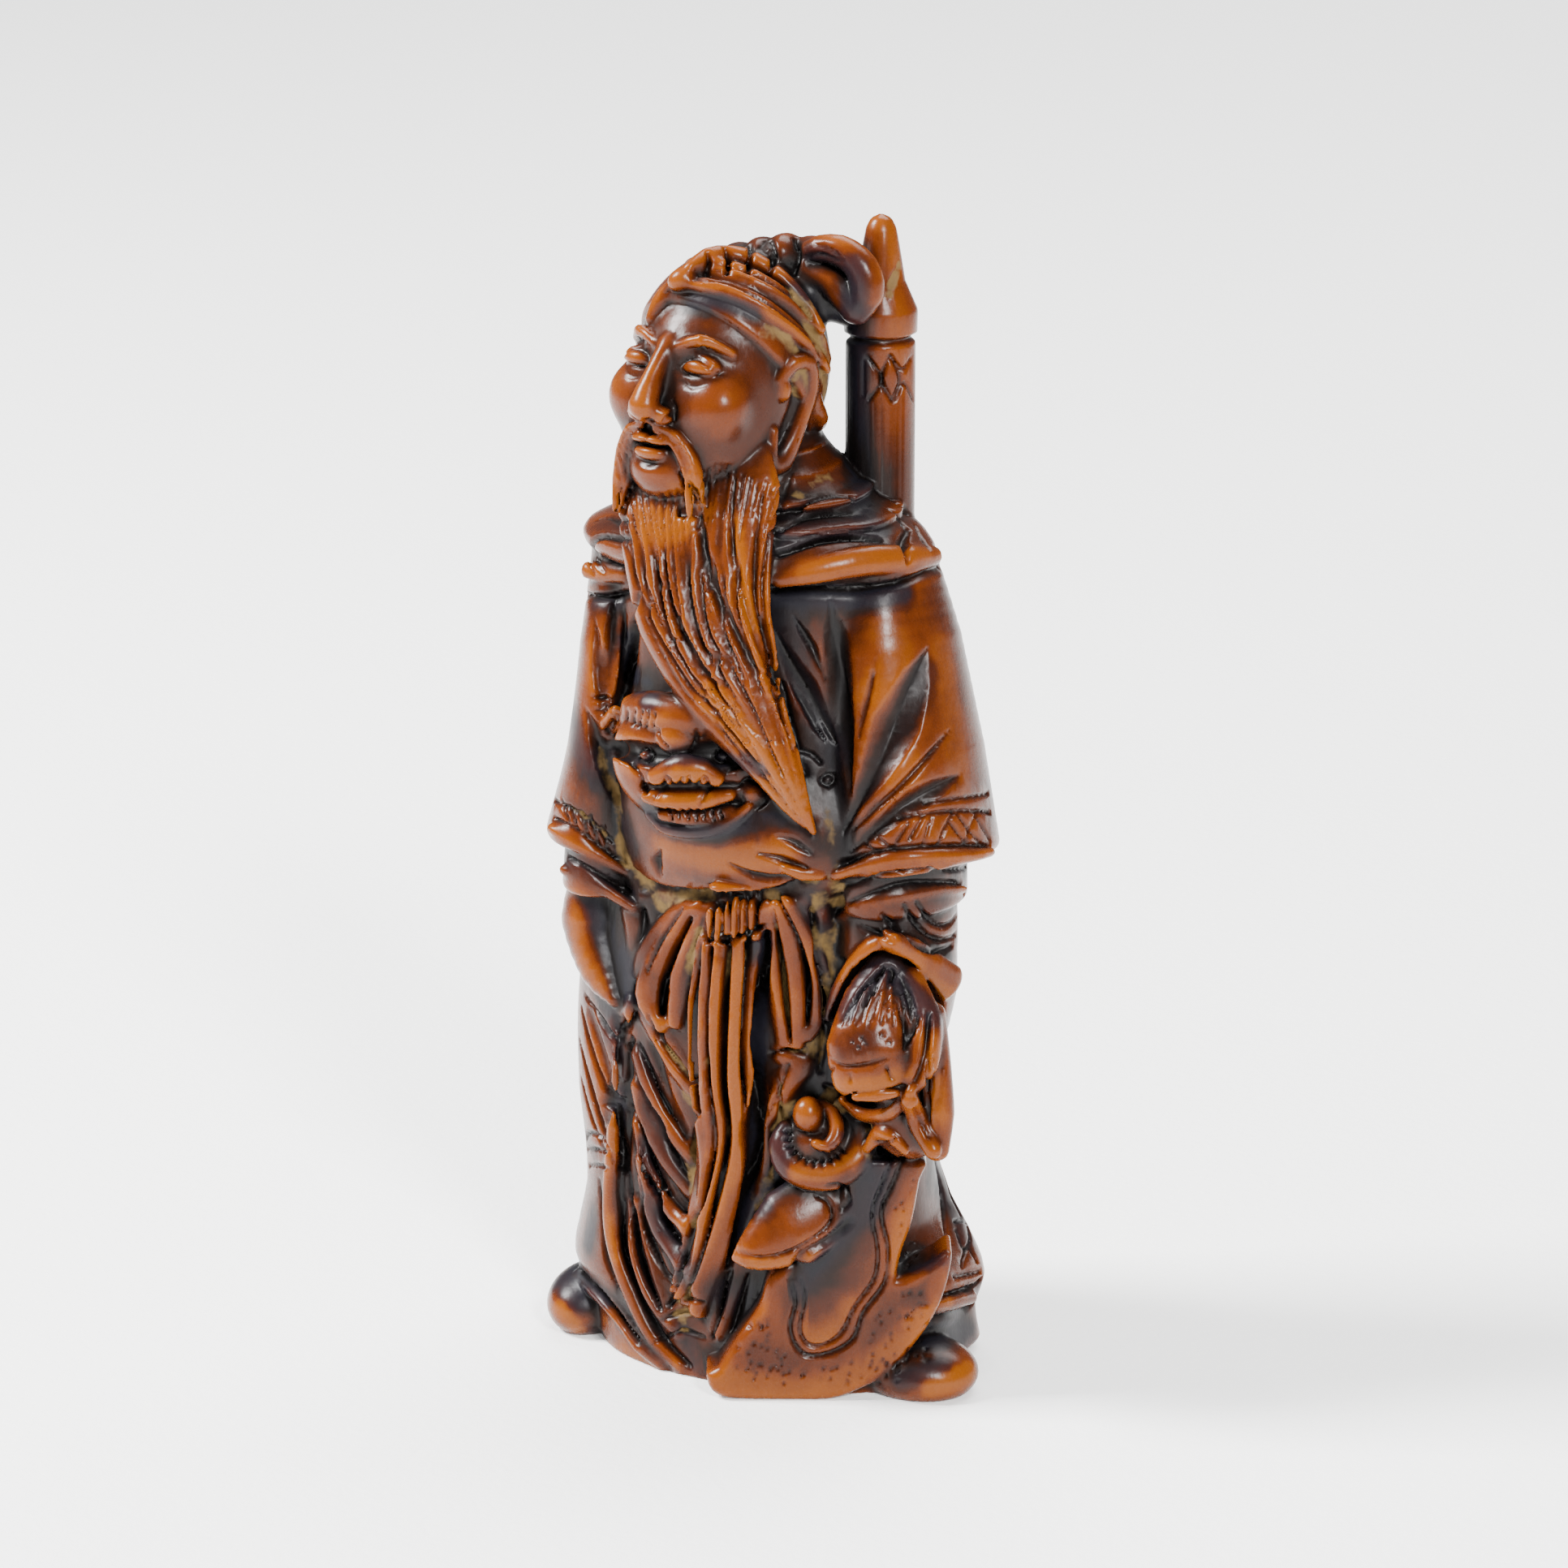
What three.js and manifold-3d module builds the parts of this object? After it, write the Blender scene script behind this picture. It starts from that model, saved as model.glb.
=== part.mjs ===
// A carved boxwood netsuke: a bearded general in robes, with a halberd held blade down at the left side.
// The whole figure is one piece of wood, so it is one closed solid. Millimetres, +Z up. The figure faces -Y,
// its own left hand is at +X, and the origin is on the flat underside below the spine.
import * as THREE from "three";
import { mergeVertices } from "three/addons/utils/BufferGeometryUtils.js";
import Module from "manifold-3d";

const wasm = await Module();
wasm.setup();

// Driving dimensions.
const HEIGHT = 65.3; // underside to the tip of the halberd's butt
const SHAFT = { at: [5.05, 4.0], radius: 1.93, foot: 44, rings: [53.6, 54.8, 58.3] };
const HEAD = { at: [-1.7, -1.7, 56.9], size: [4.8, 5.4, 6.1], yaw: -15, pitch: -12 };
const CAP_THICKNESS = 0.45;
const BLADE = { at: [3.1, -6.95, 0], turn: 25, thick: 3.4 };
const CORD_HOLE_RADIUS = 1.35;
const SLIVER = 0.17; // triangles thinner than this are merged where the parts meet

// The carving is drawn on a board that stands before the figure: places on it are [across, up], and a sight
// line goes through each of them from an eye at this turn, rise and distance from what it looks at.
const EYE = { turn: 25, rise: 16, away: 300, at: [0.9, 0.4, 33.3], middle: [0.95, 32] };

const deg = THREE.MathUtils.degToRad;
const lerp = THREE.MathUtils.lerp;
const vec = (p) => new THREE.Vector3(...p);

// ------------------------------------------------------------------ tools

// A closed geometry becomes a solid that can be joined and cut.
function solid(geometry) {
  const bare = new THREE.BufferGeometry();
  bare.setAttribute("position", geometry.getAttribute("position"));
  if (geometry.index) bare.setIndex(geometry.index);
  const merged = mergeVertices(bare, 1e-4);
  return new wasm.Manifold(
    new wasm.Mesh({
      numProp: 3,
      vertProperties: new Float32Array(merged.attributes.position.array),
      triVerts: new Uint32Array(merged.index.array),
    }),
  );
}

const join = (parts) => parts.reduce((whole, part) => whole.add(part));

// Moves every vertex of a geometry by a function.
function shape(geometry, move) {
  const place = geometry.getAttribute("position");
  const point = new THREE.Vector3();
  for (let i = 0; i < place.count; i++) {
    move(point.fromBufferAttribute(place, i));
    place.setXYZ(i, point.x, point.y, point.z);
  }
  return geometry;
}

// Reads a number, or a list of numbers spread evenly from 0 to 1.
function read(list, t) {
  if (!Array.isArray(list)) return list;
  const s = t * (list.length - 1);
  const i = Math.min(Math.floor(s), list.length - 2);
  return lerp(list[i], list[i + 1], s - i);
}

// Reads a table of rows that start with the height, at any height.
function atHeight(rows, z) {
  let i = 0;
  while (i < rows.length - 2 && z > rows[i + 1][0]) i++;
  const [low, high] = [rows[i], rows[i + 1]];
  const t = THREE.MathUtils.clamp((z - low[0]) / (high[0] - low[0]), 0, 1);
  return low.map((value, k) => lerp(value, high[k], t));
}

const turned = (yaw, pitch) =>
  new THREE.Quaternion().setFromEuler(new THREE.Euler(deg(pitch), 0, deg(yaw), "ZYX"));

// An egg: a sphere stretched to three radii, pitched about its own side axis and then turned about Z.
function egg({ at, size, yaw = 0, pitch = 0, sides = 10, rows = 7 }) {
  const ball = new THREE.SphereGeometry(1, sides, rows);
  ball.rotateX(Math.PI / 2);
  ball.scale(...size);
  ball.applyQuaternion(turned(yaw, pitch));
  ball.translate(...at);
  return solid(ball);
}

// A limb: a bar that follows a curve, with a half width across it and a half thickness towards its face.
// Of four sides, it is the cutter of a V-shaped groove.
function limb({ path, across, deep, sides = 12, steps = 8, face = [0, -1, 0] }) {
  const curve = new THREE.CatmullRomCurve3(path.map(vec));
  const bar = new THREE.CylinderGeometry(1, 1, 1, sides, steps);
  shape(bar, (p) => {
    const t = 0.5 - p.y;
    const along = curve.getTangent(t);
    const side = new THREE.Vector3().crossVectors(along, vec(face)).normalize();
    const out = new THREE.Vector3().crossVectors(side, along).normalize();
    const [a, b] = [p.x * read(across, t), p.z * read(deep, t)];
    p.copy(curve.getPoint(t)).addScaledVector(side, a).addScaledVector(out, -b);
  });
  return solid(bar);
}

// A column of cloth: level rows of [z, centre x, centre y, half width, half depth]. It may be pleated by a
// function of the angle from the front, and may lean, so that its ends slope up to +X.
function column({ rows, sides = 24, square = 2.3, pleat = () => 0, lean = 0 }) {
  const tube = new THREE.CylinderGeometry(1, 1, 1, sides, rows.length - 1);
  tube.rotateX(Math.PI / 2);
  shape(tube, (p) => {
    const [z, cx, cy, wide, deep] = rows[Math.round((p.z + 0.5) * (rows.length - 1))];
    const reach = Math.hypot(p.x, p.y);
    const angle = Math.atan2(p.x, -p.y);
    const [s, c] = [Math.abs(Math.sin(angle)), Math.abs(Math.cos(angle))];
    const round = (s ** square + c ** square) ** (-1 / square);
    const r = reach * round * (1 + pleat(THREE.MathUtils.radToDeg(angle), z) / Math.min(wide, deep));
    p.set(cx + r * wide * Math.sin(angle), cy - r * deep * Math.cos(angle), 0);
    p.z = z + lean * (p.x - cx);
  });
  return solid(tube);
}

// Tests of whether a point is inside an egg or a column.
function insideEgg({ at, size, yaw = 0, pitch = 0 }) {
  const back = turned(yaw, pitch).invert();
  return (point) => point.clone().sub(vec(at)).applyQuaternion(back).divide(vec(size)).length() < 1;
}

function insideColumn(rows, square = 2.3) {
  return ({ x, y, z }) => {
    if (z < rows[0][0] || z > rows[rows.length - 1][0]) return false;
    const [, cx, cy, wide, deep] = atHeight(rows, z);
    return Math.abs((x - cx) / wide) ** square + Math.abs((y - cy) / deep) ** square < 1;
  };
}

// ------------------------------------------------------------------ the board

const [TURN, RISE] = [deg(EYE.turn), deg(EYE.rise)];
const RIGHT = new THREE.Vector3(Math.cos(TURN), Math.sin(TURN), 0);
const RIM_NEAR = 5.6;
const UP = new THREE.Vector3(0, Math.sin(RISE), Math.cos(RISE)).applyAxisAngle(vec([0, 0, 1]), TURN);
const BACK = new THREE.Vector3().crossVectors(RIGHT, UP);
const FACE = BACK.toArray();

// The point on the sight line through a place on the board that is so near to the eye.
function sight([across, up], near) {
  const less = 1 - near / EYE.away;
  return vec(EYE.at)
    .addScaledVector(RIGHT, (across - EYE.middle[0]) * less)
    .addScaledVector(UP, (up - EYE.middle[1]) * less)
    .addScaledVector(BACK, near);
}

// The point where a sight line meets the first of the masses, lifted towards the eye. A line that runs past
// them all is taken to pass the cap's rim.
function onto(place, lift = 0) {
  let near = 16;
  while (near > -12 && !MASSES.some((inside) => inside(sight(place, near)))) near -= 0.1;
  return sight(place, (near > -12 ? near : RIM_NEAR) + lift).toArray();
}

// A roll or a fold of wood laid on the figure, and a groove cut along it.
const bar = ({ line, wide, thick = wide, lift = 0, sides = 5, steps = 5 }) =>
  limb({ path: line.map((p) => onto(p, lift)), across: wide, deep: thick, sides, steps, face: FACE });

const groove = ([line, wide, deep, lift = 0], steps = 3) => {
  const pointed = (size) => [0.05, ...(Array.isArray(size) ? size : [size, size, size]), 0.05];
  return limb({
    path: line.map((p) => onto(p, lift)),
    across: pointed(wide).map((w) => Math.max(0.05, w / 2)),
    deep: pointed(deep),
    sides: 4,
    steps,
    face: FACE,
  });
};

// ------------------------------------------------------------------ the masses

// The long inner robe, from the hem to the neck.
const ROBE = [
  [0, 0.6, 0.4, 10.6, 7.6],
  [8, 0, 0.3, 10, 7.2],
  [22, 0, 0, 9.2, 6.8],
  [27, 0.3, -0.1, 8.4, 6.3],
  [30, 0.5, -0.4, 8.8, 7.2],
  [33, 0.5, -0.6, 9, 7.4],
  [36, 0, -0.3, 8.6, 6.7],
  [44, -0.2, 0.1, 8.9, 6.2],
  [47, -0.5, 0.3, 9, 6.2],
  [50, -0.7, 0.2, 6.5, 5.4],
  [53, -0.9, 0, 3.9, 4],
];
const BELLY = { at: [1.5, -2.6, 31.4], size: [7.9, 5.9, 3.9] };

// The coat worn over it, with a hem that flares, and its front edge at the right: [height, how far out].
const COAT = [
  [0.6, 0.5, 1, 11.4, 7.7],
  [2.6, 0.3, 1, 11.3, 8],
  [4.6, 0.1, 1, 12, 8.1],
  [6.5, -0.1, 1, 11.5, 8],
  [9, -0.5, 0.9, 10.5, 7.8],
  [15, -1.3, 0.7, 10.1, 7.5],
  [22, -1, 0.5, 10.2, 7.2],
  [29, -0.4, 0.3, 9.2, 6.9],
];
const COAT_EDGE = [
  [0, -0.6],
  [2.5, -3.4],
  [4.7, -5],
  [7.5, -6.6],
  [10, -6.9],
  [20, -5.5],
  [30, -5],
];

// The cape: a scarf laid round the shoulders in rolls.
const CAPE = [
  [46.5, -0.7, 0.2, 9.3, 6.8],
  [47.1, -0.7, 0.2, 9.9, 7.4],
  [48.1, -0.6, 0.2, 9.6, 7.3],
  [48.7, -0.4, 0.2, 8.2, 6.5],
  [49.4, -0.3, 0.2, 8.1, 6.6],
  [50.2, -0.1, 0.1, 6, 5.5],
  [51, -0.2, 0.1, 5.9, 5.6],
  [51.8, -0.5, 0, 4.4, 4.4],
  [53, -0.9, 0, 3.8, 4],
];

// Each sleeve is a row of layers, the longest outside.
const LEFT_SLEEVES = [
  [
    [30.4, 9.8, -0.9, 4.1, 5.8],
    [36, 8.9, -0.5, 3.9, 5.5],
    [42, 7.8, 0, 3.4, 4.8],
    [46.3, 7, 0.4, 2.7, 3.9],
    [48.6, 6.7, 0.4, 1.4, 2.2],
  ],
  [
    [28, 8.8, -1.2, 3.4, 5.1],
    [33, 8.8, -1, 3.2, 4.8],
  ],
  [
    [25.3, 8.6, -1.5, 3.1, 4.6],
    [30, 8.7, -1.3, 2.9, 4.4],
  ],
];
const RIGHT_SLEEVES = [
  [
    [29.7, -8.9, -2.2, 3.2, 4.9],
    [35, -8, -1.7, 2.8, 4.8],
    [41, -7.6, -0.9, 2.7, 4.7],
    [46.3, -7.7, 0.1, 2.5, 3.8],
    [48.3, -7.6, 0.2, 1.4, 2.2],
  ],
  [
    [27.2, -8.2, -2.6, 2.5, 4.5],
    [31, -8.1, -2.3, 2.5, 4.4],
  ],
];
const LEFT_FOREARM = {
  path: [[8.9, -1.4, 27], [9, -2.2, 23.5], [8.9, -3, 20.8], [8.7, -3.6, 19.4]],
  across: [2.9, 3.2, 2.9, 2.2],
  deep: [3.9, 4.1, 4, 3.2],
};

const CLASP = { at: sight([-4.3, 33.4], 6.4).toArray(), size: [4.4, 2.2, 3.9], yaw: 10 };
const DRAGON_NECK = { at: sight([3.1, 12], 2).toArray(), size: [2.4, 2, 2.2], yaw: 25 };
const CAP = { ...HEAD, size: HEAD.size.map((r) => r + CAP_THICKNESS) };

function insideBlade({ x, y, z }) {
  const turn = deg(BLADE.turn);
  const [dx, dy] = [x - BLADE.at[0], y - BLADE.at[1]];
  const [u, v] = [dx * Math.cos(turn) + dy * Math.sin(turn), dy * Math.cos(turn) - dx * Math.sin(turn)];
  return u > -3.4 && u < 9.6 && z > 0 && z < 14 && Math.abs(v) < BLADE.thick / 2;
}

// What the carving is laid on.
const MASSES = [
  insideColumn(ROBE),
  insideColumn(COAT),
  insideColumn(CAPE, 2.1),
  insideEgg(BELLY),
  insideEgg(CLASP),
  insideEgg(DRAGON_NECK),
  insideEgg(CAP),
  insideEgg({ at: [8.9, -2.6, 23], size: [3.1, 4.1, 5.5] }),
  insideBlade,
  ...[...LEFT_SLEEVES, ...RIGHT_SLEEVES].map((rows) => insideColumn(rows, 2)),
];

// ------------------------------------------------------------------ the carving, drawn on the board

// Rolls and folds: a line, a half width and a half thickness along it, and a lift off the wood.
const SASH = [
  {
    line: [[-1.9, 24.1], [-2.1, 16.8], [-2.3, 10.9], [-3.2, 7.3], [-4.3, 3.6]],
    wide: [1.8, 1.9, 1.8, 1.5, 0.9], thick: 0.9, sides: 10,
  },
  {
    line: [[-3.7, 25.6], [-4.6, 23.4], [-5.6, 21.1], [-5.9, 19]],
    wide: [0.7, 1.2, 1.7, 1.1], thick: 0.8, lift: 0.3, sides: 6,
  },
  {
    line: [[0.5, 25.5], [1.1, 22.7], [1.7, 20], [1.9, 17.7]],
    wide: [0.5, 1, 1.3, 1], thick: 0.9, lift: 0.3, sides: 6,
  },
  {
    line: [[-1.7, 26.1], [-1.7, 24.6], [-1.7, 23.5]],
    wide: [1.4, 1.6, 1.5], thick: 1.1, lift: 0.3, sides: 8, steps: 3,
  },
];
const COAT_ROLLS = [
  {
    line: [[-7.6, 19.9], [-8.2, 15.9], [-8.6, 9.3], [-8.5, 6.4], [-7.5, 3.4], [-4.9, -0.5]],
    wide: [0.4, 0.6, 0.6, 0.4], sides: 6,
  },
  { line: [[-9.2, 3.6], [-8, 2.2], [-7, 0.8], [-5.9, -0.3]], wide: [0.4, 0.65, 0.6, 0.5], sides: 6 },
];
const CLASP_ROLLS = [
  {
    line: [[-8.8, 35.3], [-8.1, 35.9], [-6.8, 36.2], [-5.2, 35.7], [-3.6, 35.5], [-2, 34.9]],
    wide: [0.6, 1, 1, 0.6], lift: 0.05,
  },
  {
    line: [[-6.3, 32.2], [-5.6, 32.7], [-4.5, 32.9], [-3.5, 32.7], [-2.8, 32.1]],
    wide: [0.4, 0.8, 0.85, 0.8, 0.4], lift: 0.2, steps: 6,
  },
  { line: [[-6.8, 31.3], [-5.5, 31], [-3.8, 31], [-2, 31.3]], wide: 0.45, lift: 0.3, sides: 6, steps: 4 },
  {
    line: [[-6.9, 30.8], [-6, 29.9], [-4.5, 29.4], [-3, 29.5], [-1.6, 30.2], [-0.9, 30.9]],
    wide: 0.4, lift: 0.25, sides: 6, steps: 6,
  },
];
const CAP_FOLDS = [
  { line: [[-6.8, 57.9], [-6, 59], [-4.7, 60.2]], wide: 0.5, lift: 0.1, sides: 6, steps: 4 },
  {
    line: [[-4.5, 60], [-3.5, 59.9], [-2, 59.5], [-0.6, 58.9], [1, 57.8], [3.2, 55.4]],
    wide: [0.4, 0.6, 0.5, 0.3], lift: 0.15, sides: 6,
  },
  {
    line: [[-4.2, 60.2], [-3.3, 60.7], [-2, 60.6], [-0.3, 59.9], [1.3, 58.9], [3.3, 55.9]],
    wide: [0.4, 0.7, 0.6, 0.3], lift: 0.1, sides: 6,
  },
  {
    line: [[-3.9, 60.6], [-3.1, 61.2], [-2, 61.4], [-0.7, 61.1], [0.8, 60.2], [3, 57.5]],
    wide: [0.4, 0.7, 0.6, 0.3], lift: 0.05, sides: 6,
  },
];
const SCROLL_OUTER = [[2, 61.7], [3, 62], [4.1, 61.9], [5, 61.3], [5.5, 60.5], [5.6, 59.5], [5.1, 58.5]];
const SCROLL_INNER = [[0.8, 60.8], [2, 60.7], [3.1, 60.4], [4.1, 59.6], [4.9, 58.6]];
const CUFF_ROLLS = [
  {
    line: [[3.5, 19.1], [4.1, 20.4], [4.9, 21.7], [6, 22.9], [6.9, 23.3]],
    wide: [0.4, 0.6, 0.65, 0.6], thick: 0.8, lift: 0.2, steps: 5,
  },
  {
    line: [[6.9, 23.3], [7.9, 22.5], [9, 21.6], [9.9, 21]],
    wide: [0.7, 1.1, 1.2, 1.1], thick: 0.8, steps: 4,
  },
];
const MANE = [
  {
    line: [[0.9, 12.5], [1, 11.5], [1.7, 10.5], [2.9, 10.1], [4.1, 10.4], [5.3, 11.5], [5.3, 13.1], [4.1, 14.3]],
    wide: [0.5, 0.9, 0.95, 0.95, 0.9, 0.4],
    lift: 0.25,
    steps: 7,
  },
  { line: [[2.8, 14.2], [3.6, 13.5], [3.8, 12.5], [3.1, 11.7]], wide: 0.4, lift: 0.4, sides: 6, steps: 5 },
];

// Grooves: a line, a width and a depth along it, and a lift when it runs over a fold.
const ROBE_GROOVES = [
  [[[-3, 23], [-3.5, 20], [-3.8, 16.8], [-4.3, 10.5]], 0.8, 0.7],
  [[[-2.3, 22.8], [-2.9, 19.1], [-3.2, 15.5], [-3.3, 11.8], [-4, 8.2], [-5.2, 3.6]], 0.6, 0.5, 0.8],
  [[[-1.6, 22.9], [-2.2, 19.1], [-2.4, 15.5], [-2.3, 12.3], [-3.4, 7.3], [-4.5, 3.2]], 0.6, 0.5, 0.85],
  [[[0, 23.6], [-0.3, 19.7], [-0.5, 14.6], [-0.7, 10.9], [-1.5, 7.7], [-2.1, 5]], [0.9, 1.1, 1.1, 0.7], 1.2],
  [[[-6.7, 19], [-5.9, 17.5], [-4.2, 15.2]], 0.9, 0.5],
  [[[-7.2, 17.5], [-6.5, 15.9], [-4.4, 12.1]], 0.9, 0.6],
  [[[-7.4, 15.9], [-6, 12.8], [-4.2, 9.9]], 0.9, 0.6],
  [[[-7.5, 14.1], [-6.8, 11.8], [-4.5, 8]], 1, 0.6],
  [[[-7.7, 10.2], [-7.5, 6.8], [-6, 2.6]], 1, 0.7],
  [[[-8, 8.6], [-7.9, 5.5], [-6.6, 2.3], [-4.3, -0.6]], 0.7, 0.5],
  [[[2.7, 25], [3.1, 22.3], [3.4, 19.5], [3, 15.9]], 1, 0.7],
  [[[0.6, 15.5], [0.9, 12.7], [0.3, 10]], 0.9, 0.5],
  [[[0.7, 24.8], [1.2, 22.3], [1.5, 19.5], [1.6, 17.9]], 0.6, 0.4, 1.1],
];
const COAT_GROOVES = [
  [[[-10.4, 19.5], [-9.9, 17.3], [-9, 14.5], [-8.3, 12.7]], 0.8, 0.5],
  [[[-9.4, 9.8], [-9.2, 7.7], [-9, 5.5], [-8.3, 3.6]], 0.8, 0.5],
  [[[9.4, 11.1], [9.8, 9.1], [10, 6.8]], 0.8, 0.5],
];
const CLASP_GROOVES = [
  [[[-8.6, 34.1], [-7.2, 33.5], [-4.3, 33.9], [-2.8, 33.7], [-0.2, 33]], [0.9, 1.4, 1.1, 1.4, 0.8], 0.8],
  [[[-5.8, 30.3], [-4.5, 30.6], [-2, 30.4]], 0.7, 0.6, 0.2],
];
const CAPE_GROOVES = [
  [[[0.5, 46.1], [2, 46.8], [3.5, 47.1], [5.2, 47.1]], 0.6, 0.4],
  [[[0.7, 44.9], [2.5, 45.5], [4.4, 45.8], [6.3, 45.7]], 0.7, 0.5],
  [[[7.9, 46.3], [7.6, 45.5], [7.9, 44.6]], 0.8, 0.5],
];
const LEAVES = [
  [
    [[3.5, 42.6], [3.9, 39.5], [4.2, 36.4], [4.5, 33.2], [4.7, 30.9]],
    [1.5, 1.9, 1.7, 0.9], [0.5, 0.7, 0.7, 0.4],
  ],
  [[[0.4, 40.7], [1.4, 38.6], [2.7, 36.5], [4, 34]], [1, 1.5, 1.1], [0.5, 0.6, 0.5]],
  [[[9.1, 39.8], [8, 36.9], [6.5, 33.7], [5, 30.9], [4.2, 29]], [2, 2.7, 1.9, 0.8], [0.7, 1, 0.8, 0.4]],
  [
    [[11, 32.6], [9.4, 31.7], [7.6, 30.6], [5.8, 29.2], [4.6, 28.1]],
    [1.2, 1.6, 1.2, 0.7], [0.5, 0.7, 0.6, 0.4],
  ],
  [[[7.5, 30], [8.8, 30.3], [10.4, 30.5], [12.8, 30.5]], 0.4, 0.3],
  [[[4.3, 27.6], [5.9, 28.2], [8.2, 28.5], [12.5, 28.6]], 0.5, 0.4],
  [[[-8.5, 42.8], [-8.7, 40.5], [-8.8, 38.2], [-9, 35.7]], [0.8, 1, 0.7], 0.5],
  [[[-9.7, 41.5], [-9.5, 39.5], [-9.3, 37.5], [-9.1, 35.5]], [0.7, 0.9, 0.7], 0.5],
  [[[-10.3, 36.5], [-9.6, 34.8], [-8.9, 32.7], [-8, 30]], [0.9, 1.2, 0.8], 0.6],
  [[[-7.4, 42.5], [-7.5, 40], [-7.9, 37.7], [-8.5, 35.9], [-9, 34.8]], [0.5, 1, 1.1, 0.8], 0.8],
];
const BELLY_GROOVES = [
  [[[-2.1, 27.5], [-0.9, 26.9], [0.7, 26.6], [2.4, 26.6]], 0.8, 0.5],
];
const BLADE_GROOVES = [
  [
    [[7.3, 11.1], [6.7, 9.5], [6.1, 7.9], [6.5, 5.9], [6.3, 4.1], [5.1, 2.5], [4.5, 1.1], [3.3, 0.4]],
    0.6, 0.4,
  ],
  [[[3.3, 0.4], [2, 0.5], [1.5, 1.5], [1.8, 3], [1.6, 4.3]], 0.6, 0.4],
  [[[1.5, 4.5], [2, 5.7], [3.4, 6.4], [4.6, 7.5]], 1, 0.5],
];

// The beard's two edges, between which its strands fan out.
const BEARD_LEFT = [[-8.3, 47.7], [-7.7, 43.6], [-7, 40.7], [-4.6, 37], [-1.1, 33.2], [2.5, 29.3]];
const BEARD_RIGHT = [[0.8, 47.7], [0.1, 44.1], [0.2, 40.5], [0.9, 37.5], [1.8, 33.5], [2.7, 29.3]];
const STRANDS = 6;

// ------------------------------------------------------------------ the figure

function body() {
  const foldsBehind = (angle, z) => {
    const behind = THREE.MathUtils.smoothstep(Math.abs(angle), 75, 110);
    const lower = THREE.MathUtils.smoothstep(30 - z, 0, 26);
    return 0.3 * lower * behind * Math.cos(deg(angle * 9 + 18 * Math.sin(z / 4.5)));
  };
  const around = [[30, 7.8], [0, 7.8], ...COAT_EDGE];
  const gap = new THREE.Shape(around.map(([z, x]) => new THREE.Vector2(x, z)));
  const opening = new THREE.ExtrudeGeometry(gap, { depth: 14, bevelEnabled: false });
  opening.rotateX(Math.PI / 2);
  opening.translate(0, -2, 0);
  const coat = column({ rows: COAT, sides: 38, pleat: foldsBehind }).subtract(solid(opening));
  const cape = column({ rows: CAPE, square: 2.1, sides: 24 });
  return [column({ rows: ROBE }), egg({ ...BELLY, sides: 14, rows: 8 }), coat, cape];
}

// A place on the head: to its own left, to its front and up from its middle.
function onHead(side, front, up) {
  return vec([side, -front, up]).applyQuaternion(turned(HEAD.yaw, HEAD.pitch)).add(vec(HEAD.at)).toArray();
}

function head() {
  const { yaw, pitch } = HEAD;
  const ahead = vec([0, -1, 0]).applyQuaternion(turned(yaw, pitch)).toArray();
  const lump = (at, size, sides = 6, rows = 5) => egg({ at: onHead(...at), size, yaw, pitch, sides, rows });
  const both = (make) => [-1, 1].map(make);
  const moustache = [[0.5, 6, -3.3], [1.8, 5.5, -4], [2.6, 5, -5.6], [2.7, 4.6, -7.4]];
  const face = [
    egg({ ...HEAD, sides: 16, rows: 10 }),
    lump([0, 1.6, -3.4], [4.3, 3.9, 3.7], 9, 6),
    lump([0, 3.6, -5.6], [2.3, 2, 1.6]),
    limb({ path: [onHead(0, 0, -4), [-0.8, -0.4, 50], [-0.6, 0, 47]], across: 3.3, deep: 3.5, steps: 3 }),
    limb({
      path: [onHead(0, 5.1, 1.3), onHead(0, 5.9, -0.6), onHead(0, 6.45, -2.1), onHead(0, 5.9, -2.75)],
      across: [0.5, 0.6, 1, 0.8],
      deep: [0.5, 0.8, 0.9, 0.5],
      steps: 4,
      sides: 6,
      face: ahead,
    }),
    lump([0, 5.4, -3.95], [1.3, 0.75, 0.34]),
    lump([0, 5.3, -4.6], [1.05, 0.75, 0.42]),
    ...both((s) => lump([s * 2.6, 3.7, -1.7], [2, 1.7, 2], 8, 6)),
    ...both((s) =>
      limb({
        path: [onHead(s * 0.8, 5.4, 1.3), onHead(s * 2.2, 5.3, 1.85), onHead(s * 3.8, 4, 1.3)],
        across: [0.25, 0.45, 0.2],
        deep: [0.4, 0.5, 0.3],
        steps: 4,
        sides: 6,
        face: ahead,
      }),
    ),
    ...both((s) =>
      limb({
        path: moustache.map(([side, front, up]) => onHead(s * side, front, up)),
        across: [0.3, 0.5, 0.5, 0.3],
        deep: 0.5,
        steps: 5,
        sides: 6,
        face: ahead,
      }),
    ),
    ...both((s) => lump([s * 4.7, -0.7, -1], [0.8, 1.2, 2.2], 7, 6)),
  ];
  const sockets = both((s) => lump([s * 2.1, 6.1, 0.4], [1.5, 1.05, 0.75]));
  const eyes = both((s) => lump([s * 2.1, 4.55, 0.3], [1.2, 0.85, 0.72]));
  return join([join(face).subtract(join(sockets)), ...eyes]);
}

// The cap: a scarf over the crown that runs down to the nape, knotted above the brow.
function cap() {
  const below = new THREE.BoxGeometry(30, 30, 30);
  below.translate(0, 0, -15);
  below.rotateX(deg(-40));
  below.applyQuaternion(turned(HEAD.yaw, HEAD.pitch));
  below.translate(...onHead(0, 5.2, 4.2));
  const dome = egg({ ...CAP, at: onHead(0, -0.3, 0.3), sides: 16, rows: 10 });
  const knot = egg({ at: onto([-4.8, 60.3]), size: [0.95, 0.8, 0.75], sides: 8, rows: 6 });
  return [dome.subtract(solid(below)), knot, ...CAP_FOLDS.map(bar)];
}

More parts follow.
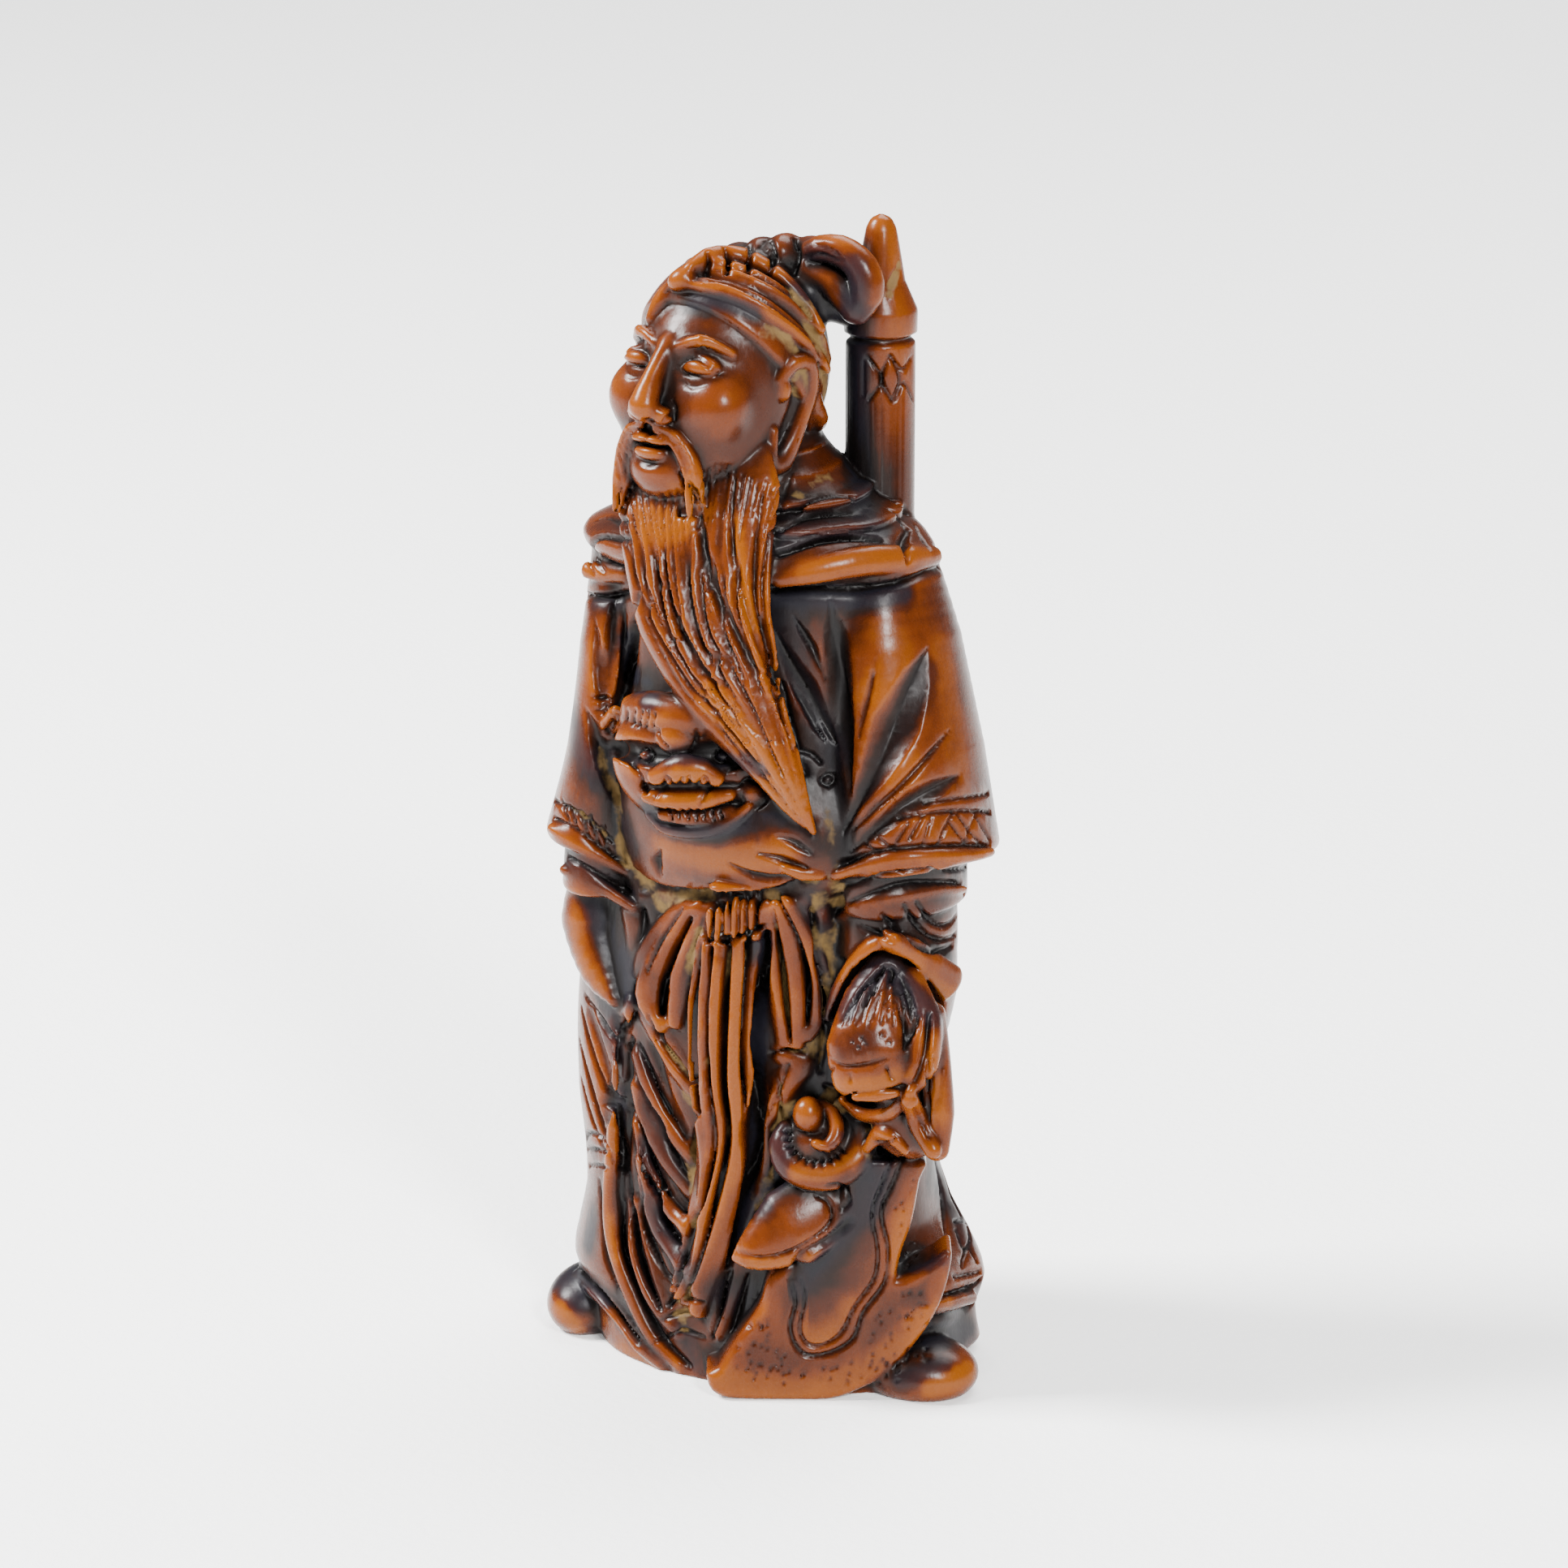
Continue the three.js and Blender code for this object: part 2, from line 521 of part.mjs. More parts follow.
// The crest: lumps along the crown that lead back into a scroll, which meets the halberd's shaft.
function crest() {
  const lumps = [
    [[-3.2, 61.1], 7.2, 1.1],
    [[-1.6, 61.5], 7.1, 1.1],
    [[-0.3, 61.7], 6.8, 1.2],
    [[1, 61.7], 6.4, 1.3],
    [[2.5, 61.1], 5.8, 1.6],
  ];
  const at = (place, near) => sight(place, near).toArray();
  const scroll = (line, near, thick) =>
    limb({ path: line.map((p) => at(p, near)), across: thick, deep: 1, steps: 5, sides: 6, face: FACE });
  const web = [at([2.4, 59.4], 6), at([4.1, 59], 5.2), [5, 3.6, 60.4]];
  const hollow = egg({ at: at([3.5, 61], 8), size: [1.7, 0.9, 0.95], yaw: 25, sides: 8, rows: 5 });
  const mass = egg({ at: at([3.6, 60.4], 6.3), size: [2.2, 1.6, 1.8], yaw: 25, sides: 8, rows: 6 });
  return [
    ...lumps.map(([place, near, r]) => egg({ at: at(place, near), size: [r, 1.4, r * 0.9], sides: 6, rows: 5 })),
    mass.subtract(hollow),
    scroll(SCROLL_OUTER, 6.8, [0.5, 0.8, 0.9, 0.95, 0.8]),
    scroll(SCROLL_INNER, 7, [0.4, 0.6, 0.7, 0.8]),
    limb({ path: web, across: 1.2, deep: 1, steps: 4, sides: 8 }),
  ];
}

function beard() {
  const path = [[-2.9, -5.2, 53.2], [-2.5, -6.6, 51], [-1.5, -7.5, 47.5], [0.2, -7.8, 44], [2.7, -7.9, 40],
    [5.2, -8, 36.4], [6.9, -8.2, 33], [7.5, -8, 31]];
  const wide = [3.7, 4.2, 3.9, 3.4, 2.7, 1.8, 0.9, 0.2];
  const thick = [1, 1.4, 1.6, 1.5, 1.3, 1, 0.7, 0.2];
  const lock = [[1.1, -4.6, 54], [1.5, -5.8, 50.5], [2.1, -6.9, 46.5], [3.6, -7.5, 42]];
  const whole = [
    limb({ path, across: wide, deep: thick, steps: 10, sides: 12 }),
    limb({ path: lock, across: [0.9, 1.7, 1.6, 0.8], deep: [0.9, 1.6, 1.5, 0.8], steps: 5, sides: 8 }),
  ];
  // Each strand is cut where the sight line meets the beard, which bulges between its edges.
  const strand = (k) => {
    const f = (k + 0.5) / STRANDS;
    const line = BEARD_LEFT.map((left, i) => {
      const place = left.map((v, j) => lerp(v, BEARD_RIGHT[i][j], f));
      const [across, up] = place;
      return sight(place, 9.3 + 0.07 * (up - 30) + 0.1 * (across + 2) - 1.6 * (2 * f - 1) ** 2 * (1 - i / 7));
    });
    return limb({
      path: line.slice(0, k % 3 === 1 ? 5 : 6).map((p) => p.toArray()),
      across: [0.1, 0.35, 0.35, 0.3, 0.05],
      deep: [0.3, 0.7, 0.7, 0.6, 0.2],
      sides: 4,
      steps: 3,
      face: FACE,
    });
  };
  return join(whole).subtract(join([...Array(STRANDS).keys()].map(strand)));
}

// The arms: layered sleeves, a forearm in a cuff at the left, and a gloved fist held back at the right.
function arms() {
  const fist = limb({
    path: [[-8.6, -2.6, 28], [-8.8, -3.4, 25.2], [-7.8, -4.8, 22.8], [-6.6, -5.7, 21.4]],
    across: [2, 2.15, 1.4, 0.5],
    deep: [2.5, 2.4, 1.6, 0.8],
    steps: 6,
  });
  const layers = (sleeves, lean) => sleeves.map((rows) => column({ rows, sides: 14, square: 2, lean }));
  const forearm = limb({ ...LEFT_FOREARM, steps: 4, sides: 12 });
  return [...layers(LEFT_SLEEVES, 0.12), ...layers(RIGHT_SLEEVES, -0.12), forearm, fist];
}

// The left hand: wrapped, and closed on the halberd under the cuff's arched rim, beside a hanging strip.
function hand() {
  const held = [
    {
      line: [[[6.8, 21.7], -5.4], [[6.3, 19.8], -6.5], [[5.9, 17.3], -7.5], [[6, 15.6], -7.8]],
      wide: [1.1, 2, 2.5, 2.3], thick: [1, 1.3, 1.5, 1.3],
    },
    {
      line: [[[7.9, 20.7], -5.2], [[8.7, 18.6], -6], [[8.6, 16.4], -6.8], [[7.9, 15.1], -7.3]],
      wide: [0.9, 1.1, 1, 0.7], thick: 1,
    },
    {
      line: [[[9.3, 19.1], -5], [[9.4, 16.4], -5.4], [[9.4, 13.6], -5.8], [[9.1, 11.5], -6.2]],
      wide: [0.7, 0.8, 0.9, 0.7], thick: 0.8,
    },
    { line: [[[7, 14.5], -7.2], [[7, 13.2], -7], [[6.7, 11.8], -7]], wide: [1.4, 1.2, 0.9], thick: 0.9 },
  ];
  return held.map(({ line, wide, thick }) => {
    const path = line.map(([place, y]) => atDepth(place, y));
    return limb({ path, across: wide, deep: thick, steps: 4, sides: 7, face: FACE });
  });
}

// The point on a sight line that is so far back.
function atDepth(place, y) {
  let near = 0;
  for (let i = 0; i < 6; i++) near -= (y - sight(place, near).y) / 0.871;
  return sight(place, near).toArray();
}

// The belt's clasp, a beast's mask, with a rolled brow, a ball of a nose, a snout, a lip and a jaw.
function clasp() {
  const nose = egg({ at: onto([-5.1, 34.7], 0.1), size: [1.15, 1, 1], sides: 7, rows: 6 });
  const face = egg({ ...CLASP, sides: 12, rows: 8 }).subtract(join(CLASP_GROOVES.map((g) => groove(g, 4))));
  return [face, nose, ...CLASP_ROLLS.map(bar)];
}

// The halberd's butt end, which stands up behind the left shoulder: a ringed shaft with a blunt point.
function shaft() {
  const { at, radius: r, foot, rings } = SHAFT;
  const profile = [
    [0, foot],
    [r, foot],
    ...rings.flatMap((z) => [[r, z - 0.25], [r - 0.25, z], [r, z + 0.25]]),
    [r + 0.1, 60],
    [1.35, 61.6],
    [1, 63.4],
    [0.7, 64.6],
    [0, HEIGHT],
  ];
  const lathed = new THREE.LatheGeometry(profile.map(([x, z]) => new THREE.Vector2(x, z)), 10);
  lathed.rotateX(Math.PI / 2);
  lathed.translate(...at, 0);
  return solid(lathed);
}

// The halberd's head: a broad blade, its leaf-shaped spur, and the dragon's mask that holds them.
function blade() {
  const outline = [
    [-3.3, 1.5], [-3, 0.5], [-1.9, 0], [3.6, 0], [5.2, 0.5], [7, 1.6], [8.9, 4], [10, 6.3], [10.4, 8.8],
    [7.4, 7.3], [7.7, 9], [8.6, 13], [8.8, 14.2], [5.2, 14.2], [4, 11.5], [2.5, 9.2],
    [0.4, 7.4], [-0.3, 5.6], [-1.5, 3.7],
  ];
  const bevel = 0.4;
  const slab = new THREE.ExtrudeGeometry(new THREE.Shape(outline.map((p) => new THREE.Vector2(...p))), {
    depth: BLADE.thick - 2 * bevel,
    bevelThickness: bevel,
    bevelSize: bevel,
    bevelOffset: -bevel,
    bevelSegments: 1,
  });
  slab.rotateX(Math.PI / 2);
  slab.translate(0, BLADE.thick / 2 - bevel, 0);
  slab.rotateZ(deg(BLADE.turn));
  slab.translate(...BLADE.at);
  const spur = [[4.6, 9.4, 1.2], [3.4, 8.6, 1.8], [1.4, 7.2, 2.3], [-0.6, 5.9, 2.3], [-1.7, 5.5, 2.1]];
  return [
    solid(slab).subtract(join(BLADE_GROOVES.map((g) => groove(g, 5)))),
    limb({
      path: spur.map(([across, up, near]) => sight([across, up], near).toArray()),
      across: [1.3, 2.2, 2.3, 1.2, 0.3],
      deep: [0.8, 1.2, 1.2, 0.9, 0.3],
      steps: 5,
      sides: 8,
      face: FACE,
    }),
    egg(DRAGON_NECK),
    egg({ at: onto([2.5, 13.5], 0.5), size: [0.95, 1, 0.9], sides: 8, rows: 6 }),
    egg({ at: onto([7, 13.8], 0.2), size: [1.3, 0.8, 0.8], sides: 8, rows: 6 }),
    ...MANE.map(bar),
  ];
}

const boots = () => [
  egg({ at: [-10.4, -1.9, 1.5], size: [2.4, 3.2, 2.1] }),
  egg({ at: [11, -2.9, 0.9], size: [2.8, 3.1, 1.9] }),
];

// The way for a cord: a round tunnel in the back, in at one hole and out at the other.
function cordWay() {
  const r = CORD_HOLE_RADIUS;
  const path = [[-1.8, 11, 37.2], [-1.6, 5.6, 35.6], [-1.2, 3.8, 33.2], [-1.6, 5.6, 30.8], [-1.8, 11, 29.2]];
  return limb({ path, across: r, deep: r, face: [1, 0, 0], steps: 8, sides: 10 });
}

function figure() {
  const cloth = join([...body(), ...arms(), ...COAT_ROLLS.map(bar), ...SASH.map(bar)]);
  const grooves = [...ROBE_GROOVES, ...COAT_GROOVES, ...CAPE_GROOVES, ...LEAVES, ...BELLY_GROOVES];
  const cuts = grooves.map((g) => groove(g));
  const carvedCloth = cloth.subtract(join(cuts));
  const above = [head(), ...cap(), ...crest(), beard(), shaft()];
  const before = [...clasp(), ...CUFF_ROLLS.map(bar), ...hand(), ...blade(), ...boots()];
  const whole = join([carvedCloth, ...above, ...before]);
  const under = new THREE.BoxGeometry(60, 60, 10);
  under.translate(0, 0, -5);
  const cut = whole.subtract(solid(under)).subtract(cordWay()).simplify(SLIVER);
  // The outer skin alone, so that no bubble is left where the parts meet inside the wood.
  const carved = cut.decompose().reduce((big, one) => (one.volume() > big.volume() ? one : big));
  const { numProp, vertProperties, triVerts } = carved.getMesh();
  const geometry = new THREE.BufferGeometry();
  const places = new Float32Array((vertProperties.length / numProp) * 3);
  for (let i = 0; i < places.length / 3; i++) {
    places.set(vertProperties.subarray(i * numProp, i * numProp + 3), i * 3);
  }
  geometry.setAttribute("position", new THREE.BufferAttribute(places, 3));
  geometry.setIndex(new THREE.BufferAttribute(new Uint32Array(triVerts), 1));
  geometry.computeVertexNormals();
  return geometry;
}

const boxwood = new THREE.MeshStandardMaterial({ color: 0x7a3d18, roughness: 0.35, metalness: 0 });
const netsuke = new THREE.Mesh(figure(), boxwood);
netsuke.name = "carved_figure";

const group = new THREE.Group();
group.add(netsuke);
export default group;
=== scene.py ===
"""A carved boxwood netsuke: a bearded general in robes, with a halberd held blade down at the left side.

The figure is cut from one block, as it is by hand. The block is a fine grid of distances to the wood's skin.
The masses are joined and pared in it, the chips and grooves are pressed in, and the skin is then taken off as
a mesh. Carving sizes are millimetres in the CAD part's frame: it faces -Y, with its own left hand at +X.
"""

import math

import bpy
import numpy as np
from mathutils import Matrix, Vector


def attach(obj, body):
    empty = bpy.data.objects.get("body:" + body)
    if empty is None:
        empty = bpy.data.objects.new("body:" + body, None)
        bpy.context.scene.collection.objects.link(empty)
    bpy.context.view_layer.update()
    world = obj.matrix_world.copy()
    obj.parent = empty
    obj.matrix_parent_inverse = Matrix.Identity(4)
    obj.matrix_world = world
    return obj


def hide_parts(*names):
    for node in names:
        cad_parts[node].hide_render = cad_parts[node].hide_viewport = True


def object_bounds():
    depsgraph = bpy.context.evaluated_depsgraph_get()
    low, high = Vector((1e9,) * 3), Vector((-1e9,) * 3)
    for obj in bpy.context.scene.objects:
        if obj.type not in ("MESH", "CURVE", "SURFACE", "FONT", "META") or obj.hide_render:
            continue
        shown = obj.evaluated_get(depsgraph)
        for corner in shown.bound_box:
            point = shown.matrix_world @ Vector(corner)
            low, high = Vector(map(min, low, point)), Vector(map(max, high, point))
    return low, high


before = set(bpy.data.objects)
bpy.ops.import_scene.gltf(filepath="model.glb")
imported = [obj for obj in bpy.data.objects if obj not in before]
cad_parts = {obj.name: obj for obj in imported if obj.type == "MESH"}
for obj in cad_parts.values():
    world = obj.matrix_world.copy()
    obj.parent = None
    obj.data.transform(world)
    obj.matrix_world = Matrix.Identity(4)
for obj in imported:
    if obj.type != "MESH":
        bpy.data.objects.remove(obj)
CAD_LOW, CAD_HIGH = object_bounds()

bl_info = {
    "name": "Boxwood netsuke",
    "version": (1, 0, 0),
    "blender": (4, 5, 0),
    "location": "View3D > Sidebar > Netsuke",
    "description": "Carves and finishes a boxwood figure of a bearded general",
    "category": "Add Mesh",
}

# ---------------------------------------------------------------- sizes and lines

MM = 0.001
FAR = 3.0  # the block's field holds no distance beyond this, in millimetres
SPARE = 0.9  # how far the block reaches past the figure on each side

# The camera, which the drawing board stands square to: its turn and rise in degrees, where it looks, how far
# off it is and its lens.
VIEW_TURN, VIEW_RISE = 25, 16
VIEW_AIM = (0.8651, 0.4034, 33.3)
VIEW_AWAY = 300.0
VIEW_LENS = 122.98

# Where a line of sight starts in front of the board's middle, and its steps back to as far behind it.
SIGHT_START = 14.0
SIGHT_STEP = 0.2

# How far round a point the finish looks for wood: for hollows, and for places that are shut in, where shade
# is painted darker.
HOLLOW_REACH = 0.38
SHADE_REACH = 1.5

SHAFT_PLACE = (5.05, 4.0)
SHAFT_RADIUS = 1.93
HEIGHT = 65.3
CORD_HOLE = 1.3
HEAD_AT = (-1.7, -1.7, 56.9)
HEAD_SIZE = (4.8, 5.4, 6.1)
HEAD_YAW, HEAD_PITCH = -15, -12

# Level sections of the cloth masses: height, centre x, centre y, half width, half depth.
ROBE = [
    (0, 0.6, 0.4, 10.6, 7.6),
    (3, 0.3, 0.4, 10.6, 7.5),
    (8, 0, 0.3, 10.0, 7.2),
    (14, 0, 0.2, 9.7, 7.0),
    (22, 0, 0, 9.2, 6.8),
    (27, 0.3, -0.1, 8.4, 6.3),
    (30, 0.5, -0.4, 8.8, 7.2),
    (33, 0.5, -0.6, 9.0, 7.4),
    (36, 0, -0.3, 8.6, 6.7),
    (40, -0.1, 0, 8.6, 6.3),
    (44, -0.2, 0.1, 8.9, 6.2),
    (47, -0.5, 0.3, 9.0, 6.2),
    (50, -0.7, 0.2, 6.8, 5.4),
    (53, -0.9, 0, 3.9, 4.0),
    (56, -1.3, 0, 3.3, 3.6),
]
COAT = [
    (0.6, 0.5, 1.0, 11.4, 7.7),
    (2.6, 0.3, 1.0, 11.2, 8.0),
    (4.6, 0.1, 1.0, 12.0, 8.1),
    (6.5, -0.1, 1.0, 11.5, 8.0),
    (9, -0.5, 0.9, 10.5, 7.8),
    (15, -1.3, 0.7, 10.1, 7.5),
    (22, -1.0, 0.5, 10.2, 7.2),
    (29, -0.4, 0.3, 9.2, 6.9),
]
# The coat's front edge on the right side: heights, and how far out it is there.
COAT_EDGE = [
    (0.9, -1.6), (2.5, -3.4), (4.7, -5.0), (7.5, -6.6), (10, -6.9), (12.6, -6.7), (20, -5.5), (27, -5.0),
]
CAPE = [
    (46.5, -0.7, 0.2, 9.3, 6.8),
    (47.1, -0.7, 0.2, 9.9, 7.4),
    (48.0, -0.7, 0.2, 9.7, 7.3),
    (49.0, -0.3, 0.2, 8.0, 6.5),
    (50.2, -0.1, 0.1, 6.2, 5.6),
    (51.4, -0.3, 0, 4.6, 4.6),
    (53.0, -0.9, 0, 4.0, 4.1),
]

# What follows is drawn on the board: lines of (across, up), with widths and depths or thicknesses along them.
# A cut is (line, width, depth), and a bar is (line, half width, half thickness, lift off the wood).

CAP_SLOPE = 40
CAP_KNOT = (-4.8, 60.3)
CAP_FOLDS = [
    ([(-6.5, 58.1), (-6.0, 59.0), (-5.3, 59.8), (-4.7, 60.2)], [0.3, 0.45, 0.5, 0.4], 0.5, 0.1),
    ([(-4.5, 60.0), (-3.5, 59.9), (-2.0, 59.5), (-0.6, 58.9), (1.0, 57.8), (2.5, 56.4), (3.2, 55.4)],
     [0.3, 0.5, 0.55, 0.55, 0.5, 0.4, 0.3], 0.6, 0.15),
    ([(-4.5, 60.5), (-3.4, 60.9), (-2.0, 60.6), (-0.3, 59.9), (1.3, 58.9), (2.7, 57.4), (3.3, 55.9)],
     [0.4, 0.7, 0.7, 0.6, 0.5, 0.4, 0.3], 0.55, 0.1),
    ([(-4.4, 60.9), (-3.3, 61.5), (-2.0, 61.5), (-0.7, 61.1), (0.8, 60.2), (2.0, 59.0), (3.0, 57.5)],
     [0.3, 0.6, 0.7, 0.6, 0.5, 0.4, 0.3], 0.5, 0.05),
]
CAP_CUTS = [
    ([(-4.0, 60.3), (-2.5, 60.2), (-0.7, 59.5), (1.0, 58.4), (2.5, 57.0), (3.2, 55.8)], 0.5,
     [0.2, 0.45, 0.5, 0.5, 0.4, 0.2]),
    ([(-3.3, 61.2), (-1.8, 61.0), (-0.2, 60.4), (1.4, 59.4), (2.6, 58.1)], 0.4, [0.1, 0.3, 0.4, 0.4, 0.2]),
    ([(-2.0, 61.5), (-0.5, 60.9), (1.0, 59.9), (2.3, 58.5)], 0.35, [0.1, 0.3, 0.35, 0.1]),
    ([(-3.0, 60.8), (-1.8, 60.5), (-0.9, 60.2)], 0.25, [0.1, 0.15, 0.1]),
    ([(-5.9, 59.3), (-5.2, 60.0)], 0.3, 0.15),
]
# The scarf's lower rim behind the ears: side, front and up on the head.
CAP_RIM_BEHIND = [
    (4.8, -2.0, -0.8), (3.7, -4.0, -2.0), (0.0, -5.5, -2.6), (-3.7, -4.0, -2.0), (-4.8, -2.0, -0.8),
]

CREST_LUMPS = [
    ((-3.8, 60.9), (0.85, 1.2, 0.7), 0.8),
    ((-2.7, 61.3), (0.85, 1.4, 0.8), 0.7),
    ((-1.6, 61.5), (0.95, 1.5, 0.85), 0.8),
    ((-0.3, 61.7), (0.95, 1.5, 0.95), 1.0),
    ((1.0, 61.8), (1.05, 1.5, 1.05), 1.3),
    ((2.5, 61.2), (1.5, 1.5, 1.5), 1.8),
]
CREST_SCROLL = [
    ([(2.0, 61.7), (3.0, 62.0), (4.1, 61.9), (5.0, 61.3), (5.5, 60.5), (5.6, 59.5), (5.1, 58.5)], 1.0,
     [0.5, 0.75, 0.85, 0.9, 0.95, 0.95, 0.75]),
    ([(0.8, 60.8), (2.0, 60.7), (3.1, 60.4), (4.1, 59.6), (4.9, 58.6)], 0.9, [0.4, 0.6, 0.7, 0.8, 0.8]),
]
CREST_CUTS = [
    ([(-3.4, 60.6), (-3.2, 61.3), (-3.3, 61.7)], 0.45, [0.4, 0.5, 0.3]),
    ([(-2.2, 60.8), (-2.1, 61.5), (-2.3, 62.0)], 0.45, [0.4, 0.5, 0.3]),
    ([(-1.0, 60.8), (-0.9, 61.6), (-1.0, 62.2)], 0.45, [0.4, 0.55, 0.3]),
    ([(0.2, 60.7), (0.4, 61.7), (0.2, 62.4)], 0.5, [0.4, 0.55, 0.3]),
    ([(1.5, 60.6), (1.8, 61.7), (1.6, 62.5)], 0.5, [0.4, 0.5, 0.3]),
    ([(-0.4, 62.0), (-0.1, 62.4)], 0.3, 0.2),
    ([(2.0, 61.5), (3.0, 61.7), (4.0, 61.3)], 0.35, [0.1, 0.25, 0.15]),
    ([(2.7, 62.2), (3.5, 62.0), (4.3, 61.3)], 0.3, [0.1, 0.2, 0.1]),
]

BEARD_LEFT = [
    (-8.5, 48.6), (-8.2, 46.3), (-7.7, 43.6), (-7.3, 41.5), (-6.0, 39.2), (-4.6, 37.0), (-2.9, 35.2),
    (-1.1, 33.2), (0.7, 31.1), (2.6, 29.1),
]
BEARD_RIGHT = [
    (1.0, 48.2), (0.5, 46.4), (0.1, 44.1), (0.1, 41.8), (0.5, 39.5), (0.9, 37.5), (1.3, 35.6), (1.8, 33.5),
    (2.4, 31.0), (2.8, 29.1),
]
# The beard's mass: across, up, how far in front, half width and half thickness.
BEARD_MASS = [
    (-3.7, 50.4, 8.7, 4.2, 1.1),
    (-3.8, 48.4, 9.1, 4.9, 1.4),
    (-3.9, 46.3, 9.4, 4.7, 1.6),
    (-3.8, 43.6, 9.6, 4.3, 1.6),
    (-3.5, 41.5, 9.7, 4.1, 1.6),
    (-2.7, 39.2, 9.8, 3.6, 1.5),
    (-1.8, 37.0, 9.9, 3.0, 1.4),
    (-0.8, 35.2, 9.9, 2.3, 1.2),
    (0.4, 33.2, 9.8, 1.6, 1.0),
    (1.5, 31.1, 9.5, 0.9, 0.7),
    (2.6, 29.3, 8.9, 0.2, 0.2),
]
BEARD_TOP = [
    (-8.5, 48.8), (-7.7, 48.4), (-6.6, 48.1), (-5.2, 48.4), (-4.1, 48.8), (-3.0, 49.9), (-2.0, 49.8),
    (-0.7, 49.0), (0.8, 49.1), (1.5, 49.5),
]
BEARD_PARTINGS = [
    ([(-4.1, 48.6), (-3.7, 46.4), (-3.2, 43.6), (-2.0, 40.9), (-0.5, 38.2)],
     [0.4, 0.7, 0.9, 0.8, 0.5], [0.2, 0.5, 0.7, 0.6, 0.3]),
    ([(-1.8, 49.1), (-2.0, 46.4), (-1.5, 43.2), (-0.5, 40.0), (0.6, 37.3)],
     [0.3, 0.5, 0.6, 0.5, 0.3], [0.2, 0.35, 0.45, 0.4, 0.2]),
    ([(-0.2, 48.2), (-0.6, 45.0), (-0.3, 41.4), (0.7, 37.7), (1.8, 34.1)],
     [0.3, 0.5, 0.6, 0.5, 0.3], [0.2, 0.35, 0.4, 0.4, 0.2]),
    ([(-6.6, 46.4), (-5.9, 43.2), (-4.5, 40.0), (-2.7, 37.3), (-0.7, 34.8)],
     [0.2, 0.5, 0.6, 0.5, 0.3], [0.1, 0.3, 0.4, 0.35, 0.2]),
]

CUFF_ROLLS = [
    ([(3.5, 19.1), (4.1, 20.4), (4.9, 21.7), (6.0, 22.9), (6.9, 23.3)],
     [0.35, 0.55, 0.6, 0.65, 0.6], [0.5, 0.7, 0.8, 0.8, 0.7], 0.2),
    ([(6.9, 23.3), (7.9, 22.5), (9.0, 21.6), (10.1, 20.9)], [0.6, 1.0, 1.15, 1.1], [0.7, 0.8, 0.8, 0.7], 0.0),
]
CUFF_MOUTH = [(4.0, 19.0), (5.0, 20.7), (5.9, 21.8), (6.8, 22.1), (8.2, 20.7), (9.6, 19.2)]
HAND_LINES = [
    ([((6.8, 22.1), -5.0), ((6.3, 19.8), -6.5), ((5.9, 17.3), -7.5), ((6.0, 15.6), -7.8)],
     [1.0, 2.0, 2.5, 2.3], [1.0, 1.3, 1.5, 1.3]),
    ([((7.9, 21.0), -5.0), ((8.7, 18.6), -6.0), ((8.6, 16.4), -6.8), ((7.9, 15.1), -7.3)],
     [0.9, 1.1, 1.0, 0.7], [0.9, 1.0, 1.0, 0.7]),
    ([((9.3, 19.1), -5.0), ((9.5, 16.4), -5.4), ((9.6, 13.6), -5.8), ((9.5, 11.5), -6.2)],
     [0.7, 0.8, 0.9, 0.7], [0.8, 0.8, 0.8, 0.6]),
]
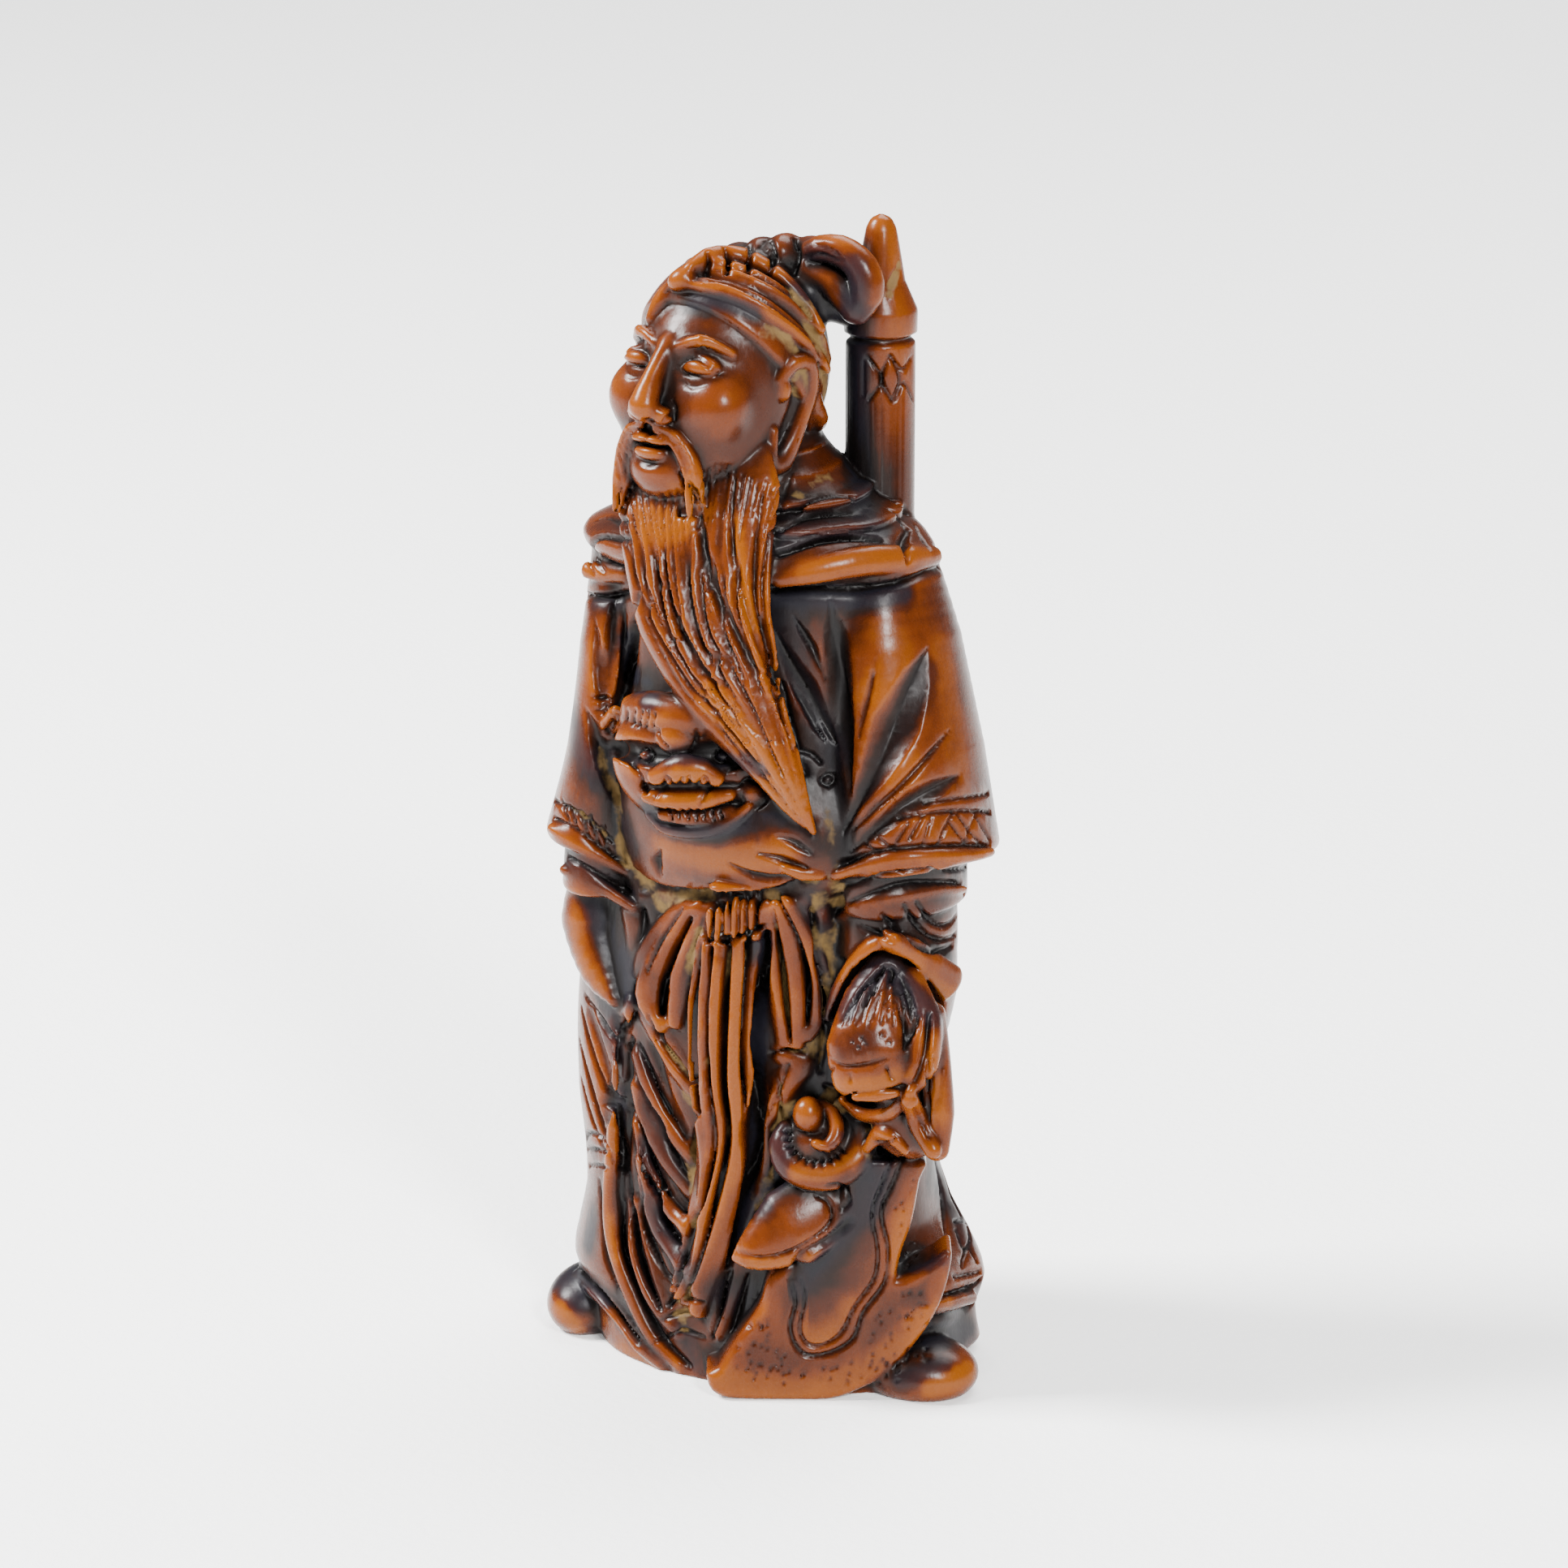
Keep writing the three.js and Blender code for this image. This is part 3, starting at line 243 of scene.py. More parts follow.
HAND_CUTS = [
    ([(6.2, 21.5), (5.0, 20.1), (4.1, 18.5)], 0.3, [0.2, 0.32, 0.14]),
    ([(6.3, 21.5), (5.2, 20.2), (4.5, 18.6)], 0.3, [0.2, 0.32, 0.14]),
    ([(6.4, 21.6), (5.5, 20.1), (5.0, 18.5)], 0.3, [0.2, 0.32, 0.14]),
    ([(6.5, 21.7), (5.8, 20.3), (5.3, 18.7)], 0.3, [0.2, 0.32, 0.14]),
    ([(6.5, 21.7), (6.0, 20.2), (5.7, 18.5)], 0.3, [0.2, 0.32, 0.14]),
    ([(6.6, 21.8), (6.3, 20.4), (6.0, 18.8)], 0.3, [0.2, 0.32, 0.14]),
    ([(6.8, 21.8), (6.6, 20.3), (6.4, 18.6)], 0.3, [0.2, 0.32, 0.14]),
    ([(6.9, 21.7), (6.8, 20.3), (6.8, 18.7)], 0.3, [0.2, 0.32, 0.14]),
    ([(7.0, 21.7), (7.1, 20.2), (7.1, 18.5)], 0.3, [0.2, 0.32, 0.14]),
    ([(7.0, 21.6), (7.3, 20.2), (7.5, 18.5)], 0.3, [0.2, 0.32, 0.14]),
    ([(7.1, 21.5), (7.6, 19.9), (7.8, 18.1)], 0.3, [0.2, 0.32, 0.14]),
    ([(7.2, 21.5), (7.9, 19.8), (8.2, 18.0)], 0.3, [0.2, 0.32, 0.14]),
    ([(7.4, 21.4), (8.1, 19.9), (8.5, 18.2)], 0.3, [0.2, 0.32, 0.14]),
    ([(7.5, 19.2), (7.8, 18.2), (7.7, 17.2)], [0.3, 0.6, 0.3], [0.2, 0.5, 0.2]),
    ([(8.5, 19.0), (8.1, 18.1), (7.7, 17.2)], [0.3, 0.5, 0.3], [0.2, 0.4, 0.2]),
    ([(9.1, 19.1), (8.9, 17.3), (8.5, 15.7), (7.9, 14.7)], 0.5, [0.3, 0.5, 0.5, 0.3]),
    ([(9.4, 16.8), (9.2, 14.8)], 0.25, 0.15),
    ([(9.0, 18.5), (9.0, 16.4), (9.0, 14.1), (9.1, 11.7)], 0.4, [0.2, 0.35, 0.35, 0.2]),
    ([(3.7, 16.1), (3.5, 15.3)], 0.25, 0.2),
    ([(9.9, 16.4), (9.6, 14.1)], 0.25, 0.15),
    ([(3.5, 16.7), (4.2, 16.2), (5.5, 16.3), (6.6, 16.6)], 0.4, [0.1, 0.3, 0.3, 0.1]),
    ([(3.3, 15.1), (4.5, 14.6), (6.3, 14.7), (7.7, 15.0)], 0.5, [0.3, 0.5, 0.5, 0.3]),
    ([(4.6, 15.8), (4.7, 15.3)], 0.25, 0.2),
    ([(6.7, 16.2), (7.0, 15.5)], 0.25, 0.25),
    ([(4.8, 17.6), (4.8, 17.5)], 0.3, 0.2),
    ([(5.1, 17.3), (5.2, 17.2)], 0.3, 0.2),
    ([(5.5, 17.5), (5.6, 17.4)], 0.3, 0.2),
    ([(5.3, 17.8), (5.4, 17.7)], 0.3, 0.2),
    ([(6.4, 18.0), (6.5, 17.9)], 0.28, 0.18),
    ([(6.8, 17.5), (6.9, 17.5)], 0.28, 0.18),
]

SHAFT_RINGS = [58.5, 57.6, 54.8, 54.3, 53.4]
SHAFT_CUTS = [
    ([(6.9, 56.0), (6.4, 54.7), (7.0, 53.5)], 0.35, [0.2, 0.35, 0.2]),
    ([(6.9, 56.0), (7.5, 54.7), (7.0, 53.5)], 0.35, [0.2, 0.35, 0.2]),
    ([(5.6, 55.9), (6.4, 54.7), (5.7, 53.5)], 0.3, [0.2, 0.3, 0.2]),
    ([(7.0, 55.9), (7.6, 55.2), (8.1, 55.9)], 0.3, [0.15, 0.3, 0.15]),
    ([(7.2, 53.5), (7.7, 54.5), (8.2, 53.5)], 0.3, [0.15, 0.3, 0.15]),
    ([(5.4, 55.7), (5.4, 53.7)], 0.3, 0.15),
    ([(7.4, 61.1), (7.0, 60.2), (6.8, 59.3)], [0.3, 0.6, 0.3], [0.1, 0.2, 0.1]),
]

BLADE_AT = (3.1, -6.95, 0)
BLADE_OUTLINE = [
    (-3.3, 1.5), (-3.0, 0.5), (-1.9, 0.0), (1.2, -0.1), (3.6, -0.05), (5.2, 0.5), (7.0, 1.6), (8.9, 4.0),
    (10.0, 6.3), (10.4, 8.8), (9.3, 8.2), (8.2, 7.6), (7.4, 7.3), (7.6, 8.7), (8.2, 10.6), (8.6, 13),
    (8.8, 14.2), (5.2, 14.2), (4.0, 11.5), (2.5, 9.2), (0.4, 7.4), (-0.3, 5.6), (-1.5, 3.7), (-2.6, 1.9),
]
# The spur's middle line: across, up and how far in front.
SPUR_LINE = [(4.6, 9.4, 1.2), (3.4, 8.6, 1.8), (1.4, 7.2, 2.3), (-0.6, 5.9, 2.3), (-1.7, 5.5, 2.1)]
SPUR_CUTS = [
    ([(-1.7, 5.8), (-0.5, 5.5), (0.9, 5.7), (2.5, 6.5), (3.6, 7.5), (3.5, 8.5), (2.8, 9.0)], 0.35,
     [0.15, 0.28, 0.3, 0.3, 0.3, 0.28, 0.2]),
    ([(3.4, 9.5), (4.2, 9.5), (4.6, 8.6), (4.2, 8.2)], 0.4, [0.2, 0.35, 0.35, 0.2]),
]
BLADE_CUTS = [
    ([(7.6, 11.1), (7.0, 9.5), (6.4, 8.0), (6.8, 5.9), (6.6, 4.1), (5.4, 2.4), (4.8, 0.9), (3.4, 0.1),
      (2.0, 0.1), (1.3, 1.4), (1.6, 3.0), (1.3, 4.3)], 0.4, [0.2] + [0.32] * 10 + [0.2]),
    ([(7.0, 11.1), (6.4, 9.5), (5.9, 7.9), (6.2, 5.9), (6.0, 4.3), (4.9, 2.7), (4.2, 1.3), (3.2, 0.6),
      (2.3, 0.6), (1.8, 1.5), (2.1, 3.2), (1.9, 4.3)], 0.34, [0.15] + [0.28] * 10 + [0.15]),
    ([(1.5, 4.5), (2.0, 5.7), (3.4, 6.4), (4.6, 7.5)], 0.9, [0.2, 0.45, 0.4, 0.2]),
]
# The fields of pits on the blade: least and most (across, up), and how many.
BLADE_PITS = [
    ((-1.8, -1.4), (1.1, 2.0), 34),
    ((0.7, -1.9), (7.5, 0.2), 40),
    ((5.7, -0.5), (9.3, 3.6), 42),
    ((7.0, 3.6), (8.4, 10.5), 26),
]

MANE_MIDDLE = (2.8, 12.3)
DRAGON_KNOBS = [
    ((2.3, 13.5), (0.85, 0.9, 1.05), 0.35),
]
DRAGON_BARS = [
    ([(1.0, 12.8), (0.9, 11.9), (1.3, 10.8), (2.5, 10.2), (3.9, 10.3), (5.0, 11.1), (5.3, 12.4),
      (5.0, 13.5), (4.1, 14.1)],
     [0.4, 0.85, 0.95, 0.95, 0.95, 0.95, 0.9, 0.75, 0.4], [0.5, 0.8, 0.9, 0.9, 0.9, 0.9, 0.8, 0.7, 0.4],
     0.2),
    ([(3.0, 14.1), (3.7, 13.5), (3.9, 12.5), (3.4, 11.7), (2.7, 11.9)],
     [0.3, 0.42, 0.45, 0.42, 0.25], 0.5, 0.25),
    ([(4.3, 14.3), (5.4, 13.5), (6.9, 13.6), (8.1, 14.9)], [0.3, 0.42, 0.42, 0.3], 0.5, 0.2),
    ([(5.0, 14.5), (6.1, 14.6), (7.2, 14.7)], [0.25, 0.4, 0.25], 0.4, 0.1),
    ([(5.7, 11.7), (6.4, 12.5), (7.2, 12.1), (7.7, 11.5)], [0.3, 0.5, 0.45, 0.25], 0.45, 0.15),
    ([(8.0, 14.3), (8.6, 12.8), (9.3, 11.5)], [0.5, 0.6, 0.5], 0.5, 0.15),
]
DRAGON_CUTS = [
    ([(1.8, 12.6), (2.4, 12.3), (3.0, 12.5)], 0.35, [0.2, 0.35, 0.2]),
    ([(5.2, 14.1), (6.0, 14.0), (7.0, 14.2)], 0.5, [0.2, 0.45, 0.2]),
    ([(8.3, 13.8), (9.1, 12.2)], 0.3, [0.2, 0.25]),
    ([(6.0, 11.1), (7.0, 11.1), (7.9, 11.0)], 0.5, [0.2, 0.4, 0.2]),
    ([(6.1, 11.9), (7.0, 12.0)], 0.3, 0.25),
]

HEM_ROLLS = [
    ([(-10.3, 4.6), (-9.8, 4.0), (-9.0, 3.3), (-8.0, 2.2), (-7.0, 0.7), (-5.9, -0.4)],
     [0.5, 0.6, 0.65, 0.6, 0.6, 0.4], 0.55, -0.1),
    ([(9.3, 2.9), (10.3, 3.1), (11.3, 3.3)], [0.4, 0.5, 0.45], 0.5, -0.1),
]

CLASP_HOLLOW = [(-6.0, 36.7), (-4.5, 37.2), (-3.0, 36.5), (-1.5, 35.5)]
CLASP_CHANNELS = [
    ([(-8.7, 34.1), (-7.2, 33.7), (-5.7, 33.6), (-4.3, 33.7), (-2.8, 33.7), (-1.2, 33.5), (-0.2, 33.0)],
     [0.4, 0.75, 0.65, 0.6, 0.75, 0.7, 0.4], 0.7, 0.1),
    ([(-7.0, 31.8), (-5.7, 31.8), (-3.9, 31.8), (-1.8, 31.9)], [0.25, 0.3, 0.3, 0.25], 0.4, 0.1),
    ([(-6.0, 30.6), (-4.5, 30.6), (-3.2, 30.6), (-1.6, 30.9)], [0.25, 0.3, 0.3, 0.25], 0.4, 0.1),
]
CLASP_ROLLS = [
    ([(-8.8, 35.4), (-8.0, 35.9), (-6.8, 36.2), (-5.3, 35.9), (-3.8, 35.6), (-2.3, 34.9)],
     [0.6, 0.95, 1.1, 1.05, 0.95, 0.6], [0.6, 0.8, 0.9, 0.9, 0.8, 0.6], 0.0),
    ([(-6.3, 32.4), (-5.5, 32.7), (-4.5, 32.9), (-3.6, 32.7), (-2.8, 32.3)],
     [0.45, 0.75, 0.85, 0.75, 0.45], [0.4, 0.6, 0.7, 0.6, 0.4], 0.15),
    ([(-6.7, 31.3), (-5.5, 31.1), (-3.8, 31.1), (-2.1, 31.4)], [0.35, 0.55, 0.55, 0.35], 0.4, 0.1),
    ([(-6.6, 30.3), (-5.7, 29.6), (-4.4, 29.4), (-3.0, 29.5), (-1.8, 30.1), (-1.0, 30.8)],
     [0.25, 0.4, 0.45, 0.45, 0.4, 0.25], 0.4, 0.05),
    ([(-5.8, 30.3), (-4.5, 30.2), (-3.1, 30.2), (-2.0, 30.5)], [0.35, 0.5, 0.5, 0.35], 0.35, 0.0),
]
CLASP_KNOBS = [
    ((-5.0, 34.7), (1.2, 1.0, 1.05), -0.5),
    ((-6.7, 33.6), (0.42, 0.4, 0.36), 0.0),
    ((-2.5, 33.6), (0.42, 0.4, 0.36), 0.0),
    ((-0.8, 31.5), (0.55, 0.45, 0.55), 0.0),
]
CLASP_CUTS = [
    ([(-7.9, 35.5), (-7.8, 36.1)], 0.22, 0.25),
    ([(-7.5, 35.3), (-7.4, 36.1)], 0.22, 0.25),
    ([(-7.2, 35.2), (-7.0, 36.1)], 0.22, 0.25),
    ([(-6.8, 35.2), (-6.6, 36.1)], 0.22, 0.25),
    ([(-6.4, 35.2), (-6.3, 36.0)], 0.22, 0.25),
    ([(-3.6, 34.6), (-3.3, 35.4)], 0.22, 0.25),
    ([(-3.1, 34.5), (-2.9, 35.2)], 0.22, 0.25),
    ([(-2.7, 34.4), (-2.5, 35.0)], 0.22, 0.25),
    ([(-6.1, 35.0), (-6.0, 34.5), (-5.6, 34.1)], 0.3, 0.25),
    ([(-4.0, 35.0), (-3.9, 34.5), (-4.2, 34.0)], 0.3, 0.25),
    ([(-5.8, 31.8), (-5.6, 32.4), (-5.1, 31.9), (-4.7, 32.3)], 0.3, 0.3),
    ([(-4.4, 32.3), (-4.0, 31.9), (-3.5, 32.4), (-3.2, 31.8)], 0.3, 0.3),
    ([(-1.5, 31.9), (-1.0, 32.3), (-0.2, 31.9), (0.0, 31.2), (-0.5, 30.7)], 0.35, 0.35),
    ([(-6.7, 34.0), (-6.3, 33.6), (-6.7, 33.2), (-7.2, 33.6), (-6.7, 34.0)], 0.2, 0.22),
    ([(-2.5, 34.0), (-2.1, 33.6), (-2.5, 33.2), (-3.0, 33.6), (-2.5, 34.0)], 0.2, 0.22),
    ([(-2.2, 32.8), (-1.3, 33.0), (-0.4, 32.6)], 0.3, 0.25),
    ([(-7.6, 33.2), (-7.0, 32.3), (-6.9, 31.5)], 0.35, 0.3),
    ([(-5.0, 30.5), (-4.9, 30.0)], 0.24, 0.3),
    ([(-4.5, 30.5), (-4.4, 30.0)], 0.24, 0.3),
    ([(-4.0, 30.5), (-4.0, 30.0)], 0.24, 0.3),
    ([(-3.6, 30.5), (-3.5, 30.0)], 0.24, 0.3),
    ([(-3.1, 30.5), (-3.0, 30.0)], 0.24, 0.3),
    ([(-2.7, 30.5), (-2.5, 30.1)], 0.24, 0.3),
    ([(-5.4, 30.5), (-5.3, 30.0)], 0.24, 0.3),
]

KNOT_LINE = [(-1.7, 26.0), (-1.7, 24.6), (-1.7, 23.6)]
APRON_LINE = [(-1.9, 24.1), (-2.1, 16.8), (-2.3, 10.9), (-3.2, 7.3), (-4.5, 3.4)]
SASH_BARS = [
    ([(-4.2, 25.6), (-5.6, 24.1), (-6.8, 22.3), (-7.1, 21.4)],
     [0.36, 0.6, 0.6, 0.36], [0.3, 0.45, 0.45, 0.3], 0.1),
    ([(-3.8, 25.4), (-5.0, 23.6), (-6.2, 21.4), (-6.5, 19.8), (-5.9, 18.5)],
     [0.48, 0.84, 0.96, 0.9, 0.48], [0.4, 0.6, 0.65, 0.6, 0.4], 0.2),
    ([(-3.1, 25.1), (-4.0, 23.1), (-4.7, 20.8), (-5.1, 18.7)],
     [0.48, 0.78, 0.9, 0.48], [0.4, 0.6, 0.65, 0.4], 0.2),
    ([(0.0, 25.5), (0.2, 23.2), (0.6, 20.2), (1.0, 17.5)],
     [0.42, 0.6, 0.66, 0.48], [0.4, 0.6, 0.6, 0.4], 0.2),
    ([(0.4, 25.4), (1.3, 22.8), (1.8, 20.2), (1.6, 17.5)],
     [0.42, 0.6, 0.66, 0.48], [0.4, 0.6, 0.6, 0.4], 0.25),
    ([(0.9, 25.7), (2.0, 23.6), (2.8, 21.4), (3.0, 19.5), (2.3, 18.0)],
     [0.42, 0.66, 0.72, 0.72, 0.42], [0.4, 0.6, 0.65, 0.6, 0.4], 0.2),
    ([(0.7, 16.9), (1.9, 16.6), (0.9, 15.0), (0.0, 13.0)], [0.6, 0.84, 0.72, 0.3], [0.4, 0.5, 0.5, 0.3], 0.1),
]
# The pleats that hang in the middle, below the knot.
PLEAT_BARS = [
    ([(-3.5, 23.2), (-3.9, 19.1), (-3.8, 15.0), (-3.3, 11.4), (-3.6, 7.7)],
     [0.4, 0.57, 0.57, 0.57, 0.34], 0.5, 0.0),
    ([(-2.7, 23.0), (-3.0, 19.1), (-3.0, 15.0), (-2.8, 11.4), (-3.2, 7.7), (-4.0, 4.1)],
     [0.46, 0.57, 0.63, 0.63, 0.69, 0.46], 0.55, 0.1),
    ([(-1.6, 23.2), (-1.7, 19.5), (-1.9, 16.4), (-1.7, 13.6), (-2.0, 10.0), (-2.9, 5.9), (-3.8, 2.7)],
     [0.52, 0.8, 0.75, 0.8, 0.92, 0.92, 0.57], 0.65, 0.2),
    ([(-0.6, 23.6), (-0.8, 19.5), (-0.9, 16.4), (-1.0, 14.1)], [0.4, 0.57, 0.52, 0.29], 0.55, 0.1),
]
FOLD_BARS = [
    ([(-7.0, 19.5), (-6.0, 18.1), (-4.9, 16.3), (-4.0, 14.8)], [0.34, 0.61, 0.68, 0.41], 0.4, -0.1),
    ([(-7.2, 16.8), (-6.4, 15.0), (-5.2, 12.7), (-4.2, 11.2)], [0.34, 0.68, 0.68, 0.41], 0.4, -0.1),
    ([(-7.3, 15.1), (-6.6, 13.3), (-5.4, 11.0), (-4.3, 9.3)], [0.34, 0.68, 0.68, 0.41], 0.4, -0.1),
    ([(-7.2, 13.0), (-6.5, 11.0), (-5.4, 8.6), (-4.5, 7.2)], [0.34, 0.68, 0.74, 0.41], 0.45, -0.1),
    ([(-7.0, 10.9), (-6.3, 8.5), (-5.4, 6.4), (-4.7, 5.0)], [0.34, 0.68, 0.74, 0.41], 0.45, -0.1),
    ([(-7.3, 8.6), (-7.0, 5.9), (-6.0, 3.2), (-5.0, 1.4)], [0.41, 0.74, 0.81, 0.41], 0.45, -0.1),
    ([(0.0, 12.7), (-0.4, 10.0), (-0.9, 7.7), (-1.7, 5.0), (-2.6, 1.4)],
     [0.41, 0.81, 0.94, 0.94, 0.54], 0.5, -0.1),
    ([(1.0, 15.5), (1.4, 13.6), (0.9, 11.4), (0.0, 9.1)], [0.41, 0.68, 0.68, 0.41], 0.45, -0.1),
    ([(3.0, 25.0), (3.8, 22.7), (4.0, 20.0)], [0.41, 0.81, 0.41], 0.5, -0.1),
    ([(2.0, 25.5), (2.7, 23.2), (3.0, 21.4)], [0.41, 0.61, 0.41], 0.4, -0.1),
    ([(-7.7, 25.0), (-7.0, 23.2), (-7.0, 21.4)], [0.41, 0.68, 0.41], 0.4, -0.1),
    ([(-6.6, 25.7), (-6.0, 24.5), (-6.3, 23.0)], [0.41, 0.61, 0.41], 0.4, -0.1),
]
SASH_CUTS = [
    ([(-3.0, 25.8), (-3.1, 23.4)], 0.32, 0.32),
    ([(-2.5, 25.8), (-2.6, 23.3)], 0.32, 0.35),
    ([(-2.1, 25.8), (-2.2, 23.3)], 0.32, 0.35),
    ([(-1.6, 25.8), (-1.7, 23.4)], 0.32, 0.35),
    ([(-1.2, 25.9), (-1.2, 23.5)], 0.32, 0.35),
    ([(-0.7, 25.9), (-0.6, 23.8)], 0.32, 0.3),
    ([(-3.5, 23.2), (-2.5, 23.3), (-1.3, 23.5), (-0.1, 24.1)], 0.4, [0.2, 0.35, 0.35, 0.2]),
    ([(-4.3, 24.5), (-5.2, 22.5), (-5.7, 20.7), (-5.9, 19.2)], [0.35, 0.7, 0.8, 0.5], [0.3, 0.6, 0.65, 0.4]),
    ([(-4.8, 25.0), (-6.0, 23.2), (-6.7, 21.5)], [0.3, 0.4, 0.3], [0.2, 0.35, 0.2]),
    ([(-3.5, 24.5), (-4.3, 22.6), (-4.7, 21.2)], [0.25, 0.3, 0.2], [0.15, 0.25, 0.1]),
    ([(0.3, 24.9), (0.8, 22.3), (1.1, 19.5), (1.3, 17.5)], [0.3, 0.4, 0.45, 0.3], [0.25, 0.4, 0.45, 0.3]),
    ([(0.8, 25.3), (1.7, 23.2), (2.3, 20.9), (2.3, 18.5)], [0.3, 0.5, 0.6, 0.3], [0.25, 0.45, 0.5, 0.3]),
    ([(0.1, 16.9), (1.0, 17.1), (2.1, 17.0)], 0.4, [0.2, 0.35, 0.2]),
    ([(1.2, 16.3), (0.6, 14.7), (0.0, 13.5)], 0.3, [0.2, 0.3, 0.15]),
]
# The broad hollows of the robe, cut first with a gouge, and then its folds.
ROBE_HOLLOWS = [
    ([(-6.3, 17.3), (-5.6, 14.5), (-4.5, 12.3)], 1.1, [0.2, 0.4, 0.2]),
    ([(-7.0, 13.6), (-6.0, 10.9), (-4.7, 8.6)], 1.3, [0.2, 0.45, 0.2]),
    ([(-6.6, 10.0), (-5.7, 7.3), (-4.9, 5.5)], 1.2, [0.2, 0.45, 0.2]),
    ([(-8.0, 18.6), (-7.7, 14.5), (-7.9, 10.5)], 1.0, [0.3, 0.5, 0.3]),
    ([(-9.9, 19.1), (-9.0, 15.9), (-8.4, 13.2)], 1.2, [0.2, 0.4, 0.2]),
    ([(0.7, 15.0), (1.2, 12.3), (0.5, 10.0)], 1.4, [0.3, 0.5, 0.3]),
    ([(4.1, 25.5), (3.3, 23.2), (3.6, 20.5)], 1.2, [0.4, 0.6, 0.4]),
]
# The long folds of the robe: the pleats in the middle, the deep one beside them, and those that slant away.
ROBE_CUTS = [
    ([(-3.8, 23.2), (-4.2, 20.0), (-4.3, 16.8), (-4.1, 13.2), (-4.0, 10.5)],
     [0.4, 0.7, 0.8, 0.7, 0.4], [0.3, 0.7, 0.8, 0.7, 0.3]),
    ([(-3.1, 22.8), (-3.5, 19.1), (-3.4, 15.5), (-3.0, 11.8), (-3.9, 8.2), (-4.8, 5.0), (-5.5, 2.7)],
     [0.4, 0.55, 0.55, 0.55, 0.7, 0.6, 0.4], [0.3, 0.5, 0.55, 0.5, 0.55, 0.5, 0.3]),
    ([(-2.1, 22.9), (-2.4, 19.1), (-2.5, 15.5), (-2.2, 12.3), (-2.8, 9.1), (-3.7, 5.9), (-4.6, 3.2)],
     [0.4, 0.7, 0.7, 0.6, 0.7, 0.6, 0.4], [0.3, 0.6, 0.65, 0.5, 0.6, 0.5, 0.3]),
    ([(-1.0, 23.4), (-1.2, 19.5), (-1.3, 16.4), (-1.2, 12.7)], [0.4, 0.5, 0.5, 0.3], [0.3, 0.5, 0.5, 0.2]),
    ([(0.0, 23.6), (-0.3, 19.7), (-0.5, 14.6), (-0.7, 10.9), (-1.1, 9.3), (-1.5, 7.7), (-2.1, 5.0)],
     [0.6, 1.0, 1.1, 1.1, 1.0, 0.9, 0.5], [0.6, 1.1, 1.2, 1.2, 1.1, 0.9, 0.4]),
    ([(-6.7, 19.0), (-5.9, 17.5), (-5.0, 16.4), (-4.2, 15.2)], [0.3, 0.6, 0.6, 0.3], [0.2, 0.45, 0.45, 0.2]),
    ([(-7.2, 17.5), (-6.5, 15.9), (-5.5, 13.9), (-4.4, 12.1)], [0.3, 0.6, 0.7, 0.3], [0.2, 0.5, 0.5, 0.2]),
    ([(-7.4, 15.9), (-6.8, 14.3), (-6.0, 12.8), (-4.9, 10.8), (-4.2, 9.9)],
     [0.3, 0.6, 0.7, 0.6, 0.3], [0.2, 0.5, 0.55, 0.5, 0.2]),
    ([(-7.5, 14.1), (-6.8, 11.8), (-5.7, 9.5), (-4.5, 8.0)], [0.3, 0.6, 0.8, 0.3], [0.2, 0.5, 0.6, 0.2]),
    ([(-7.1, 12.2), (-6.6, 10.0), (-5.7, 7.7), (-4.8, 6.2)], [0.3, 0.6, 0.8, 0.3], [0.2, 0.5, 0.6, 0.2]),
    ([(-7.2, 10.0), (-6.8, 7.3), (-5.9, 5.0), (-5.1, 3.9)], [0.3, 0.6, 0.7, 0.3], [0.2, 0.5, 0.55, 0.2]),
    ([(-7.7, 10.2), (-7.6, 7.7), (-7.0, 5.0), (-6.0, 2.6)], [0.4, 0.8, 0.9, 0.5], [0.3, 0.6, 0.7, 0.4]),
    ([(-8.0, 8.6), (-8.0, 5.9), (-7.1, 3.4), (-5.8, 1.0), (-4.3, -0.6)],
     [0.3, 0.5, 0.6, 0.6, 0.4], [0.3, 0.45, 0.5, 0.5, 0.3]),
    ([(-5.3, 3.0), (-4.4, 3.2), (-3.6, 3.0)], 0.35, [0.2, 0.35, 0.2]),
    ([(-5.9, 2.0), (-4.8, 2.4), (-3.6, 2.0)], 0.4, [0.2, 0.4, 0.2]),
    ([(-5.8, 0.9), (-4.7, 1.4), (-3.5, 1.0)], 0.35, [0.2, 0.35, 0.2]),
    ([(-2.0, 4.7), (-2.5, 3.2), (-3.1, 1.0)], [0.4, 0.7, 0.4], [0.3, 0.6, 0.3]),
    ([(-1.0, 4.5), (-1.5, 2.7), (-2.1, 0.7)], [0.3, 0.6, 0.3], [0.2, 0.5, 0.2]),
    ([(-0.1, 4.1), (-0.7, 2.6), (-1.4, 1.1)], [0.3, 0.5, 0.3], [0.2, 0.4, 0.2]),
    ([(2.5, 25.0), (3.0, 22.3), (3.4, 19.5), (3.0, 15.9)], [0.4, 0.8, 0.8, 0.4], [0.3, 0.6, 0.6, 0.3]),
    ([(0.6, 15.5), (0.8, 12.7), (0.2, 10.0)], [0.3, 0.5, 0.3], [0.2, 0.4, 0.2]),
]

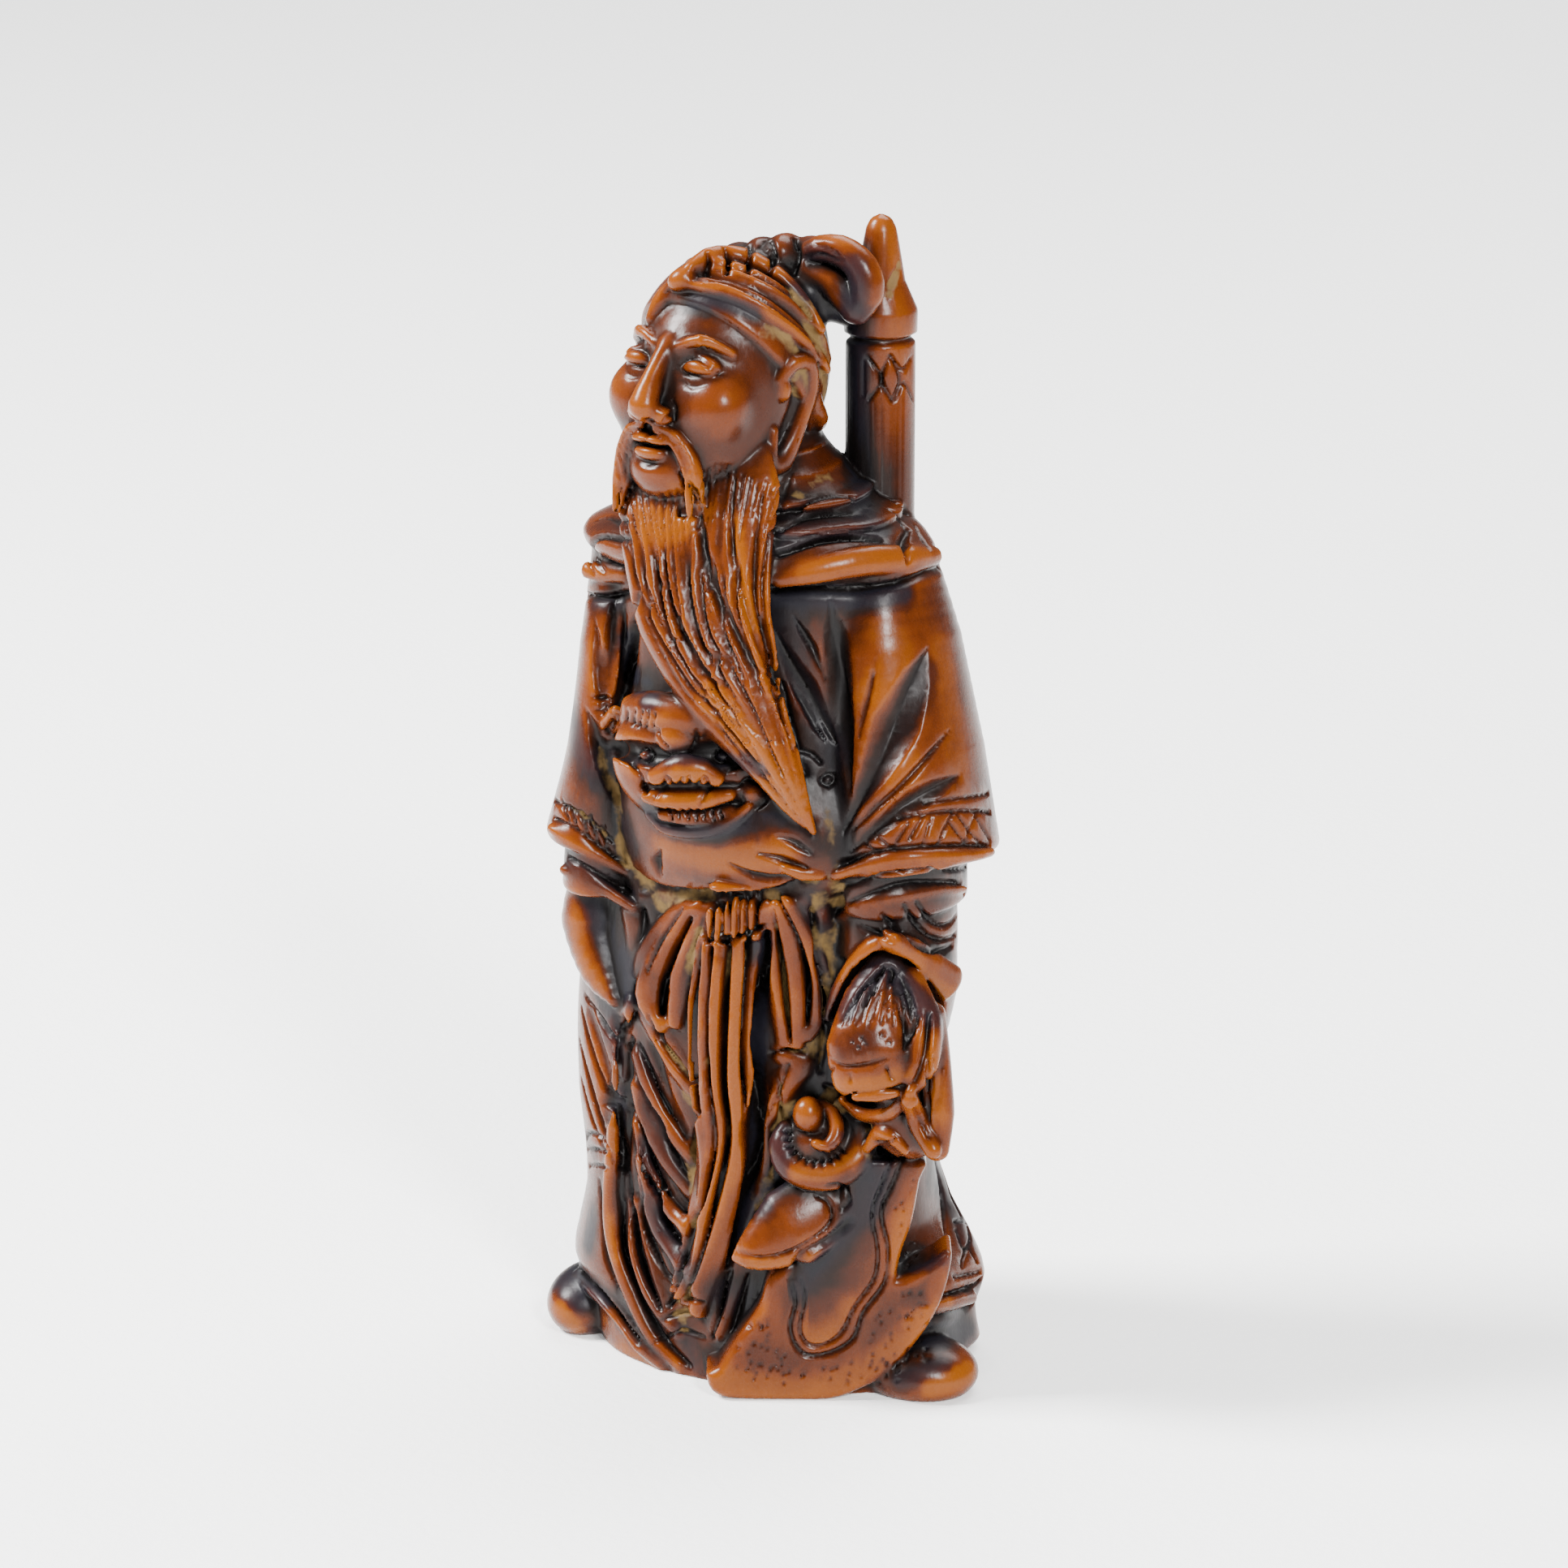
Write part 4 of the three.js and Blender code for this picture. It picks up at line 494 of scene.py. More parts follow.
COAT_ROLLS = [
    ([(-7.6, 19.9), (-8.2, 15.9), (-8.5, 12.3), (-8.7, 9.3), (-8.5, 6.4), (-7.5, 3.4), (-6.3, 1.0),
      (-4.9, -0.5)],
     [0.3, 0.45, 0.5, 0.5, 0.55, 0.55, 0.5, 0.4], 0.5, -0.15),
]
COAT_CUTS = [
    ([(-10.4, 19.5), (-9.9, 17.3), (-9.0, 14.5), (-8.3, 12.7)], [0.3, 0.6, 0.6, 0.3], [0.2, 0.45, 0.45, 0.2]),
    ([(-10.5, 17.7), (-10.0, 15.5), (-9.2, 12.7), (-8.6, 10.8)], [0.3, 0.6, 0.6, 0.3], [0.2, 0.4, 0.45, 0.2]),
    ([(-10.2, 20.2), (-9.1, 18.5), (-8.1, 16.8)], [0.3, 0.6, 0.3], [0.2, 0.45, 0.2]),
    ([(-7.2, 19.7), (-7.8, 16.8), (-8.0, 13.2), (-8.1, 10.5)], [0.4, 0.7, 0.7, 0.4], [0.3, 0.6, 0.6, 0.3]),
    ([(-10.4, 15.5), (-9.9, 13.5), (-9.1, 11.4)], [0.3, 0.5, 0.3], [0.2, 0.4, 0.2]),
    ([(-10.4, 12.2), (-9.8, 12.5), (-9.0, 12.1)], 0.4, [0.2, 0.35, 0.2]),
    ([(-10.4, 11.5), (-9.7, 11.6), (-9.0, 11.4)], 0.35, [0.2, 0.3, 0.2]),
    ([(-10.2, 10.6), (-9.6, 10.7), (-9.0, 10.5)], 0.35, [0.2, 0.3, 0.2]),
    ([(-9.4, 9.8), (-9.2, 7.7), (-9.0, 5.5), (-8.3, 3.6)], [0.3, 0.6, 0.6, 0.3], [0.2, 0.4, 0.4, 0.2]),
    ([(10.5, 7.5), (11.9, 7.8)], 0.3, 0.25),
    ([(10.6, 7.0), (11.1, 5.9), (11.6, 7.1)], 0.3, 0.25),
    ([(10.9, 5.0), (11.2, 6.1), (11.8, 5.2)], 0.3, 0.25),
    ([(10.5, 4.4), (12.0, 4.7)], 0.35, 0.3),
    ([(10.1, 10.9), (10.6, 9.1), (10.9, 7.5)], [0.3, 0.5, 0.3], [0.2, 0.35, 0.2]),
    ([(9.4, 11.1), (9.8, 9.1), (10.0, 6.8)], [0.3, 0.6, 0.3], [0.2, 0.4, 0.2]),
]
COAT_LEDGES = [
    ([(8.9, 3.2), (10.7, 3.7), (12.2, 4.2)], 0.9, [0.3, 0.5, 0.5]),
    ([(8.9, 2.0), (10.5, 2.5), (11.8, 2.8)], 1.0, [0.3, 0.6, 0.6]),
    ([(-10.6, 4.9), (-9.8, 4.1), (-8.8, 3.0), (-7.2, 0.9)], 1.2, [0.3, 0.6, 0.7, 0.5]),
]

CLOTH_LEDGES = [
    ([(-7.2, 27.0), (-6.6, 26.5), (-5.3, 26.1), (-3.0, 25.9), (-0.6, 25.9), (0.8, 26.2), (2.6, 26.7)], 2.0,
     [0.4, 0.7, 0.8, 0.8, 0.8, 0.7, 0.4]),
    ([(0.5, 43.0), (2.5, 43.0), (4.4, 43.0), (7.2, 43.4), (9.7, 44.3)], 1.3, [0.5, 0.6, 0.6, 0.5, 0.3]),
    ([(-10.6, 42.8), (-9.1, 42.6), (-7.7, 42.8)], 1.2, [0.4, 0.6, 0.4]),
]
CLOTH_ROLLS = [
    ([(0.6, 43.5), (2.5, 43.9), (5.4, 44.5), (7.5, 44.6), (9.4, 44.8)],
     [0.5, 0.7, 0.8, 0.8, 0.5], [0.4, 0.5, 0.6, 0.5, 0.4], 0.0),
    ([(-10.0, 44.0), (-9.1, 43.9), (-7.9, 43.8)], [0.5, 0.6, 0.5], 0.4, -0.15),
    ([(3.9, 26.9), (5.9, 27.5), (8.0, 27.9), (11.2, 28.0), (12.4, 28.2)],
     [0.3, 0.4, 0.4, 0.4, 0.3], 0.4, 0.0),
    ([(4.1, 24.5), (5.5, 25.2), (7.6, 25.8), (10.9, 26.2)], [0.3, 0.4, 0.4, 0.3], 0.4, 0.0),
    ([(-12.0, 29.5), (-10.5, 28.6), (-7.9, 27.1)], [0.3, 0.4, 0.3], 0.4, 0.0),
    ([(-11.3, 27.2), (-9.5, 26.4), (-7.5, 25.1)], [0.3, 0.4, 0.3], 0.4, 0.0),
    ([(1.1, 27.3), (2.0, 27.0), (3.0, 26.9)], [0.3, 0.4, 0.3], 0.3, 0.0),
]
CAPE_CUTS = [
    ([(0.7, 47.1), (1.8, 47.6), (3.4, 48.1), (4.8, 48.1)], 0.4, [0.2, 0.4, 0.4, 0.2]),
    ([(0.5, 46.1), (2.0, 46.8), (3.5, 47.1), (5.2, 47.1)], 0.45, [0.3, 0.5, 0.5, 0.2]),
    ([(0.7, 44.9), (2.5, 45.5), (4.4, 45.8), (6.3, 45.7)], 0.55, [0.4, 0.6, 0.6, 0.3]),
    ([(2.0, 45.8), (3.9, 46.2), (5.9, 46.3)], 0.3, [0.1, 0.25, 0.1]),
    ([(7.0, 47.9), (7.6, 47.5), (7.9, 47.1)], 0.35, 0.3),
    ([(6.8, 47.4), (7.4, 46.9), (7.7, 46.4)], 0.35, 0.3),
    ([(7.9, 46.3), (7.6, 45.5), (7.9, 44.6)], [0.5, 0.9, 0.5], [0.3, 0.6, 0.3]),
    ([(8.3, 46.5), (8.7, 45.7), (9.1, 45.2)], 0.35, [0.2, 0.3, 0.2]),
    ([(-10.1, 45.5), (-9.1, 45.9), (-7.9, 45.7)], 0.5, [0.3, 0.5, 0.3]),
    ([(-9.5, 46.8), (-8.8, 47.0), (-7.9, 46.7)], 0.45, [0.2, 0.4, 0.2]),
    ([(-10.1, 44.5), (-9.7, 43.8)], 0.3, 0.2),
    ([(-9.5, 44.6), (-9.1, 43.9)], 0.3, 0.2),
]
BELLY_CUTS = [
    ([(-6.0, 28.3), (-6.2, 27.6), (-6.0, 26.9)], [0.3, 0.9, 0.3], [0.2, 0.5, 0.2]),
    ([(-2.1, 27.5), (-0.9, 26.9), (0.7, 26.6), (2.4, 26.6)], [0.3, 0.8, 0.8, 0.3], [0.2, 0.45, 0.45, 0.2]),
    ([(-0.5, 28.1), (0.8, 27.8), (2.3, 27.3)], [0.3, 0.7, 0.3], [0.2, 0.45, 0.2]),
    ([(0.5, 29.1), (1.4, 28.8), (2.5, 28.1)], [0.2, 0.6, 0.3], [0.1, 0.35, 0.2]),
    ([(-7.4, 42.5), (-7.5, 40.0), (-7.9, 37.7), (-8.5, 35.9), (-9.0, 34.8)],
     [0.5, 1.0, 1.1, 1.0, 0.6], [0.4, 0.7, 0.8, 0.7, 0.4]),
    ([(1.8, 33.9), (2.5, 33.7), (3.0, 33.2)], 0.35, 0.3),
    ([(2.0, 33.0), (2.2, 32.6)], 0.4, 0.3),
    ([(3.0, 32.2), (3.4, 32.6), (3.8, 32.3), (3.4, 31.9), (3.0, 32.2)], 0.3, 0.3),
]
# The band and edges at the mouth of the near sleeve, and the folds under it.
BAND_LINES = [
    ([(9.0, 30.9), (10.0, 31.1), (11.4, 31.3), (12.7, 31.5)], 0.3, 0.25),
    ([(7.5, 30.0), (8.8, 30.3), (10.4, 30.5), (12.8, 30.5)], 0.35, 0.3),
    ([(4.3, 27.6), (5.9, 28.2), (8.2, 28.5), (10.4, 28.6), (12.5, 28.6)], 0.4, 0.35),
    ([(10.4, 30.4), (9.6, 28.7)], 0.3, 0.25),
    ([(10.3, 29.8), (11.1, 28.7)], 0.3, 0.25),
    ([(10.7, 30.3), (11.9, 28.7)], 0.3, 0.25),
    ([(11.6, 30.4), (12.5, 28.9)], 0.3, 0.25),
    ([(11.7, 30.4), (11.1, 28.8)], 0.3, 0.2),
    ([(8.7, 30.2), (8.0, 28.9)], 0.3, 0.25),
    ([(9.2, 30.1), (8.7, 28.6)], 0.3, 0.2),
    ([(8.0, 29.9), (7.1, 28.5)], 0.3, 0.25),
    ([(6.3, 28.9), (7.2, 28.3)], 0.3, 0.25),
    ([(5.5, 28.6), (6.3, 28.2)], 0.3, 0.25),
    ([(4.6, 25.4), (6.4, 26.1), (8.0, 26.5), (11.5, 26.5)], 0.4, [0.25, 0.35, 0.35, 0.25]),
    ([(4.3, 26.3), (6.1, 26.8), (8.2, 27.1), (11.6, 27.3)], 0.4, [0.2, 0.35, 0.35, 0.2]),
    ([(8.4, 25.4), (9.1, 24.4), (10.0, 24.1), (10.6, 24.6)], 0.4, [0.2, 0.35, 0.35, 0.2]),
    ([(7.7, 25.2), (8.3, 24.2), (9.1, 23.5), (10.0, 23.3), (10.6, 23.6)], 0.45, [0.2, 0.4, 0.4, 0.4, 0.2]),
    ([(6.5, 24.6), (7.7, 23.6), (8.8, 22.8), (9.6, 22.7), (10.4, 23.0)], 0.5, [0.2, 0.4, 0.45, 0.45, 0.2]),
    ([(5.2, 24.1), (6.4, 23.6), (7.0, 23.2)], 0.4, [0.2, 0.35, 0.2]),
    ([(-11.9, 30.1), (-10.6, 29.4), (-8.3, 27.8)], 0.35, 0.3),
    ([(-11.9, 31.1), (-10.4, 30.3), (-8.6, 28.8)], 0.35, 0.3),
    ([(-11.5, 31.1), (-11.1, 29.9)], 0.3, 0.25),
    ([(-11.0, 30.8), (-10.6, 29.5)], 0.3, 0.25),
    ([(-10.4, 30.5), (-10.0, 29.1)], 0.3, 0.25),
    ([(-9.9, 30.2), (-9.4, 28.6)], 0.3, 0.25),
    ([(-9.2, 29.6), (-8.9, 28.3)], 0.3, 0.25),
    ([(-11.1, 27.9), (-9.3, 26.9), (-7.7, 26.0)], 0.4, 0.35),
]
# The leaves cut in the sleeves, each a hollow of two slopes: its middle line, its widths and its depths.
LEAVES = [
    ([(3.5, 42.6), (3.9, 39.5), (4.2, 36.4), (4.5, 33.2), (4.7, 30.9)],
     [1.5, 1.9, 1.7, 0.9], [0.45, 0.6, 0.6, 0.35]),
    ([(1.4, 41.5), (2.0, 40.5), (2.7, 39.3), (3.3, 37.8)], [0.5, 0.6, 0.4], [0.35, 0.4, 0.25]),
    ([(0.4, 40.7), (1.4, 38.6), (2.7, 36.5), (4.0, 34.0)], [1.0, 1.5, 1.1], [0.45, 0.6, 0.5]),
    ([(1.2, 37.9), (2.2, 36.3), (3.4, 34.2)], [0.5, 0.6, 0.5], [0.35, 0.4, 0.35]),
    ([(6.1, 39.0), (5.8, 37.5), (5.3, 35.6), (5.0, 34.1)], [0.4, 0.5, 0.35], [0.3, 0.35, 0.25]),
    ([(9.1, 39.8), (8.0, 36.9), (6.5, 33.7), (5.0, 30.9), (4.2, 29.0)],
     [2.0, 2.7, 1.9, 0.8], [0.6, 0.95, 0.75, 0.4]),
    ([(10.4, 35.2), (9.0, 33.5), (7.4, 31.8), (5.9, 30.5), (4.7, 29.3)],
     [0.4, 0.5, 0.5, 0.4], [0.3, 0.35, 0.35, 0.3]),
    ([(11.0, 32.6), (9.4, 31.7), (7.6, 30.6), (5.8, 29.2), (4.6, 28.1)],
     [1.2, 1.6, 1.2, 0.7], [0.5, 0.7, 0.6, 0.35]),
    ([(-8.5, 42.8), (-8.7, 40.5), (-8.8, 38.2), (-9.0, 35.7)], [0.8, 1.0, 0.7], [0.4, 0.5, 0.35]),
    ([(-9.7, 41.5), (-9.5, 39.5), (-9.3, 37.5), (-9.1, 35.5)], [0.7, 0.9, 0.7], [0.35, 0.45, 0.35]),
    ([(-8.0, 42.0), (-8.0, 39.5), (-8.3, 37.3), (-8.7, 35.7)], [0.4, 0.5, 0.4], [0.3, 0.4, 0.3]),
    ([(-10.3, 36.5), (-9.6, 34.8), (-8.9, 32.7), (-8.0, 30.0)], [0.9, 1.2, 0.8], [0.45, 0.6, 0.35]),
]

# The patina's patches, drawn on the same board: a line, a width and a strength.
# First the dark patches: partly real stain, and partly painted shade, such as the shadow under the scarf's
# brim and the shaded side of the shaft.
STAIN_AND_SHADE = [
    ([(-4.1, 59.0), (-2.5, 59.0), (-0.9, 58.5)], 1.6, 0.9),
    ([(-3.0, 62.3), (-0.7, 62.3), (1.6, 61.8)], 2.6, 0.5),
    ([(2.5, 61.7), (3.9, 61.4), (4.8, 60.2)], 1.8, 0.8),
    ([(2.0, 59.5), (3.4, 58.4), (5.0, 57.8)], 2.4, 0.9),
    ([(4.8, 60.9), (5.0, 55.5), (5.1, 50.5), (5.5, 46.8)], 2.4, 0.9),
    ([(6.1, 54.5), (6.9, 54.5)], 1.6, 0.4),
    ([(0.9, 47.2), (3.4, 47.6), (5.2, 47.4)], 2.6, 0.65),
    ([(0.8, 45.5), (3.0, 46.3), (6.1, 46.3)], 2.6, 0.8),
    ([(0.5, 42.5), (2.5, 42.5), (5.2, 42.5), (7.5, 42.8)], 2.0, 1.0),
    ([(-10.1, 45.8), (-9.1, 46.3), (-8.0, 46.1)], 2.4, 0.6),
    ([(-9.5, 42.2), (-8.4, 42.2)], 1.6, 0.8),
    ([(-7.7, 40.0), (-7.3, 38.2), (-6.6, 36.7)], 1.8, 1.0),
    ([(1.0, 40.9), (1.8, 38.2), (3.0, 35.5), (3.9, 33.6)], 3.0, 0.7),
    ([(3.6, 40.9), (4.1, 37.3), (4.6, 33.6)], 1.8, 0.5),
    ([(8.9, 38.2), (7.4, 35.0), (5.7, 31.6)], 2.2, 0.62),
    ([(10.2, 32.0), (7.5, 30.5), (5.7, 29.1)], 1.6, 0.5),
    ([(2.0, 33.2), (3.0, 32.7), (4.1, 30.9), (4.3, 28.6)], 2.6, 0.6),
    ([(-10.9, 35.9), (-10.6, 34.1), (-9.5, 32.3)], 2.4, 0.8),
    ([(-9.1, 33.6), (-8.4, 31.4), (-7.6, 28.6)], 2.4, 0.7),
    ([(-11.1, 30.9), (-9.8, 30.0), (-8.4, 29.1)], 1.6, 0.5),
    ([(-7.7, 33.4), (-5.2, 33.4), (-2.5, 33.4), (-0.5, 33.0)], 1.8, 0.8),
    ([(-6.6, 30.5), (-5.2, 29.5), (-3.0, 29.2), (-0.7, 29.9), (0.7, 30.0)], 1.5, 0.9),
    ([(0.7, 30.5), (1.8, 29.5), (2.7, 28.4)], 2.0, 0.6),
    ([(-10.9, 27.8), (-9.3, 26.8), (-7.7, 25.7)], 2.2, 0.7),
    ([(-9.5, 25.5), (-8.8, 23.6), (-8.0, 21.8), (-7.7, 20.5)], 2.6, 0.95),
    ([(-7.2, 25.9), (-6.6, 24.1), (-7.3, 22.0)], 2.6, 0.55),
    ([(4.3, 25.9), (7.0, 26.5), (11.1, 26.9)], 1.6, 0.6),
    ([(5.2, 24.3), (7.5, 24.3), (9.8, 25.1)], 2.2, 0.6),
    ([(6.4, 24.1), (8.0, 23.2), (10.2, 22.6)], 1.5, 0.6),
    ([(4.5, 19.5), (5.7, 21.1), (6.7, 21.6), (8.2, 20.1), (9.3, 19.1)], 2.2, 0.9),
    ([(4.3, 17.3), (5.3, 17.5)], 2.2, 0.6),
    ([(7.7, 17.3), (8.3, 16.4)], 1.6, 0.4),
    ([(2.5, 25.5), (3.4, 22.3), (3.6, 19.1), (3.0, 15.5)], 2.6, 0.7),
    ([(-8.8, 19.5), (-8.5, 16.8), (-8.2, 13.2)], 1.8, 0.8),
    ([(-9.3, 20.0), (-9.0, 17.7)], 1.6, 0.7),
    ([(-7.0, 16.8), (-6.3, 13.2), (-5.2, 10.5)], 2.6, 0.65),
    ([(-6.8, 11.4), (-5.9, 7.7), (-5.0, 5.0)], 3.0, 0.75),
    ([(-7.7, 10.5), (-7.4, 5.9), (-6.0, 1.8)], 2.4, 0.6),
    ([(-4.1, 21.8), (-3.8, 16.8), (-3.5, 12.3)], 1.8, 0.4),
    ([(-0.2, 23.2), (-0.5, 16.8), (-0.7, 10.9), (-1.6, 6.8)], 1.8, 1.0),
    ([(0.5, 12.3), (0.7, 10.0), (-0.2, 8.6)], 2.6, 0.9),
    ([(-2.5, 3.6), (-1.8, 3.2), (-0.9, 3.2)], 3.4, 0.7),
    ([(3.4, 11.4), (2.5, 10.2), (4.3, 9.9)], 1.6, 0.6),
    ([(4.8, 13.2), (4.1, 12.3), (3.2, 11.4)], 1.0, 0.8),
    ([(3.0, 5.0), (4.3, 6.4), (5.4, 8.2), (6.2, 10.5)], 2.8, 0.85),
    ([(1.8, 3.6), (2.5, 4.5)], 2.0, 0.8),
    ([(9.3, 10.5), (10.5, 8.2), (11.1, 6.8)], 3.0, 0.7),
    ([(8.4, 5.0), (9.8, 5.5)], 1.6, 1.0),
    ([(9.3, 0.9), (10.5, 1.4), (11.4, 0.9)], 3.0, 0.9),
    ([(8.4, 3.2), (10.7, 3.2), (11.8, 3.6)], 1.6, 0.5),
    ([(7.5, -1.4), (8.9, -0.9), (9.8, -0.5)], 1.8, 0.8),
    ([(-11.1, 5.7), (-10.2, 4.5), (-9.2, 3.2)], 2.0, 0.9),
    ([(-11.5, 4.3), (-10.5, 3.2)], 2.4, 1.0),
    ([(-10.0, 1.4), (-9.1, 0.7)], 1.6, 0.7),
    ([(-9.8, 7.7), (-10.0, 6.4)], 2.0, 0.9),
    ([(-8.4, 3.2), (-7.0, 0.9), (-5.2, -0.9)], 1.6, 0.6),
    ([(-4.9, 1.4), (-4.3, 0.5), (-3.9, -0.9)], 2.2, 0.7),
    ([(-3.5, 13.2), (-3.9, 9.5)], 1.2, 0.4),
    ([(-10.1, 12.3), (-9.7, 11.4)], 1.4, 0.5),
]
# Where dust and old wax lie in the cuts.
DUSTY = [
    ([(1.8, 59.5), (2.6, 58.0), (3.3, 55.9), (3.4, 54.1)], 1.8, 1.0),
    ([(-0.2, 57.3), (0.9, 56.8), (1.8, 55.5), (2.0, 54.1)], 1.6, 0.8),
    ([(7.4, 61.1), (7.0, 60.0), (6.8, 59.4)], 0.9, 1.0),
    ([(1.8, 48.2), (3.0, 49.1), (3.9, 49.3)], 1.2, 0.9),
    ([(-8.0, 28.6), (-7.3, 27.3), (-6.8, 25.9)], 1.8, 0.8),
    ([(-6.6, 25.5), (-4.8, 25.4), (-3.4, 25.7)], 1.8, 0.8),
    ([(-3.9, 23.6), (-4.3, 20.0), (-3.6, 15.5), (-4.0, 11.4)], 1.6, 0.75),
    ([(-2.0, 22.3), (-2.0, 16.8), (-2.0, 12.3)], 2.0, 0.55),
    ([(2.5, 26.4), (3.2, 24.1), (2.7, 16.8)], 1.8, 0.7),
    ([(0.2, 25.5), (1.4, 17.3), (0.5, 13.2)], 1.6, 0.6),
    ([(-5.2, 16.8), (-4.0, 12.7), (-4.3, 7.7)], 1.8, 0.7),
    ([(0.9, 15.0), (0.2, 11.4), (-0.7, 8.6)], 2.0, 0.8),
    ([(3.4, 14.5), (5.7, 12.8), (5.6, 10.9)], 1.4, 0.8),
    ([(3.4, 30.5), (3.6, 27.7), (3.9, 25.5)], 1.4, 0.8),
    ([(-11.6, 32.3), (-10.9, 30.9), (-9.3, 29.1)], 1.4, 0.6),
    ([(-9.5, 33.6), (-8.4, 30.5), (-7.7, 27.7)], 1.6, 0.6),
    ([(8.4, 5.0), (9.8, 5.0)], 1.0, 0.5),
    ([(-5.2, 5.0), (-4.5, 3.2), (-5.0, 1.4)], 1.8, 0.6),
]
# Where handling has worn the wood golden.
GOLDEN = [
    ([(-6.6, 46.8), (-5.2, 46.8), (-4.3, 47.7)], 3.6, 0.8),
    ([(-3.0, 36.8), (-0.7, 33.6), (1.4, 30.9)], 2.6, 0.9),
    ([(-1.8, 46.8), (-1.4, 43.2), (-0.7, 40.9)], 1.2, 0.8),
    ([(-5.7, 28.6), (-3.0, 27.7), (0.7, 28.2)], 2.6, 0.7),
    ([(-5.0, 32.5), (-3.9, 32.6)], 1.4, 0.9),
    ([(-5.2, 34.8), (-6.6, 35.7)], 1.8, 0.5),
    ([(-5.7, 31.2), (-3.4, 31.2)], 1.0, 0.8),
    ([(6.6, 40.5), (7.5, 39.5), (6.1, 37.3)], 2.6, 0.6),
    ([(9.8, 39.5), (10.5, 35.0), (10.7, 32.3)], 3.0, 0.6),
    ([(8.4, 33.2), (7.0, 32.3)], 1.6, 0.5),
    ([(9.3, 29.5), (11.6, 29.5)], 2.0, 0.5),
    ([(8.4, 21.4), (9.8, 20.2)], 1.8, 0.8),
    ([(4.1, 19.3), (5.2, 21.8)], 1.0, 0.5),
    ([(-10.6, 25.0), (-10.5, 22.3), (-9.3, 20.9)], 1.8, 0.6),
    ([(3.9, 15.2), (6.1, 15.2), (7.7, 15.9)], 1.3, 0.8),
    ([(9.3, 16.8), (9.5, 13.2)], 1.6, 0.7),
    ([(1.6, 10.2), (3.4, 10.2), (5.2, 11.4)], 1.2, 0.8),
    ([(3.9, 3.2), (3.0, 1.4)], 2.6, 0.9),
    ([(-2.0, -1.4), (2.5, -1.9), (6.6, 0.0), (9.8, 3.2)], 2.2, 0.7),
    ([(7.5, 7.7), (7.3, 5.0)], 1.6, 0.7),
    ([(-0.7, 5.1), (1.6, 5.4), (3.4, 6.4)], 1.2, 0.7),
    ([(-11.6, 2.7), (-10.5, 1.4)], 1.3, 0.9),
    ([(9.3, -1.8), (11.4, -0.9)], 1.6, 1.0),
    ([(-9.1, 2.3), (-7.7, 0.2), (-6.6, -0.5)], 1.2, 0.8),
    ([(-8.8, 7.7), (-8.6, 5.5)], 1.0, 0.7),
    ([(-5.8, 25.9), (-6.6, 22.3)], 1.0, 0.3),
    ([(-5.7, 20.0), (-5.9, 18.5)], 1.4, 0.6),
    ([(-1.5, 22.3), (-1.8, 16.8), (-1.7, 11.4), (-3.0, 7.7)], 1.0, 0.6),
    ([(7.5, 58.6), (7.0, 62.3)], 1.6, 0.4),
    ([(-3.4, 60.0), (-1.8, 60.9)], 1.4, 0.4),
    ([(2.0, 44.1), (5.2, 44.5), (8.9, 44.8)], 1.4, 0.5),
    ([(-10.0, 43.7), (-8.2, 43.5)], 1.4, 0.5),
]


# ---------------------------------------------------------------- the block


class Block:
    """The block of wood: signed distances to its skin on a grid, in millimetres, less than nothing inside."""

    def __init__(self, low, high, step):
        self.step = step
        self.low = np.floor(np.array(low) / step) * step
        self.count = np.ceil((np.array(high) - self.low) / step).astype(int) + 1
        self.field = np.full(self.count, FAR, np.float32)

    def window(self, low, high, within=None):
        """The part of the grid between two corners, with its coordinates; None where it is empty."""
        first = np.floor((np.asarray(low) - self.low) / self.step).astype(int)
        last = np.ceil((np.asarray(high) - self.low) / self.step).astype(int) + 1
        least = [c.start for c in within] if within else 0
        most = [c.stop for c in within] if within else self.count
        first = np.clip(first, least, most)
        last = np.clip(last, least, most)
        if (last <= first).any():
            return None
        cut = tuple(slice(a, b) for a, b in zip(first, last))
        axes = [
            (self.low[k] + self.step * np.arange(first[k], last[k])).astype(np.float32)
            for k in range(3)
        ]
        return cut, axes[0][:, None, None], axes[1][None, :, None], axes[2][None, None, :]

    def join(self, cut, distance, blend):
        self.field[cut] = soft_min(self.field[cut], distance, blend)

    def pare(self, cut, distance, blend):
        self.field[cut] = -soft_min(-self.field[cut], distance, blend)

    def read(self, points):
        """The field at any points, between the grid's own points."""
        place = (points - self.low) / self.step
        place = np.clip(place, 0, self.count - 1.001)
        i = place.astype(np.int32)
        f = (place - i).astype(np.float32)
        value = 0
        for dx in (0, 1):
            wx = f[..., 0] if dx else 1 - f[..., 0]
            for dy in (0, 1):
                wy = f[..., 1] if dy else 1 - f[..., 1]
                for dz in (0, 1):
                    wz = f[..., 2] if dz else 1 - f[..., 2]
                    value = value + wx * wy * wz * self.field[i[..., 0] + dx, i[..., 1] + dy, i[..., 2] + dz]
        return value

    def outward(self, points, reach):
        """The way out of the wood at any points."""
        way = np.stack(
            [
                self.read(points + reach * unit) - self.read(points - reach * unit)
                for unit in np.eye(3)
            ],
            -1,
        )
        return way / np.maximum(np.linalg.norm(way, axis=-1, keepdims=True), 1e-6)


def soft_min(a, b, blend):
    """The smaller of two distances, with the corner between them filled over the blend's length."""
    if blend <= 0:
        return np.minimum(a, b)
    h = np.clip(0.5 + 0.5 * (b - a) / blend, 0, 1)
    return b + (a - b) * h - blend * h * (1 - h)


def unit(v):
    v = np.asarray(v, float)
    return v / max(np.linalg.norm(v), 1e-9)


def smooth(low, high, value):
    t = np.clip((value - low) / (high - low), 0, 1)
    return t * t * (3 - 2 * t)


